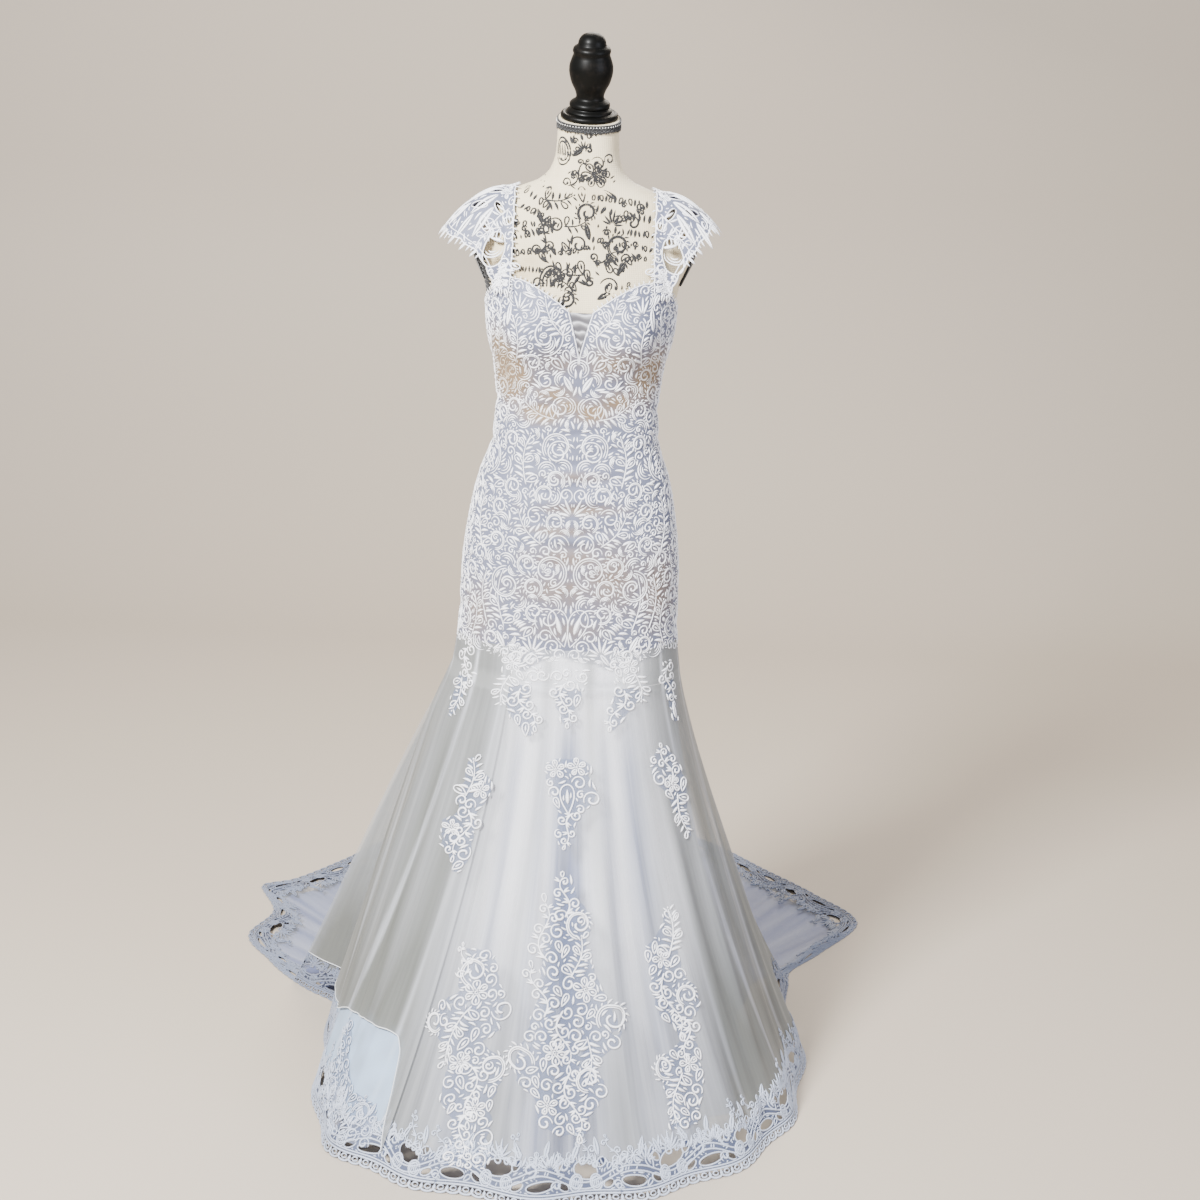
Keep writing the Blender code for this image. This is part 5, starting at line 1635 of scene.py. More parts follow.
@dataclass
class FittedLace:
    """The cups, the midriff, the sides, the back and the hips, and the corded lace all over them."""

    body: BodyShape
    across_step: float = 4.5  # millimetres between points of the cloth
    up_step: float = 4.0
    chart: BodyChart = field(init=False)
    # the champagne lining with painted shade: strongest beside the bust where shade falls, and some at the
    # sides and back
    lining_and_shade_places: tuple[LiningAndShade, ...] = (
        LiningAndShade(-62, 1.176, 20, 0.050, 1.5), LiningAndShade(-34, 1.112, 22, 0.017, 1.0),
        LiningAndShade(-6, 1.124, 20, 0.015, 0.9), LiningAndShade(16, 1.116, 20, 0.017, 1.0),
        LiningAndShade(38, 1.132, 18, 0.019, 0.9), LiningAndShade(60, 1.172, 18, 0.046, 1.0),
        LiningAndShade(-22, 1.142, 22, 0.015, 0.8), LiningAndShade(28, 1.192, 24, 0.026, 0.7),
        LiningAndShade(-18, 1.190, 24, 0.022, 0.5), LiningAndShade(0, 1.020, 30, 0.010, 0.5),
        LiningAndShade(8, 0.972, 34, 0.009, 0.7), LiningAndShade(-10, 0.940, 30, 0.008, 0.6),
        LiningAndShade(0, 0.900, 36, 0.020, 0.6), LiningAndShade(-10, 0.850, 36, 0.030, 0.55),
        LiningAndShade(30, 0.870, 24, 0.060, 0.6), LiningAndShade(60, 0.850, 16, 0.070, 0.6),
        LiningAndShade(0, 0.790, 34, 0.020, 0.45), LiningAndShade(-62, 0.800, 14, 0.060, 0.5),
        LiningAndShade(120, 1.140, 30, 0.040, 0.5), LiningAndShade(-120, 1.140, 30, 0.040, 0.5),
        LiningAndShade(180, 0.900, 40, 0.050, 0.35),
    )

    side_panels = (  # on both sides: angles, lower and upper seam (None is the bodice's edge) and slot
        ("side", 60, 120, WAIST_SEAM, None, "champagne"),
        ("back", 120, 180, WAIST_SEAM, None, "lace"),
        ("hip_side", 40, 120, FLARE_TOP, WAIST_SEAM, "lace"),
        ("hip_back", 120, 180, FLARE_TOP, WAIST_SEAM, "lace"),
    )

    def __post_init__(self) -> None:
        """Measures the cloth for its lace."""
        self.chart = BodyChart(self.body, FLARE_TOP - 0.02, 1.33)

    def lining_and_shade(self, angle: Array, height: Array) -> Array:
        """How far the champagne lining and its painted shade show through, from 0 to 1."""
        out = np.zeros(np.broadcast(angle, height).shape)
        for place in self.lining_and_shade_places:
            a = wrapped(angle - place.angle) / place.half_angle
            h = (height - place.height) / place.half_height
            out = np.maximum(out, place.strength * np.exp(-(a * a + h * h)))
        return out

    def build(self) -> None:
        """Cuts the panels and sews the lace on them."""
        self.cups()
        self.inset()
        self.panel("midriff", -60, 60, WAIST_SEAM, CUP_SEAM, "champagne")
        for word, side in (("left", -1), ("right", 1)):
            for part, near, far, low, high, slot in self.side_panels:
                self.panel(f"{part}_{word}", *sorted((side * near, side * far)), low, high, slot)
        self.panel("hip_front", -40, 40, FLARE_TOP, WAIST_SEAM, "lace")
        self.lace()

    def panel(self, name: str, start: float, end: float, low: float, high: float | None, slot: str) -> None:
        """A panel between two angles, from a seam up to another or to the bodice's edge.

        Args:
            name: of the solid it stands for.
            start: its first angle.
            end: its last angle.
            low: its lower seam.
            high: its upper seam, or None for the edge.
            slot: the record's material slot.
        """
        columns = max(4, int((end - start) * math.radians(1) * 0.14 / (self.across_step * MM)))
        angles = np.linspace(start, end, columns)[:, None]
        rows = max(4, int(((high or 1.29) - low) / (self.up_step * MM)))
        share = np.linspace(0, 1, rows)[None, :]
        top = self.body.bodice_top(np.abs(angles)) if high is None else high
        self.cloth(name, np.broadcast_to(angles, (columns, rows)), low + (top - low) * share, slot)

    def cups(self) -> None:
        """The two cups, whose inner edges open to the notch."""
        side_edge = 60
        for name, side in (("cup_left", -1), ("cup_right", 1)):
            across = np.linspace(0, 1, 30)[:, None]
            top_angle = NOTCH_ANGLE + (side_edge - NOTCH_ANGLE) * across
            height = CUP_SEAM + (self.body.bodice_top(top_angle) - CUP_SEAM) * np.linspace(0, 1, 36)[None, :]
            opened = NOTCH_ANGLE * np.clip((height - NOTCH_POINT) / (NOTCH_TOP - NOTCH_POINT), 0, 1)
            inner = np.maximum(opened, 0.02)
            self.cloth(name, side * (inner + (side_edge - inner) * across), height, "lace")

    def cloth(self, name: str, angle: Array, height: Array, slot: str) -> None:
        """A piece of lace cloth on the body, with its champagne lining and painted shade, and its cut
        measured.
        """
        points, normals = self.body.cloth(SKIN_GAP)(angle, height)
        vertices, faces, used = ClothGrid(points, normals).wall(CLOTH)
        obj = new_piece(name + "_cloth", vertices, faces, slot, LACE.material(), sharp=50)
        # The champagne lining and its painted shade.
        paint(obj, "lining_and_shade", self.lining_and_shade(angle, height).ravel()[used])
        paint(obj, "bare", 1 - eased(height - self.lace_edge(angle), -3 * MM, 3 * MM).ravel()[used])
        around, down = np.broadcast_arrays(angle, height)
        Skirt.dye(obj, around.ravel()[used], np.zeros(len(used)))
        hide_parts(name)
        width, length = spans_of(points)
        area = min(area_of(points), width * length)

    def inset(self) -> None:
        """The illusion net in the notch, pressed into level folds."""
        across = np.linspace(-1, 1, 13)[:, None]
        height = np.linspace(NOTCH_POINT + 6 * MM, NOTCH_TOP - 1 * MM, 49)[None, :]
        opened = notch_opening(height) - math.degrees(SEAM_GAP / 2 / 0.1)
        waving = 0.10 * across + 0.10 * np.sin(3.1 * across + 170 * height)
        ridge = ((height - NOTCH_POINT) / 0.0128 + waving) % 1.0
        ridge = np.where(ridge < 0.72, ridge / 0.72, (1 - ridge) / 0.28) ** 3.4
        points, normals = self.body.form(across * opened, height)
        points = points + normals * (SKIN_GAP - 0.4 * MM + 1.6 * MM * ridge * (1 - across**6))[..., None]
        vertices, faces, used = ClothGrid(points, normals).wall(1.0 * MM)
        obj = new_piece("notch_inset_net", vertices, faces, "illusion", INSET.material(), sharp=60)
        paint(obj, "ridge", np.broadcast_to(ridge, points.shape[:2]).ravel()[used])
        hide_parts("notch_inset")
        area = max(0.00073, area_of(points))

    @staticmethod
    def lace_edge(angle: Array) -> Array:
        """The height where the lace of the hips ends over the tulle, in rounded scallops."""
        around = wrapped(angle)
        scallop = np.abs(np.sin(np.radians(around * 5.0 + 25)))
        return 0.752 - 0.011 * scallop - 0.022 * np.exp(-(((np.abs(around) - 32) / 9) ** 2))

    def allowed(self, x: Array, y: Array) -> Array:
        """Where the lace may be: on the right half of the bodice and the hips, clear of the notch."""
        angle = self.chart.angle(x, y)
        reach = self.chart.reach_at(y)
        notch = notch_opening(y)
        edge = self.lace_edge(angle)
        inside = (y > edge) & (y < self.body.bodice_top(np.abs(angle)) - 2 * MM) & (x < reach - 3 * MM)
        return inside & (np.abs(angle) > notch + 1.5) & (x > 1.2 * MM)

    figures = (  # on the right half, x from the centre front and y up from the floor
        # cups: a frond along the neckline, a scroll over the bust, drops beside the notch
        Place(Motif.FROND, 22, 1228, -24, 62), Place(Motif.SCROLL, 62, 1204, 24, 58),
        Place(Motif.FLOWER, 63, 1217, 0, 26), Place(Motif.FROND, 98, 1186, -8, 66, True),
        Place(Motif.LEAF, 116, 1240, 14, 34), Place(Motif.FAN, 92, 1262, 4, 26),
        Place(Motif.DROP, 12, 1190, -26, 22), Place(Motif.DROP, 22, 1180, -44, 24),
        Place(Motif.CURL, 40, 1174, -60, 28), Place(Motif.LEAF, 36, 1262, -50, 26),
        Place(Motif.LEAF, 64, 1282, -76, 24), Place(Motif.CURL, 34, 1242, -30, 22),
        # midriff and waist: crossing curls
        Place(Motif.CURL, 6, 1126, -14, 36), Place(Motif.FROND, 32, 1104, -58, 54),
        Place(Motif.LEAF, 7, 1146, -30, 28), Place(Motif.SCROLL, 80, 1098, 60, 46, True),
        Place(Motif.FAN, 52, 1148, 12, 28), Place(Motif.FROND, 12, 1108, -80, 40),
        # tummy and hips: a fan at the centre, paired scrolls, long fronds at the sides
        Place(Motif.SCROLL, 38, 1042, 30, 48, True), Place(Motif.FROND, 72, 1004, 8, 74),
        Place(Motif.CURL, 7, 1062, -24, 40), Place(Motif.FAN, 0, 962, 0, 32),
        Place(Motif.CURL, 3, 918, 2, 36), Place(Motif.CURL, 42, 966, -24, 30),
        Place(Motif.FROND, 44, 918, -34, 60), Place(Motif.SCROLL, 40, 852, 18, 58),
        Place(Motif.FLOWER, 41, 866, 0, 24), Place(Motif.LEAF, 7, 880, -24, 34),
        Place(Motif.LEAF, 9, 846, -10, 30), Place(Motif.SCROLL, 88, 880, 200, 54),
        Place(Motif.FROND, 84, 906, 6, 84, True), Place(Motif.FROND, 98, 788, 2, 88),
        Place(Motif.DROP, 4, 764, -16, 60), Place(Motif.LEAF, 10, 776, -16, 26),
        Place(Motif.CURL, 44, 790, -50, 42, True), Place(Motif.FROND, 64, 772, -20, 64),
        Place(Motif.FAN, 52, 752, 10, 30), Place(Motif.CURL, 26, 752, -70, 26, True),
        Place(Motif.FLOWER, 76, 738, 0, 28), Place(Motif.LEAF, 66, 736, 40, 24),
        Place(Motif.LEAF, 96, 756, -30, 28),
        # sides and back
        Place(Motif.SCROLL, 150, 1010, 10, 56), Place(Motif.FROND, 142, 900, 4, 88),
        Place(Motif.SCROLL, 176, 820, 190, 60), Place(Motif.FROND, 162, 756, 0, 74, True),
        Place(Motif.FROND, 150, 1130, 6, 66), Place(Motif.SCROLL, 190, 1180, 0, 50),
        Place(Motif.FROND, 214, 900, -4, 90), Place(Motif.SCROLL, 236, 1060, 20, 56, True),
        Place(Motif.FROND, 236, 770, 4, 80), Place(Motif.SCROLL, 266, 900, 180, 54),
        Place(Motif.FROND, 244, 1190, -6, 60), Place(Motif.FLOWER, 226, 1150, 0, 28),
        Place(Motif.FROND, 126, 990, 6, 70), Place(Motif.FROND, 128, 790, 2, 80),
        Place(Motif.FROND, 136, 1190, 4, 56),
    )

    @staticmethod
    def flow(x: float, y: float) -> float:
        """The way that small figures point: in slow curves, and more upright at the sides."""
        waves = 60 * math.sin(x * 38) * math.cos(y * 27) + 20 * math.sin(y * 61)
        return waves * math.exp(-((x / 0.16) ** 2)) + 8

    def lace(self) -> None:
        """Lays the listed large figures, fills between them, and sews all of it on both halves."""
        work = LaceWork(half_width=1.0 * MM, step=3.0 * MM)
        ground = Ground((0.0, FLARE_TOP), (float(self.chart.reach.max()), 1.312), self.allowed)
        strokes = ground.lay(work, self.figures, 0.9 * MM, lambda stroke: ground.crowded([stroke]) < 0.3)
        rounds = (
            (Motif.SCROLL, 28, 34, 20), (Motif.ARCS, 24, 32, 12), (Motif.CURL, 16, 22, 12),
            (Motif.ARCS, 15, 20, 7), (Motif.CURL, 10, 13, 7), (Motif.COMMA, 12, 16, 4.6),
            (Motif.COMMA, 7.5, 10, 3.4), (Motif.COMMA, 4.5, 6, 3.4),
        )
        strokes += ground.fill(work, rounds, self.flow, seed=11, clearance=1.0 * MM, limit=0.16)
        strokes += self.edging(work)
        surface = self.body.cloth(SKIN_GAP + CLOTH)

        def on_cloth(x: Array, y: Array) -> tuple[Array, Array]:
            """The cloth by the distance across from the centre front and the height."""
            return surface(self.chart.angle(x, y), y)

        both = strokes + [s.mirrored() for s in strokes]
        zones = [(part, front) for part in ("bodice", "hip") for front in (True, False)]
        for part, front in zones:
            name = f"{part}_lace_cords_{'front' if front else 'back'}"
            chosen = []
            for s in both:
                x, y = s.line[len(s.line) // 2]
                if (y >= WAIST_SEAM) == (part == "bodice") and (abs(x) < FRONT_HALF) == front:
                    chosen.append(s.thinned() if abs(x) > BEHIND_SIDE else s)
            cords = sew_cords(name, chosen, on_cloth, CORD)
            x, y, z = places_of(cords).T
            # Painted shade on the cords, where the cloth under them is most shaded.
            lining_and_shade_tone = self.lining_and_shade(np.degrees(np.arctan2(x, -y)), z)
            paint(cords, "lining_and_shade", np.clip(0.9 * lining_and_shade_tone - 0.3, 0, 1))
            log.info("%s: %d cords", name, len(chosen))

    def edging(self, work: LaceWork) -> list[Stroke]:
        """A cord along the bodice's upper edge and round the notch, with small leaves over it."""
        angles = np.linspace(NOTCH_ANGLE, 179.5, 240)
        tops = self.body.bodice_top(angles)
        x = np.arange(0, float(self.chart.reach.max()), 1 * MM)
        line = []
        for angle, top in zip(angles, tops):
            across = np.interp(angle, self.chart.angle(x, np.full(len(x), top)), x)
            line.append((across, top - 1.2 * MM))
        line = np.array(line)
        strokes = [work.cord(line)]
        even = resampled(line, 7.5 * MM)
        for i, (a, b) in enumerate(zip(even, even[1:])):
            turn = math.degrees(math.atan2(b[1] - a[1], b[0] - a[0]))
            turn = turn - 30 + 8 * (i % 3)
            strokes += [s.placed(tuple((a + b) / 2), turn, True) for s in work.comma(5.5 * MM)]
        notch = [(1.0 * MM, NOTCH_POINT - 14 * MM)]
        for height in np.linspace(NOTCH_POINT, NOTCH_TOP, 8):
            opened = notch_opening(height) + 0.9
            across = np.interp(opened, self.chart.angle(x, np.full(len(x), height)), x)
            notch.append((float(across), float(height)))
        return [*strokes, work.cord(np.array(notch))]


# ---- Cap sleeves -----------------------------------------------------------------------------
@dataclass(frozen=True)
class Window:
    """An opening of the lace: an ellipse on the flat, in millimetres, turned by degrees."""

    x: float
    y: float
    half_long: float
    half_short: float
    turn: float

    def distance(self, x: Array, y: Array) -> Array:
        """About how far places are outside the opening, in metres."""
        t = math.radians(self.turn)
        dx, dy = x - self.x * MM, y - self.y * MM
        along = (dx * math.cos(t) + dy * math.sin(t)) / (self.half_long * MM)
        across = (-dx * math.sin(t) + dy * math.cos(t)) / (self.half_short * MM)
        return (np.sqrt(along**2 + across**2) - 1) * self.half_short * MM

    def outline(self, work: LaceWork) -> Stroke:
        """A cord round the opening."""
        a = np.linspace(0, math.tau, 30)
        t = math.radians(self.turn)
        grow = 0.9
        x, y = (self.half_long + grow) * np.cos(a), (self.half_short + grow) * np.sin(a)
        turned = np.stack([x * math.cos(t) - y * math.sin(t), x * math.sin(t) + y * math.cos(t)], -1)
        return work.cord((np.array([self.x, self.y]) + turned) * MM)


def snapped(u: Array, v: Array, field_of: Callable[[Array, Array], Array],
            step: float) -> tuple[Array, Array, Array]:
    """Moves the points of a grid that are near an opening's edge onto it.

    Args:
        u: first coordinate of the points, in metres.
        v: second coordinate.
        field_of: how far inside the cloth a place is, less than 0 in an opening.
        step: the grid's spacing.

    Returns:
        The moved coordinates, and which cells are cloth.
    """
    depth = field_of(u, v)
    e = 0.2 * MM
    gu = (field_of(u + e, v) - field_of(u - e, v)) / (2 * e)
    gv = (field_of(u, v + e) - field_of(u, v - e)) / (2 * e)
    slope = np.maximum(gu * gu + gv * gv, 1e-6)
    near = np.abs(depth) < 0.62 * step * np.sqrt(slope)
    u, v = u - np.where(near, depth * gu / slope, 0), v - np.where(near, depth * gv / slope, 0)
    inside = (depth >= 0) | near
    kept = inside[:-1, :-1] & inside[1:, :-1] & inside[:-1, 1:] & inside[1:, 1:]
    middle = field_of((u[:-1, :-1] + u[1:, 1:]) / 2, (v[:-1, :-1] + v[1:, 1:]) / 2)
    return u, v, kept & (middle > 0)


@dataclass
class CapSleeve:
    """One cap sleeve, the strap too: open lace with a scalloped outer edge."""

    body: BodyShape
    name: str
    side: int
    step: float = 2.6  # millimetres between points
    widest: float = 0.106
    cut_width: float = 0.107
    windows: tuple[Window, ...] = (
        Window(-98, 29, 25, 16.0, -12), Window(-62, 10, 8, 3.4, 84), Window(-60, 44, 11, 3.6, 30),
        Window(-46, 24, 9, 3.2, 40), Window(-34, 52, 12, 3.4, 62), Window(-20, 30, 10, 3.2, 74),
        Window(-8, 62, 11, 3.2, 84), Window(2, 28, 9, 3.2, 88), Window(18, 54, 11, 3.4, 108),
        Window(28, 26, 9, 3.2, 116), Window(44, 44, 10, 3.6, 130), Window(62, 22, 10, 3.6, 150),
        Window(92, 24, 13, 6.0, 112), Window(-128, 13, 8, 3.2, 10), Window(128, 13, 8, 3.2, -10),
    )
    figures: tuple[Place, ...] = (
        Place(Motif.FLOWER, -26, 3, 0, 20), Place(Motif.LEAF, -30, 26, 14, 40),
        Place(Motif.LEAF, -44, 32, 38, 38), Place(Motif.LEAF, -14, 26, -4, 46),
        Place(Motif.LEAF, 4, 24, -16, 44), Place(Motif.LEAF, -22, 64, 6, 32),
        Place(Motif.LEAF, -2, 70, -6, 30), Place(Motif.LEAF, -42, 60, 24, 28),
        Place(Motif.LEAF, 20, 62, -20, 28), Place(Motif.FROND, 16, 10, -34, 44, True),
        Place(Motif.FROND, -48, 8, 46, 44), Place(Motif.LEAF, 38, 40, -30, 28),
        Place(Motif.ARCS, -100, 16, 0, 30), Place(Motif.COMMA, -86, 14, -4, 22),
        Place(Motif.CURL, -132, 8, 20, 24), Place(Motif.FROND, -120, 4, 84, 50),
        Place(Motif.FROND, -68, 20, 24, 36), Place(Motif.FROND, 56, 6, 14, 40),
        Place(Motif.LEAF, 78, 6, 0, 26), Place(Motif.FLOWER, -142, 4, 0, 24),
        Place(Motif.FLOWER, -166, 2, 0, 22), Place(Motif.LEAF, -152, 20, 60, 26),
        Place(Motif.LEAF, -176, 20, 90, 24), Place(Motif.LEAF, -178, 8, 104, 22),
        Place(Motif.LEAF, -176, 14, 96, 20), Place(Motif.FLOWER, 144, 4, 0, 24),
        Place(Motif.LEAF, 168, 6, -90, 24), Place(Motif.LEAF, 168, 16, -84, 24),
        Place(Motif.CURL, 112, 4, 0, 24),
    )

    @staticmethod
    def outer_scallop(x: Array) -> Array:
        """How far the outer edge swings out in its scallops."""
        return 2.6 * MM * np.abs(np.sin(x / (9.5 * MM))) ** 0.7

    @staticmethod
    def inner_scallop(x: Array) -> Array:
        """How far the inner edge is nicked."""
        return 1.4 * MM * np.abs(np.sin(x / (6 * MM)))

    def build(self) -> None:
        """Cuts the sleeve and sews its lace on."""
        shape = SleeveShape(self.body, self.side)
        half = shape.mean_radius * math.pi / 2
        columns = int(2 * half / (self.step * MM)) + 1
        rows = int(self.widest / (self.step * MM)) + 1
        along = np.linspace(-half + 0.2 * MM, half - 0.2 * MM, columns)
        u = np.broadcast_to(along[:, None], (columns, rows)).copy()
        v = shape.reach(along)[:, None] * np.linspace(0, 1, rows)[None, :]

        def depth(x: Array, y: Array) -> Array:
            """How far inside the lace a place is."""
            outer = shape.reach(x) - 3.0 * MM + self.outer_scallop(x)
            inside = np.minimum(outer - y, y - self.inner_scallop(x))
            end = half - 3 * MM - 5 * MM * np.abs(np.sin(y / (5 * MM)))
            inside = np.minimum(inside, end - np.abs(x))
            for window in self.windows:
                inside = np.minimum(inside, window.distance(x, y))
            return inside

        u, v, kept = snapped(u, v, depth, self.step * MM)
        points, normals = shape.surface(0.0)(u, v)
        vertices, faces, used = ClothGrid(points, normals, kept).wall(1.2 * MM)
        cloth = new_piece(self.name + "_cloth", vertices, faces, "lace", LACE.material(), sharp=50)
        # No lining or painted shade on the sleeves.
        paint(cloth, "lining_and_shade", np.zeros(len(used)))
        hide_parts(self.name)
        work = LaceWork(half_width=1.15 * MM, step=2.6 * MM)
        ground = Ground((-half, 0.0), (half, 0.11), lambda x, y: depth(x, y) > 0.6 * MM)
        strokes = [window.outline(work) for window in self.windows]
        ground.take(strokes, 0.8 * MM)
        strokes += ground.lay(work, self.figures, 1.3 * MM)
        rounds = (
            (Motif.CURL, 11, 15, 9), (Motif.COMMA, 8, 12, 5), (Motif.COMMA, 5, 7, 4.5),
            (Motif.GRAIN, 2.4, 3.2, 4.5),
        )
        strokes += ground.fill(work, rounds, lambda x, y: -x * 420, seed=21, clearance=1.5 * MM, limit=0.10)
        for shift, width in ((3.4, 1.1), (7.4, 0.8)):
            x = np.linspace(-half, half, 260)
            y = shape.reach(x) - shift * MM + self.outer_scallop(x) * (1 if shift < 5 else 0)
            strokes.append(work.cord(np.stack([x, y], -1), width, width))
        x = np.linspace(-half, half, 200)
        strokes.append(work.cord(np.stack([x, self.inner_scallop(x) + 0.8 * MM], -1)))
        for i, x in enumerate(np.arange(-half + 4 * MM, half, 6.4 * MM)):
            if abs(x) > 98 * MM:
                continue
            y = float(shape.reach(x)) - 4.0 * MM
            figure = (work.leaf, work.comma, work.comma)[i % 3]((11.5, 6.0, 8.0)[i % 3] * MM)
            strokes += [s.placed((x, y), -x * 260 + (-10, 14, 24)[i % 3]) for s in figure]
        for i, x in enumerate(np.arange(-half + 2 * MM, half, 8.8 * MM)):
            comma = work.comma((5.0, 6.5, 5.5)[i % 3] * MM)
            strokes += [s.placed((x, 1.5 * MM), 150 + 14 * (i % 3)) for s in comma]
        cords = sew_cords(self.name + "_cords", strokes, shape.surface(1.2 * MM), CORD)
        area = area_of(points, kept)
        log.info("%s: %d cords", self.name, len(strokes))


# ---- Skirt -----------------------------------------------------------------------------------
@dataclass(frozen=True)
class Strip:
    """A strip of tulle to join to a gore: its points, its faces and where they are on the skirt."""

    vertices: Array
    faces: Array
    around: Array
    down: Array
    area: float


@dataclass
class Skirt:
    """The tulle gores, the deep fold, the lining, the lace points and sprays, and the hem border."""

    shape: SkirtShape

    sewn_on = {  # the lace on each gore
        5: ("spray_front_upper", "spray_front_lower", "point_front"),
        6: ("spray_right_upper", "spray_right_lower", "point_right"),
        7: ("point_far_right",),
        4: ("spray_left_lower", "point_left", "hem_lace_far_left"),
        1: (), 2: (), 3: (), 8: (), 9: (),
    }
    crease_highlights = (  # painted highlights along creases of the net, drawn lighter and thinner there: angle at the top, swing on the way down, strength
        (-59, -14, 0.9), (-84, -6, 0.6), (-41, -5, 0.5), (63, 10, 0.7), (82, 4, 0.5), (50, 4, 0.4),
    )
    satin_shade_bands = (  # painted shade on the satin, along its fold valleys and on the train: angle, half width, depth
        (4, 9.5, 1.4), (-13, 5, 0.6), (28, 5, 0.5), (44, 7, 0.95), (-31, 5, 0.65), (-52, 8, 0.4),
        (-78, 14, 0.75), (-134, 26, 1.9), (75, 9, 0.6), (104, 10, 0.6), (136, 24, 1.7), (180, 14, 0.9),
    )
    strip_length = 0.06  # of the tulle under the hem border

    def build(self) -> None:
        """Builds the layers from the outside in."""
        strips = self.border()
        gores = self.gores(strips)
        sprays = self.sprays()
        self.fold([*sprays["spray_left_upper"], *sprays["point_far_left"]])
        self.lining()
        for number, names in self.sewn_on.items():
            self.declare(gores[number], [piece for name in names for piece in sprays[name]])

    def declare(self, gore: bpy.types.Object, sewn: list[bpy.types.Object]) -> None:
        """Takes a gore's cut off it again, and does nothing with the lace sewn on it."""
        width, length, area = self.cut_of(gore)

    @staticmethod
    def cut_of(panel: bpy.types.Object) -> tuple[float, float, float]:
        """Takes a panel's width, length and area off it again."""
        width, length, area = panel["cut"]
        del panel["cut"]
        return width, length, area

    def sheet_of(self, name: str, angles: Array, shares: Array, surface: Surface, finish: Finish,
                 thickness: float, strip: Strip | None = None) -> bpy.types.Object:
        """A panel of the skirt, with its cut kept on it.

        Args:
            name: the piece's name.
            angles: of its columns.
            shares: of its rows, one row for each column or one for all.
            surface: where it hangs.
            finish: its finish.
            thickness: of its wall, or 0 for net with none.
            strip: more of the same cloth, joined to it.

        Returns:
            The panel.
        """
        shares = np.broadcast_to(shares, (len(angles), np.shape(shares)[-1]))
        points, normals = surface(angles[:, None], shares)
        grid = ClothGrid(points, normals)
        vertices, faces, used = grid.wall(thickness) if thickness else grid.skin()
        vertices[:, 2] = np.maximum(vertices[:, 2], 0.0)
        around, down = np.broadcast_to(angles[:, None], shares.shape).ravel()[used], shares.ravel()[used]
        if strip:
            faces = np.concatenate([faces, strip.faces + len(vertices)])
            vertices = np.concatenate([vertices, strip.vertices])
            around, down = np.concatenate([around, strip.around]), np.concatenate([down, strip.down])
        obj = new_piece(name, vertices, faces, finish.slot, finish.material(), sharp=60)
        self.dye(obj, around, down, folded_out=strip is not None)
        width, length = spans_of(points)
        area = area_of(points) + (strip.area if strip else 0.0)
        length += self.strip_length if strip else 0.0
        obj["cut"] = [width, length, min(max(area, 0.3 * width * length), width * length)]
        return obj

    @classmethod
    def dye(cls, obj: bpy.types.Object, angle: Array, share: Array, folded_out: bool = False) -> None:
        """Keeps what the skirt's materials read at each point.

        Args:
            obj: the panel.
            angle: round the pole, of each point.
            share: down the skirt, of each point.
            folded_out: whether the satin that is folded out below the deep fold lies on the panel.
        """
        paint(obj, "around", angle * 0.42)
        paint(obj, "down", share * 1.6)
        at = wrapped(angle - 4)
        # More layers of net, and painted shade, at the sides where the skirt turns away from the front.
        layers_and_shade = np.maximum(eased(at, 26, 60), eased(-at, 26, 56))
        layers_and_shade = layers_and_shade * (0.86 + 0.14 * np.sin(np.radians(angle * 21)) * eased(share, 0.0, 0.3))
        beside = 0.5 * np.exp(-(((at - 13) / 4) ** 2)) + 0.4 * np.exp(-(((at + 17) / 4) ** 2))
        layers_and_shade = np.maximum(layers_and_shade, beside)
        # Painted shade, darker towards the hem.
        layers_and_shade = np.minimum(layers_and_shade + 0.42 * eased(share, 0.4, 1.0), 1.3)
        layers_and_shade = layers_and_shade * (1 - 0.9 * eased(np.abs(at), 112, 128))
        layers_and_shade = layers_and_shade - 0.55 * np.exp(-((at / 11) ** 2)) * eased(share, 0.25, 0.5)
        # Painted highlights along the creases: the net is drawn lighter and thinner there.
        for middle, swing, strength in cls.crease_highlights:
            off = wrapped(angle - middle - swing * share) / 0.9
            layers_and_shade = layers_and_shade - strength * layers_and_shade * np.exp(-(off**2))
        edge = SmoothCurve(FOLD_EDGE, 1)(angle)
        folded = eased(angle, -108, -100) * eased(-angle, 37, 41) * eased(share - edge, -0.02, 0.0)
        # Painted shade of small crumples in the satin that is folded out.
        crumple_shade = np.sin(np.radians(angle * 23) + 9 * share) * np.sin(70 * share + np.radians(angle * 5))
        folded = folded * (1 - eased(share, 0.94, 0.97)) * folded_out * (0.86 + 0.14 * crumple_shade)
        paint(obj, "folded", folded)
        closer = 0.75 * np.exp(-((share / 0.012) ** 2)) + 0.9 * folded
        paint(obj, "seam", closer - 0.16 * eased(np.abs(at), 112, 128))
        paint(obj, "layers_and_shade", layers_and_shade)
        # Painted shade on the satin: along the valleys of its folds, on the train, and darker towards the
        # hem.
        painted_satin_shade = np.full(np.shape(angle), 0.10)
        for middle, half, depth in cls.satin_shade_bands:
            painted_satin_shade = np.maximum(painted_satin_shade, depth * np.exp(-((wrapped(angle - middle - 3 * share) / half) ** 2)))
        paint(obj, "painted_satin_shade", painted_satin_shade * eased(share, -0.05, 0.25) + 0.45 * eased(share, 0.45, 0.9))

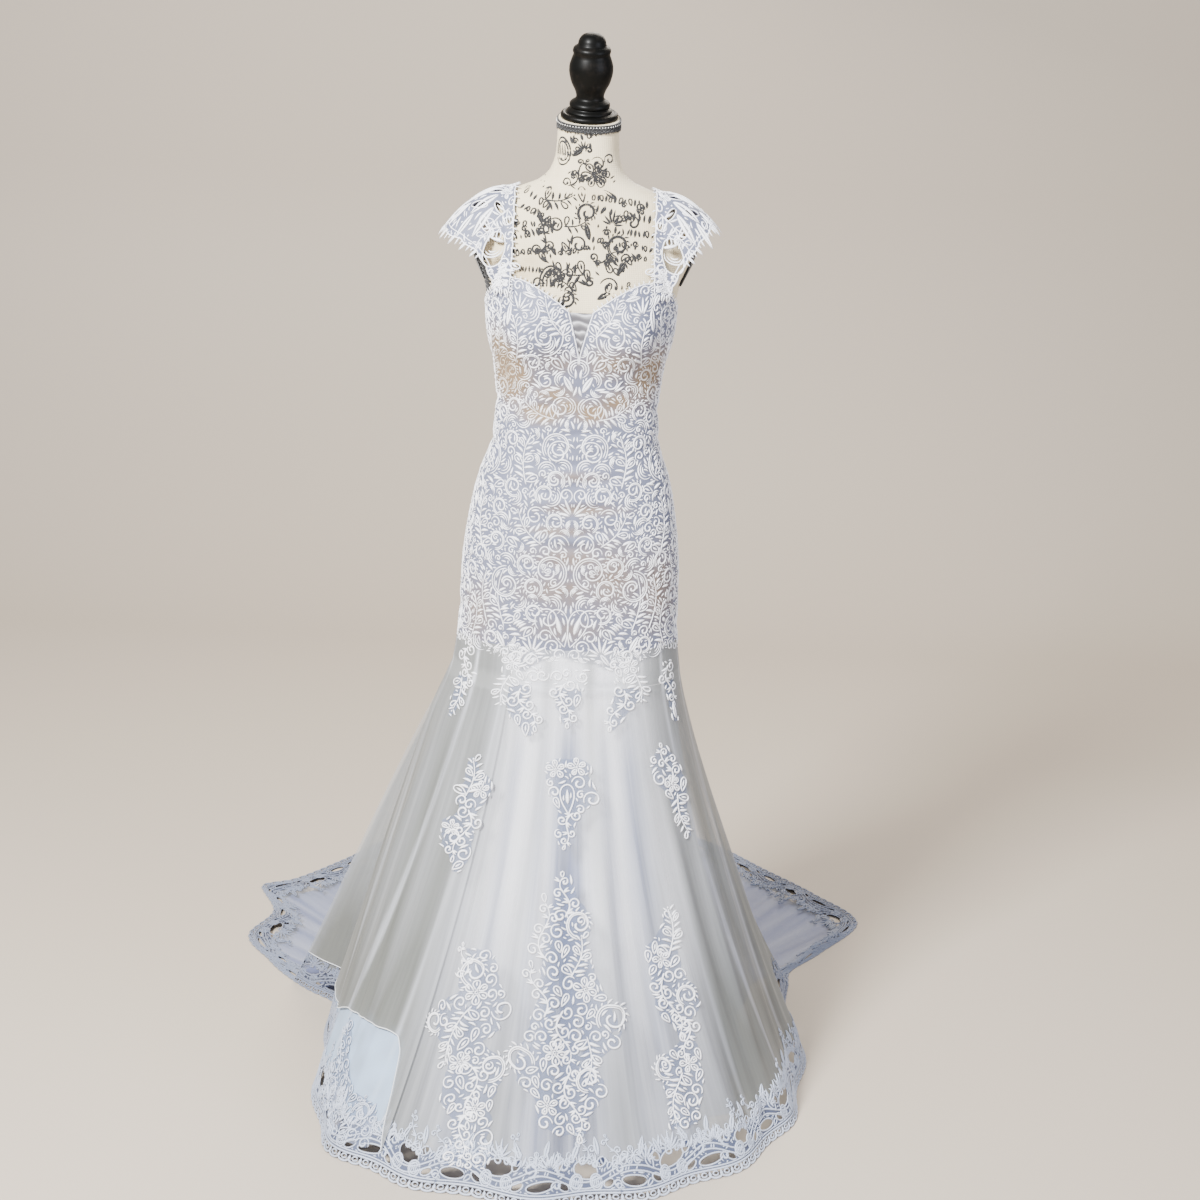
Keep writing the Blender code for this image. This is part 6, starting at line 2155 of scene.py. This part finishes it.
    def gores(self, strips: dict[int, Strip]) -> dict[int, bpy.types.Object]:
        """The nine gores of tulle, each with the strip of it that its hem border is sewn on."""
        made = {}
        surface = self.shape.sewn_tulle(0.7 * MM)
        shares = np.concatenate([np.linspace(-0.078, -0.002, 6), np.linspace(0, BORDER_FROM, 46)])
        for number, (start, end) in enumerate(zip(GORES, GORES[1:]), 1):
            angles = np.linspace(start, end, 49)
            name = f"tulle_gore_{number}_net"
            obj = self.sheet_of(name, angles, shares, surface, TULLE, 0.0, strips[number])
            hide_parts(f"tulle_gore_{number}")
            made[number] = obj
        return made

    def fold(self, sewn: list[bpy.types.Object]) -> None:
        """The deep fold of tulle on the left, whose free edge is rolled."""
        edge = SmoothCurve(FOLD_EDGE, 1)
        first, last = FOLD_EDGE[0][0], FOLD_EDGE[-1][0]
        angles = np.concatenate([np.linspace(first, -45, 64), np.linspace(-44.4, last, 22)])
        bottom = edge(angles) + 0.006 * np.sin(np.radians(angles * 17)) * np.exp(-(((angles + 78) / 22) ** 2))
        shares = -0.060 + (bottom + 0.060)[:, None] * np.linspace(0, 1, 49)[None, :]
        net = self.shape.sewn_tulle(0.7 * MM)

        def surface(angle: Array, share: Array) -> tuple[Array, Array]:
            """The fold's surface, off the gores by a few millimetres."""
            off = (0.3 + 5.1 * eased(share, 0.0, 0.12)) * MM
            points, normals = net(angle, share)
            return points + normals * off[..., None], normals

        obj = self.sheet_of("tulle_fold_left_net", angles, shares, surface, TULLE, 0.0)
        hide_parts("tulle_fold_left")
        width, length, area = self.cut_of(obj)
        strokes = [Stroke(np.stack([angles, bottom], -1), np.full(len(angles), 0.9 * MM))]
        rolled = sew_cords("tulle_fold_left_edge", strokes, surface, TULLE_EDGE)
        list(sewn)

    def lining(self) -> None:
        """The satin lining in its panels, with its hem on the floor."""
        for number, (start, end) in enumerate(zip(LINING_PANELS, LINING_PANELS[1:]), 1):
            angles = np.linspace(start, end, int((end - start) / 1.25) + 1)
            shares = SATIN_SPAN[0] + (SATIN_SPAN[1] - SATIN_SPAN[0]) * np.linspace(0, 1, 46)
            obj = self.sheet_of(f"lining_{number}_satin", angles, shares, self.shape.satin, SATIN, 1.2 * MM)
            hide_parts(f"lining_{number}")
            width, length, area = self.cut_of(obj)

    def border(self) -> dict[int, Strip]:
        """The hem border, a part on each gore, and the tulle between the gore and its embroidery."""
        border = HemBorder(self.shape)
        return {
            number: border.section(number, start, end)
            for number, (start, end) in enumerate(zip(GORES, GORES[1:]), 1)
        }

    def sprays(self) -> dict[str, list[bpy.types.Object]]:
        """The lace points under the hips and the sprays on the tulle."""
        return {spray.name: spray.sew(self.shape) for spray in SPRAYS}


@dataclass(frozen=True)
class Spray:
    """A lace applique on the skirt, laid out on the flat round its own middle with y up, in millimetres."""

    name: str
    angle: float
    share: float
    lift: float
    outline: tuple[tuple[float, float, float], ...]  # y, left edge and right edge, from the bottom up
    figures: tuple[Place, ...]
    finish: LaceCord = CORD

    def edges(self, y: Array) -> tuple[Array, Array]:
        """The left and right edges of the outline at heights of the flat."""
        rows = np.array(self.outline) * MM
        return np.interp(y, rows[:, 0], rows[:, 1]), np.interp(y, rows[:, 0], rows[:, 2])

    def inside(self, x: Array, y: Array) -> Array:
        """Whether places are in the spray's outline."""
        left, right = self.edges(y)
        return (x > left) & (x < right) & (y > self.outline[0][0] * MM) & (y < self.outline[-1][0] * MM)

    @staticmethod
    def lean(x: float, y: float) -> float:
        """The way that small figures point: out from the middle, and a little this way and that."""
        return -math.copysign(40, x) + 30 * math.sin(y * 60)

    def sew(self, shape: SkirtShape) -> list[bpy.types.Object]:
        """Sews the spray on the tulle.

        Args:
            shape: the skirt.

        Returns:
            The spray's cords, and the net under them.
        """
        work = LaceWork(half_width=1.35 * MM, step=2.8 * MM)
        rows = np.array(self.outline) * MM
        ground = Ground((rows[:, 1].min(), rows[0, 0]), (rows[:, 2].max(), rows[-1, 0]), self.inside)
        strokes = ground.lay(work, self.figures, 1.0 * MM)
        rounds = (
            (Motif.CURL, 18, 24, 14), (Motif.DROP, 17, 22, 9), (Motif.CURL, 12, 16, 8),
            (Motif.COMMA, 11, 16, 5), (Motif.COMMA, 6, 9, 4.5),
        )
        strokes += ground.fill(work, rounds, self.lean, seed=len(self.name), clearance=1.7 * MM, limit=0.12)
        length = float(shape.length(self.angle))
        surface = shape.sewn_tulle(2.3 * MM, (self.lift - 2.3) * MM)

        def on_tulle(x: Array, y: Array) -> tuple[Array, Array]:
            """The tulle, or the hips above it, by places on the flat round the spray's middle."""
            share = np.minimum(self.share - y / length, 0.985)
            middle = shape.outer(np.full(np.shape(x), self.angle), np.maximum(share, 0.0))
            return surface(self.angle + np.degrees(x / np.linalg.norm(middle[..., :2], axis=-1)), share)

        obj = sew_cords(self.name + "_cords", strokes, on_tulle, self.finish)
        if self.name in frame["nodes"]:
            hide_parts(self.name)
        log.info("%s: %d cords", self.name, len(strokes))
        return [obj, self.backing(on_tulle)]

    def backing(self, on_tulle: Surface) -> bpy.types.Object:
        """The fine net that the spray is worked on, cut a little inside its outline, dark blue-grey as
        painted shade between the cords.

        Args:
            on_tulle: the surface that the spray lies on.

        Returns:
            The net.
        """
        low, high = self.outline[0][0] * MM, self.outline[-1][0] * MM
        y = np.linspace(low + 2 * MM, high - 2 * MM, max(8, int((high - low) / (5 * MM))))
        left, right = self.edges(y)
        trim = np.minimum(3 * MM + 1.6 * MM * np.sin(y * 900), 0.3 * (right - left))
        across = np.linspace(0, 1, 9)[:, None]
        x = (left + trim) + (right - left - 2 * trim) * across
        points, normals = on_tulle(x, np.broadcast_to(y, x.shape))
        vertices, faces, used = ClothGrid(points - 0.5 * MM * normals, normals).skin()
        obj = new_piece(self.name + "_net", vertices, faces, "lace", SHADED_SPRAY_NET.material())
        for name in ("around", "down", "layers_and_shade", "seam", "folded"):
            paint(obj, name, np.zeros(len(used)))
        return obj


SPRAYS = (
    Spray("point_left", -31, 0.013, 2.3, (
        (-68, 16, 29), (-56, 10, 36), (-43, -9, 36), (-25, -18, 20), (-7, -29, 20), (11, -31, 16),
        (29, -31, 31), (47, -32, 32), (72, -38, 20),
    ), (Place(Motif.FLOWER, -14, 30, 0, 28), Place(Motif.CURL, 6, 50, 160, 26),
        Place(Motif.FROND, -16, 24, 176, 46), Place(Motif.VINE, 2, 6, 202, 62))),
    Spray("point_front", 2, 0.015, 2.3, (
        (-44, -8, 4), (-32, -12, 8), (-18, -20, 14), (-4, -22, 22), (11, -22, 23), (25, -27, 31),
        (42, -34, 34),
    ), (Place(Motif.CURL, -30, 34, 200, 20), Place(Motif.CURL, 12, 34, 160, 20, True),
        Place(Motif.VINE, -4, 20, 180, 60))),
    Spray("point_right", 39, 0.004, 2.3, (
        (-62, -27, -18), (-43, -31, 2), (-29, -27, 11), (-14, -18, 31), (4, -16, 23), (22, -13, 27),
        (40, -22, 25), (68, -14, 30),
    ), (Place(Motif.FLOWER, 8, 24, 0, 28), Place(Motif.CURL, -8, 50, 200, 24, True),
        Place(Motif.FROND, 16, 26, 186, 44, True), Place(Motif.VINE, 0, 0, 160, 58, True))),
    Spray("point_far_left", -66, 0.010, 7.8, (
        (-62, -12, 2), (-30, -16, 10), (0, -18, 12), (34, -14, 12), (66, -8, 10),
    ), (Place(Motif.VINE, 0, 50, 182, 60), Place(Motif.FROND, -4, 0, 176, 50, True))),
    Spray("point_far_right", 68, 0.020, 2.3, (
        (-50, -4, 10), (-20, -10, 12), (10, -14, 14), (50, -14, 14),
    ), (Place(Motif.VINE, 0, 40, 180, 56), Place(Motif.LEAF, 2, -20, 184, 24))),
    Spray("spray_front_upper", 5, 0.225, 2.3, (
        (-66, -14, -4), (-50, -24, 6), (-30, -20, 12), (-12, -22, 22), (0, -28, 40), (20, -34, 40),
        (38, -40, 30), (56, -38, 34), (66, -24, 18),
    ), (Place(Motif.FLOWER, -22, 34, 0, 28), Place(Motif.FLOWER, 10, 38, 0, 28),
        Place(Motif.DROP, -2, -18, 4, 44), Place(Motif.CURL, 22, -2, 30, 26),
        Place(Motif.VINE, 6, -16, 160, 48))),
    Spray("spray_left_upper", -45, 0.270, 7.8, (
        (-88, 6, 14), (-66, -9, 26), (-50, -26, 26), (-14, -33, 22), (4, -14, 16), (20, -22, 26),
        (40, -20, 31), (56, -18, 28), (72, -20, 4), (88, -16, -6),
    ), (Place(Motif.FROND, -8, 26, 6, 56), Place(Motif.FLOWER, 12, 26, 0, 28),
        Place(Motif.CURL, -22, -40, 20, 26), Place(Motif.VINE, 2, 8, 182, 70, True),
        Place(Motif.FLOWER, -16, -34, 0, 24))),
    Spray("spray_right_upper", 58.5, 0.220, 2.3, (
        (-76, 14, 18), (-58, 8, 22), (-38, -4, 22), (-20, -12, 26), (0, -18, 30), (18, -30, 30),
        (36, -34, 24), (54, -30, 16), (70, -12, 8),
    ), (Place(Motif.VINE, 0, 10, 2, 56), Place(Motif.FLOWER, 2, -4, 0, 28),
        Place(Motif.FROND, 8, -6, 190, 60))),
    Spray("spray_front_lower", 5, 0.610, 2.3, (
        (-192, -10, 28), (-170, -48, 32), (-135, -51, 59), (-115, -77, 56), (-90, -81, 40), (-66, -72, 72),
        (-45, -64, 80), (-20, -56, 72), (0, -50, 62), (30, -46, 48), (60, -42, 36), (84, -42, 28),
        (112, -40, 38), (130, -34, 34), (150, -22, 16), (168, -22, 10), (186, -12, 2),
    ), (Place(Motif.VINE, -6, 124, 0, 58), Place(Motif.SCROLL, 22, 92, 14, 44),
        Place(Motif.VINE, -30, 60, 8, 84, True), Place(Motif.FROND, 4, 36, -10, 60),
        Place(Motif.FLOWER, 26, 0, 0, 36), Place(Motif.SCROLL, 54, -44, -30, 48),
        Place(Motif.VINE, -36, -20, 10, 70), Place(Motif.SCROLL, -52, -96, 60, 44, True),
        Place(Motif.VINE, -8, -10, 182, 80), Place(Motif.FLOWER, -20, -86, 0, 34),
        Place(Motif.FROND, 28, -50, 176, 66, True), Place(Motif.VINE, 4, -100, 184, 90),
        Place(Motif.SCROLL, 38, -130, 20, 40), Place(Motif.FLOWER, -30, -160, 0, 30))),
    Spray("spray_left_lower", -22.5, 0.705, 2.3, (
        (-184, 8, 70), (-160, 4, 78), (-135, 6, 64), (-110, 0, 66), (-85, -22, 57), (-40, -24, 66),
        (-15, -22, 57), (5, -57, 22), (25, -66, 44), (50, -64, 44), (75, -33, 42), (100, -42, 26),
        (125, -33, 16), (140, -37, 4),
    ), (Place(Motif.SCROLL, -6, 84, 20, 46), Place(Motif.VINE, -28, 98, 10, 42),
        Place(Motif.FLOWER, -4, 58, 0, 36), Place(Motif.SCROLL, -46, 22, 90, 36),
        Place(Motif.FROND, -6, 56, 172, 90), Place(Motif.CURL, 24, 50, 200, 34, True),
        Place(Motif.SCROLL, 36, -50, -20, 44, True), Place(Motif.FLOWER, -4, -44, 0, 32),
        Place(Motif.VINE, 10, -30, 196, 84, True), Place(Motif.FLOWER, 34, -110, 0, 34),
        Place(Motif.VINE, 26, -100, 180, 70), Place(Motif.CURL, 44, -140, 20, 32))),
    Spray("hem_lace_far_left", -53, 0.880, 2.3, (
        (-62, -110, 84), (-48, -122, 88), (-30, -122, 84), (-10, -118, 78), (6, -112, 70), (20, -104, 20),
        (34, -98, -48), (60, -100, -70), (92, -104, -84),
    ), (Place(Motif.SCROLL, -70, -40, 20, 44), Place(Motif.FROND, 40, -40, 70, 60),
        Place(Motif.FLOWER, -20, -26, 0, 38), Place(Motif.VINE, -92, 0, 0, 70),
        Place(Motif.SCROLL, 30, -18, -60, 36), Place(Motif.LEAF, 0, -8, 20, 26),
        Place(Motif.LEAF, 60, -12, -10, 24), Place(Motif.CURL, -60, 0, 30, 26)), HEM_CORD),
    Spray("spray_right_lower", 38, 0.665, 2.3, (
        (-162, -58, 0), (-138, -53, 10), (-118, -42, 20), (-93, -48, 28), (-73, -50, 28), (-53, -36, 30),
        (-33, 0, 30), (-8, -6, 28), (12, -26, 48), (37, -28, 50), (62, -25, 33), (112, -24, 30),
        (137, 8, 28), (164, 18, 27),
    ), (Place(Motif.FROND, 12, 92, -6, 72), Place(Motif.FLOWER, 0, 76, 0, 30),
        Place(Motif.SCROLL, 26, 14, -10, 36), Place(Motif.VINE, 0, 70, 180, 90),
        Place(Motif.VINE, 16, 0, 176, 60, True), Place(Motif.SCROLL, -22, -82, 40, 40),
        Place(Motif.FLOWER, 8, -84, 0, 30), Place(Motif.FROND, -6, -80, 160, 76),
        Place(Motif.CURL, -16, -130, 20, 30))),
)


class HemBorder:
    """The lace border of the hem: ribbed medallions, scrolls, leaves and openings, with an edge of loops."""

    repeat = 0.284
    step = 3.4 * MM
    solid_from = 15 * MM  # the ground of the lace begins this far from the outer edge

    windows = (
        Window(22, 32, 19, 8.0, -6), Window(164, 32, 22, 7.0, 10), Window(94, 52, 24, 12.5, 12),
        Window(236, 51, 19, 13.5, -22), Window(60, 30, 9, 5.0, -38), Window(127, 30, 10, 5.5, 34),
        Window(200, 29, 9, 4.6, -34), Window(272, 30, 8, 5.0, 30), Window(124, 62, 10, 4.6, 62),
        Window(64, 62, 8, 5.0, -52), Window(192, 64, 9, 4.4, 72), Window(262, 62, 8, 5.0, 48),
        Window(8, 66, 7, 4.0, 90),
    )
    figures = (
        Place(Motif.FLOWER, 22, 57, 0, 30), Place(Motif.FLOWER, 156, 58, 0, 26),
        Place(Motif.MEDALLION, 76, 20, 0, 24), Place(Motif.MEDALLION, 110, 20, 0, 24),
        Place(Motif.MEDALLION, 218, 20, -10, 26), Place(Motif.MEDALLION, 254, 20, 8, 24),
        Place(Motif.FAN, 44, 60, -10, 28), Place(Motif.FAN, 178, 58, 14, 30),
        Place(Motif.FAN, 94, 66, 0, 30), Place(Motif.VINE, 112, 60, -16, 44),
        Place(Motif.VINE, 238, 64, 10, 46), Place(Motif.VINE, 0, 58, 20, 42),
        Place(Motif.SCROLL, 206, 48, 30, 26), Place(Motif.SCROLL, 140, 46, -30, 24, True),
        Place(Motif.DROP, 56, 44, 20, 26), Place(Motif.LEAF, 34, 70, -20, 30),
        Place(Motif.LEAF, 76, 62, 24, 30), Place(Motif.LEAF, 168, 74, -14, 28),
        Place(Motif.LEAF, 214, 66, -24, 30), Place(Motif.LEAF, 258, 70, 10, 30),
        Place(Motif.LEAF, 130, 70, 26, 28), Place(Motif.CURL, 284, 42, 60, 22),
        Place(Motif.CURL, 184, 24, 60, 18), Place(Motif.CURL, 40, 22, -60, 18),
    )

    def __init__(self, shape: SkirtShape) -> None:
        """Measures the hem and lays the lace out for one repeat.

        Args:
            shape: the skirt.
        """
        self.shape = shape
        self.angles = np.linspace(-180, 180, 1441)
        points = shape.outer(self.angles, np.full(len(self.angles), 1 - 1e-4))
        steps = np.linalg.norm(np.diff(points, axis=0), axis=1)
        self.along = np.concatenate([[0.0], np.cumsum(steps)])
        count = round(self.along[-1] / self.repeat)
        self.repeat = self.along[-1] / count
        self.pattern = self.one_repeat()

    def depth(self, x: Array, y: Array) -> Array:
        """How far inside the lace's ground a place is."""
        at = np.mod(x, self.repeat)
        inside = y - self.solid_from
        for window in self.windows:
            for shift in (-self.repeat, 0.0, self.repeat):
                inside = np.minimum(inside, window.distance(at + shift, y))
        return inside

    def inner_edge(self, x: Array) -> Array:
        """Where the embroidery ends on the net, in lobes."""
        turn = math.tau * x / self.repeat
        return (65 + 6 * np.cos(2 * turn - 2.4) + 4 * np.sin(turn) + 4 * np.abs(np.sin(5 * turn + 0.4))) * MM

    @staticmethod
    def ribbon(x: Array) -> Array:
        """The middle of the ribbed ribbon that winds between the openings."""
        return (40 + 13 * np.sin(math.tau * x / 0.142 + 0.6)) * MM

    def one_repeat(self) -> list[Stroke]:
        """The cords of one repeat."""
        work = LaceWork(half_width=1.35 * MM, step=3.2 * MM)

        def allowed(x: Array, y: Array) -> Array:
            """Where lace may be in the repeat."""
            return (y > self.solid_from + 5 * MM) & (self.depth(x, y) > 0.5 * MM) & (y < self.inner_edge(x))

        ground = Ground((0.0, 0.0), (self.repeat, 0.090), allowed)
        strokes = [window.outline(work) for window in self.windows]
        ground.take(strokes, 0.9 * MM)
        strokes += ground.lay(work, self.figures, 1.5 * MM, lambda s: s.line[:, 1].min() > self.solid_from)
        x = np.linspace(0, self.repeat, 120)
        for off in (-4.6 * MM, 4.6 * MM):
            band = work.cord(np.stack([x, self.ribbon(x) + off], -1), 1.15, 1.15)
            strokes.append(band)
            ground.take([band], 0.8 * MM)
        for at in np.arange(2 * MM, self.repeat, 4.2 * MM):
            y = float(self.ribbon(at))
            rib = work.pad(np.array([(at - 1.2 * MM, y - 3.6 * MM), (at + 1.2 * MM, y + 3.6 * MM)]), 0.9 * MM)
            strokes += [rib] if ground.crowded([rib]) < 0.5 else []
            ground.take([rib], 0.6 * MM)
        rounds = (
            (Motif.CURL, 12, 18, 9), (Motif.DROP, 11, 15, 7), (Motif.COMMA, 9, 14, 4.5),
            (Motif.COMMA, 5, 8, 4), (Motif.GRAIN, 2.6, 3.6, 5),
        )
        strokes += ground.fill(work, rounds, lambda x, y: 40 * math.sin(x * 60), seed=31,
                               clearance=0.8 * MM, limit=0.18)
        leafy = random.Random(3)
        for at in np.arange(4 * MM, self.repeat, 7.5 * MM):
            motif = leafy.choice((Motif.LEAF, Motif.COMMA, Motif.CURL, Motif.COMMA, Motif.DROP))
            drawn = work.draw(motif, leafy.uniform(12, 19) * MM)
            base = (float(at), float(self.inner_edge(at)) - 4 * MM)
            strokes += [s.placed(base, leafy.uniform(-38, 38), leafy.random() < 0.5) for s in drawn]
        x = np.linspace(0, self.repeat, 97)
        for height, width in ((15.5, 1.3), (19.8, 1.0)):
            strokes.append(work.cord(np.stack([x, np.full(len(x), height * MM)], -1), width, width))
        loops = max(1, round(self.repeat / (19.0 * MM)))
        pitch = self.repeat / loops
        for i in range(loops):
            middle = (i + 0.5) * pitch
            t = np.linspace(0, math.tau, 13)
            ring = np.stack([middle + 4.6 * MM * np.cos(t), 9.4 * MM + 3.6 * MM * np.sin(t)], -1)
            strokes.append(work.cord(ring, 1.1, 1.1))
            t = np.linspace(-0.30, math.pi + 0.30, 14)
            scallop = np.stack([middle - pitch * 0.56 * np.cos(t), 9.5 * MM - 8.0 * MM * np.sin(t)], -1)
            strokes.append(work.cord(scallop, 1.5, 1.5))
            strokes.append(self.pad_between(work, middle + pitch / 2))
        return strokes

    @staticmethod
    def pad_between(work: LaceWork, x: float) -> Stroke:
        """The stitch that ties two loops of the edge to the cords inside them."""
        return work.pad(np.array([(x, 4.0 * MM), (x, 15.5 * MM)]), 1.3 * MM)

    def angle_at(self, x: Array, y: Array) -> tuple[Array, Array]:
        """Angle and share of a place by its distance along the hem and in from it."""
        angle = np.interp(x, self.along, self.angles)
        return angle, 1 - y / self.shape.length(angle)

    def on_floor(self, lift: float) -> Surface:
        """The border's surface by the distance along the hem and in from it."""

        def surface(x: Array, y: Array) -> tuple[Array, Array]:
            """Points and unit normals."""
            angle, share = self.angle_at(x, y)
            points, normals = self.shape.lifted_tulle(0.4 * MM + lift)(angle, share)
            points[..., 2] = np.maximum(points[..., 2], (0.8 if lift else 0.2) * MM)
            return points, normals

        return surface

    @staticmethod
    def shaded(obj: bpy.types.Object) -> Array:
        """How much painted shade each point of the border gets, from 0 to 1: more the further back on the
        train it lies, and some on the left towards the front.
        """
        x, y, _ = places_of(obj).T
        return 0.85 * eased(y, -0.12, 0.20) + 0.35 * eased(-x, 0.25, 0.36) * eased(-y, -0.2, 0.12)

    def section(self, number: int, start: float, end: float) -> Strip:
        """The border of one gore.

        Args:
            number: of the gore.
            start: the gore's first angle.
            end: its last angle.

        Returns:
            The gore's tulle beside the embroidery.
        """
        low, high = (float(np.interp(a, self.angles, self.along)) for a in (start, end))
        columns = int((high - low) / self.step) + 1
        x = np.linspace(low + 0.2 * MM, high - 0.2 * MM, columns)
        angle = np.interp(x, self.along, self.angles)
        inner = self.shape.length(angle) * (1 - BORDER_FROM)
        rows = int(float(inner.max()) / self.step) + 1
        u = np.broadcast_to(x[:, None], (columns, rows)).copy()
        outer = self.solid_from * 0.6
        v = outer + (inner - outer)[:, None] * np.linspace(0, 1, rows)[None, :]
        u, v, cut = snapped(u, v, self.depth, self.step)
        u, v, inside = snapped(u, v, lambda x, y: self.inner_edge(x) - y, self.step)
        kept = cut & inside
        points, normals = self.on_floor(0.0)(u, v)
        vertices, faces, used = ClothGrid(points, normals, kept).wall(1.0 * MM)
        vertices[:, 2] = np.maximum(vertices[:, 2], 0.1 * MM)
        name = f"lace_border_{number}"
        cloth = new_piece(name + "_cloth", vertices, faces, "lace", HEM_LACE.material(), sharp=50)
        # Painted shade, deeper back on the train.
        paint(cloth, "lining_and_shade", self.shaded(cloth))
        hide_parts(name)
        strokes = []
        first, last = int(low / self.repeat) - 1, int(high / self.repeat) + 1
        for i in range(first, last + 1):
            for stroke in self.pattern:
                line = stroke.line + np.array([i * self.repeat, 0.0])
                middle = line[len(line) // 2, 0]
                if low <= middle < high and line[:, 0].min() >= 0 and line[:, 0].max() <= self.along[-1]:
                    strokes.append(Stroke(line, stroke.width))
        cords = sew_cords(name + "_cords", strokes, self.on_floor(1.0 * MM), HEM_CORD)
        # The cords get the same painted shade.
        paint(cords, "lining_and_shade", self.shaded(cords))
        width, area = high - low, area_of(points, kept)
        return self.net(u, v, cut & ~inside)

    def net(self, x: Array, y: Array, kept: Array) -> Strip:
        """The tulle between a gore and the embroidery of its hem.

        Args:
            x: distances along the hem, of a grid of points.
            y: distances in from it.
            kept: which cells of the grid are tulle.

        Returns:
            The strip.
        """
        angle, share = self.angle_at(x, y)
        points, normals = self.shape.lifted_tulle(0.7 * MM)(angle, share)
        points[..., 2] = np.maximum(points[..., 2], 0.7 * MM)
        vertices, faces, used = ClothGrid(points, normals, kept).skin()
        return Strip(vertices, faces, angle.ravel()[used], share.ravel()[used], area_of(points, kept))


# ---- Studio ----------------------------------------------------------------------------------
@dataclass
class Studio:
    """The pale floor, the soft lamps and the camera."""

    eye: tuple[float, float, float] = (0.0, -3.0, 1.65)
    pitch: float = 15.7
    roll: float = 2.4
    lens: float = 60.12
    shift: tuple[float, float] = (0.0258, -0.0011)
    air: float = 0.70  # strength of the light from all round

    def build(self) -> None:
        """Builds the floor, the lamps and the camera."""
        self.floor()
        self.lamp("key", (-1.7, -2.4, 3.1), 0.8, 560.0, "#FFFFFF")
        self.lamp("fill", (2.8, -2.4, 1.8), 2.0, 100.0, "#E6ECFF")
        self.lamp("back", (0.6, 2.4, 3.2), 2.0, 110.0, "#FFF6EA")
        world = bpy.data.worlds.new("studio_air")
        world.use_nodes = True
        world.node_tree.nodes["Background"].inputs["Color"].default_value = linear("#E8EAF0")
        world.node_tree.nodes["Background"].inputs["Strength"].default_value = self.air
        bpy.context.scene.world = world
        self.camera()

    def floor(self) -> None:
        """A pale floor that curves up into a pale wall behind the dress."""
        profile = [(-6.0, 0.0), (2.4, 0.0)]
        turns = np.linspace(0.1, math.pi / 2, 14)
        profile += [(2.4 + 1.2 * math.sin(t), 1.2 - 1.2 * math.cos(t)) for t in turns]
        profile += [(3.6, 7.0)]
        vertices = np.array([(x, y, z) for y, z in profile for x in (-7.0, 7.0)])
        faces = np.array([(2 * i, 2 * i + 1, 2 * i + 3, 2 * i + 2) for i in range(len(profile) - 1)])
        mesh = bpy.data.meshes.new("studio_floor")
        mesh.from_pydata(vertices.tolist(), [], faces.tolist())
        mesh.shade_smooth()
        mesh.materials.append(FLOOR.material())
        obj = bpy.data.objects.new("studio_floor", mesh)
        bpy.context.scene.collection.objects.link(obj)

    def lamp(self, name: str, place: tuple[float, float, float], size: float, power: float,
             colour: str) -> None:
        """A soft square lamp that faces the bodice.

        Args:
            name: the lamp's name.
            place: where it hangs.
            size: its side in metres.
            power: in watts.
            colour: of its light, as sRGB hex.
        """
        light = bpy.data.lights.new(name, "AREA")
        light.size, light.energy, light.color = size, power, linear(colour)[:3]
        obj = bpy.data.objects.new(name, light)
        aim = np.array([0.0, 0.0, 0.9]) - np.array(place)
        flat = math.hypot(aim[0], aim[1])
        obj.location = place
        obj.rotation_euler = (math.atan2(flat, -aim[2]), 0.0, math.atan2(aim[1], aim[0]) - math.pi / 2)
        bpy.context.scene.collection.objects.link(obj)

    def camera(self) -> None:
        """The camera in front of the dress, a little over its shoulders and looking down."""
        data = bpy.data.cameras.new("camera")
        data.sensor_width, data.lens = 36.0, self.lens
        data.shift_x, data.shift_y = self.shift
        obj = bpy.data.objects.new("camera", data)
        tilt = Euler((math.radians(90 - self.pitch), 0.0, 0.0)).to_matrix()
        roll = Matrix.Rotation(math.radians(self.roll), 3, "Z")
        obj.matrix_world = Matrix.Translation(self.eye) @ (tilt @ roll).to_4x4()
        bpy.context.scene.collection.objects.link(obj)
        bpy.context.scene.camera = obj


def main() -> None:
    """Builds and dresses every piece of the form and the dress."""
    logging.basicConfig(level=logging.INFO, format="%(message)s", stream=sys.stdout)
    body = BodyShape()
    DressForm(body).build()
    log.info("the form is dressed")
    FittedLace(body).build()
    log.info("the bodice and the hips are sewn")
    for word, side in (("left", -1), ("right", 1)):
        CapSleeve(body, f"cap_sleeve_{word}", side).build()
    Skirt(SkirtShape(body)).build()
    log.info("the skirt hangs")
    for obj in bpy.data.objects:
        if obj.type == "MESH" and not obj.hide_render:
            log.info("%s: %d faces", obj.name, len(obj.data.polygons))
    Studio().build()


if __name__ == "__main__":
    main()
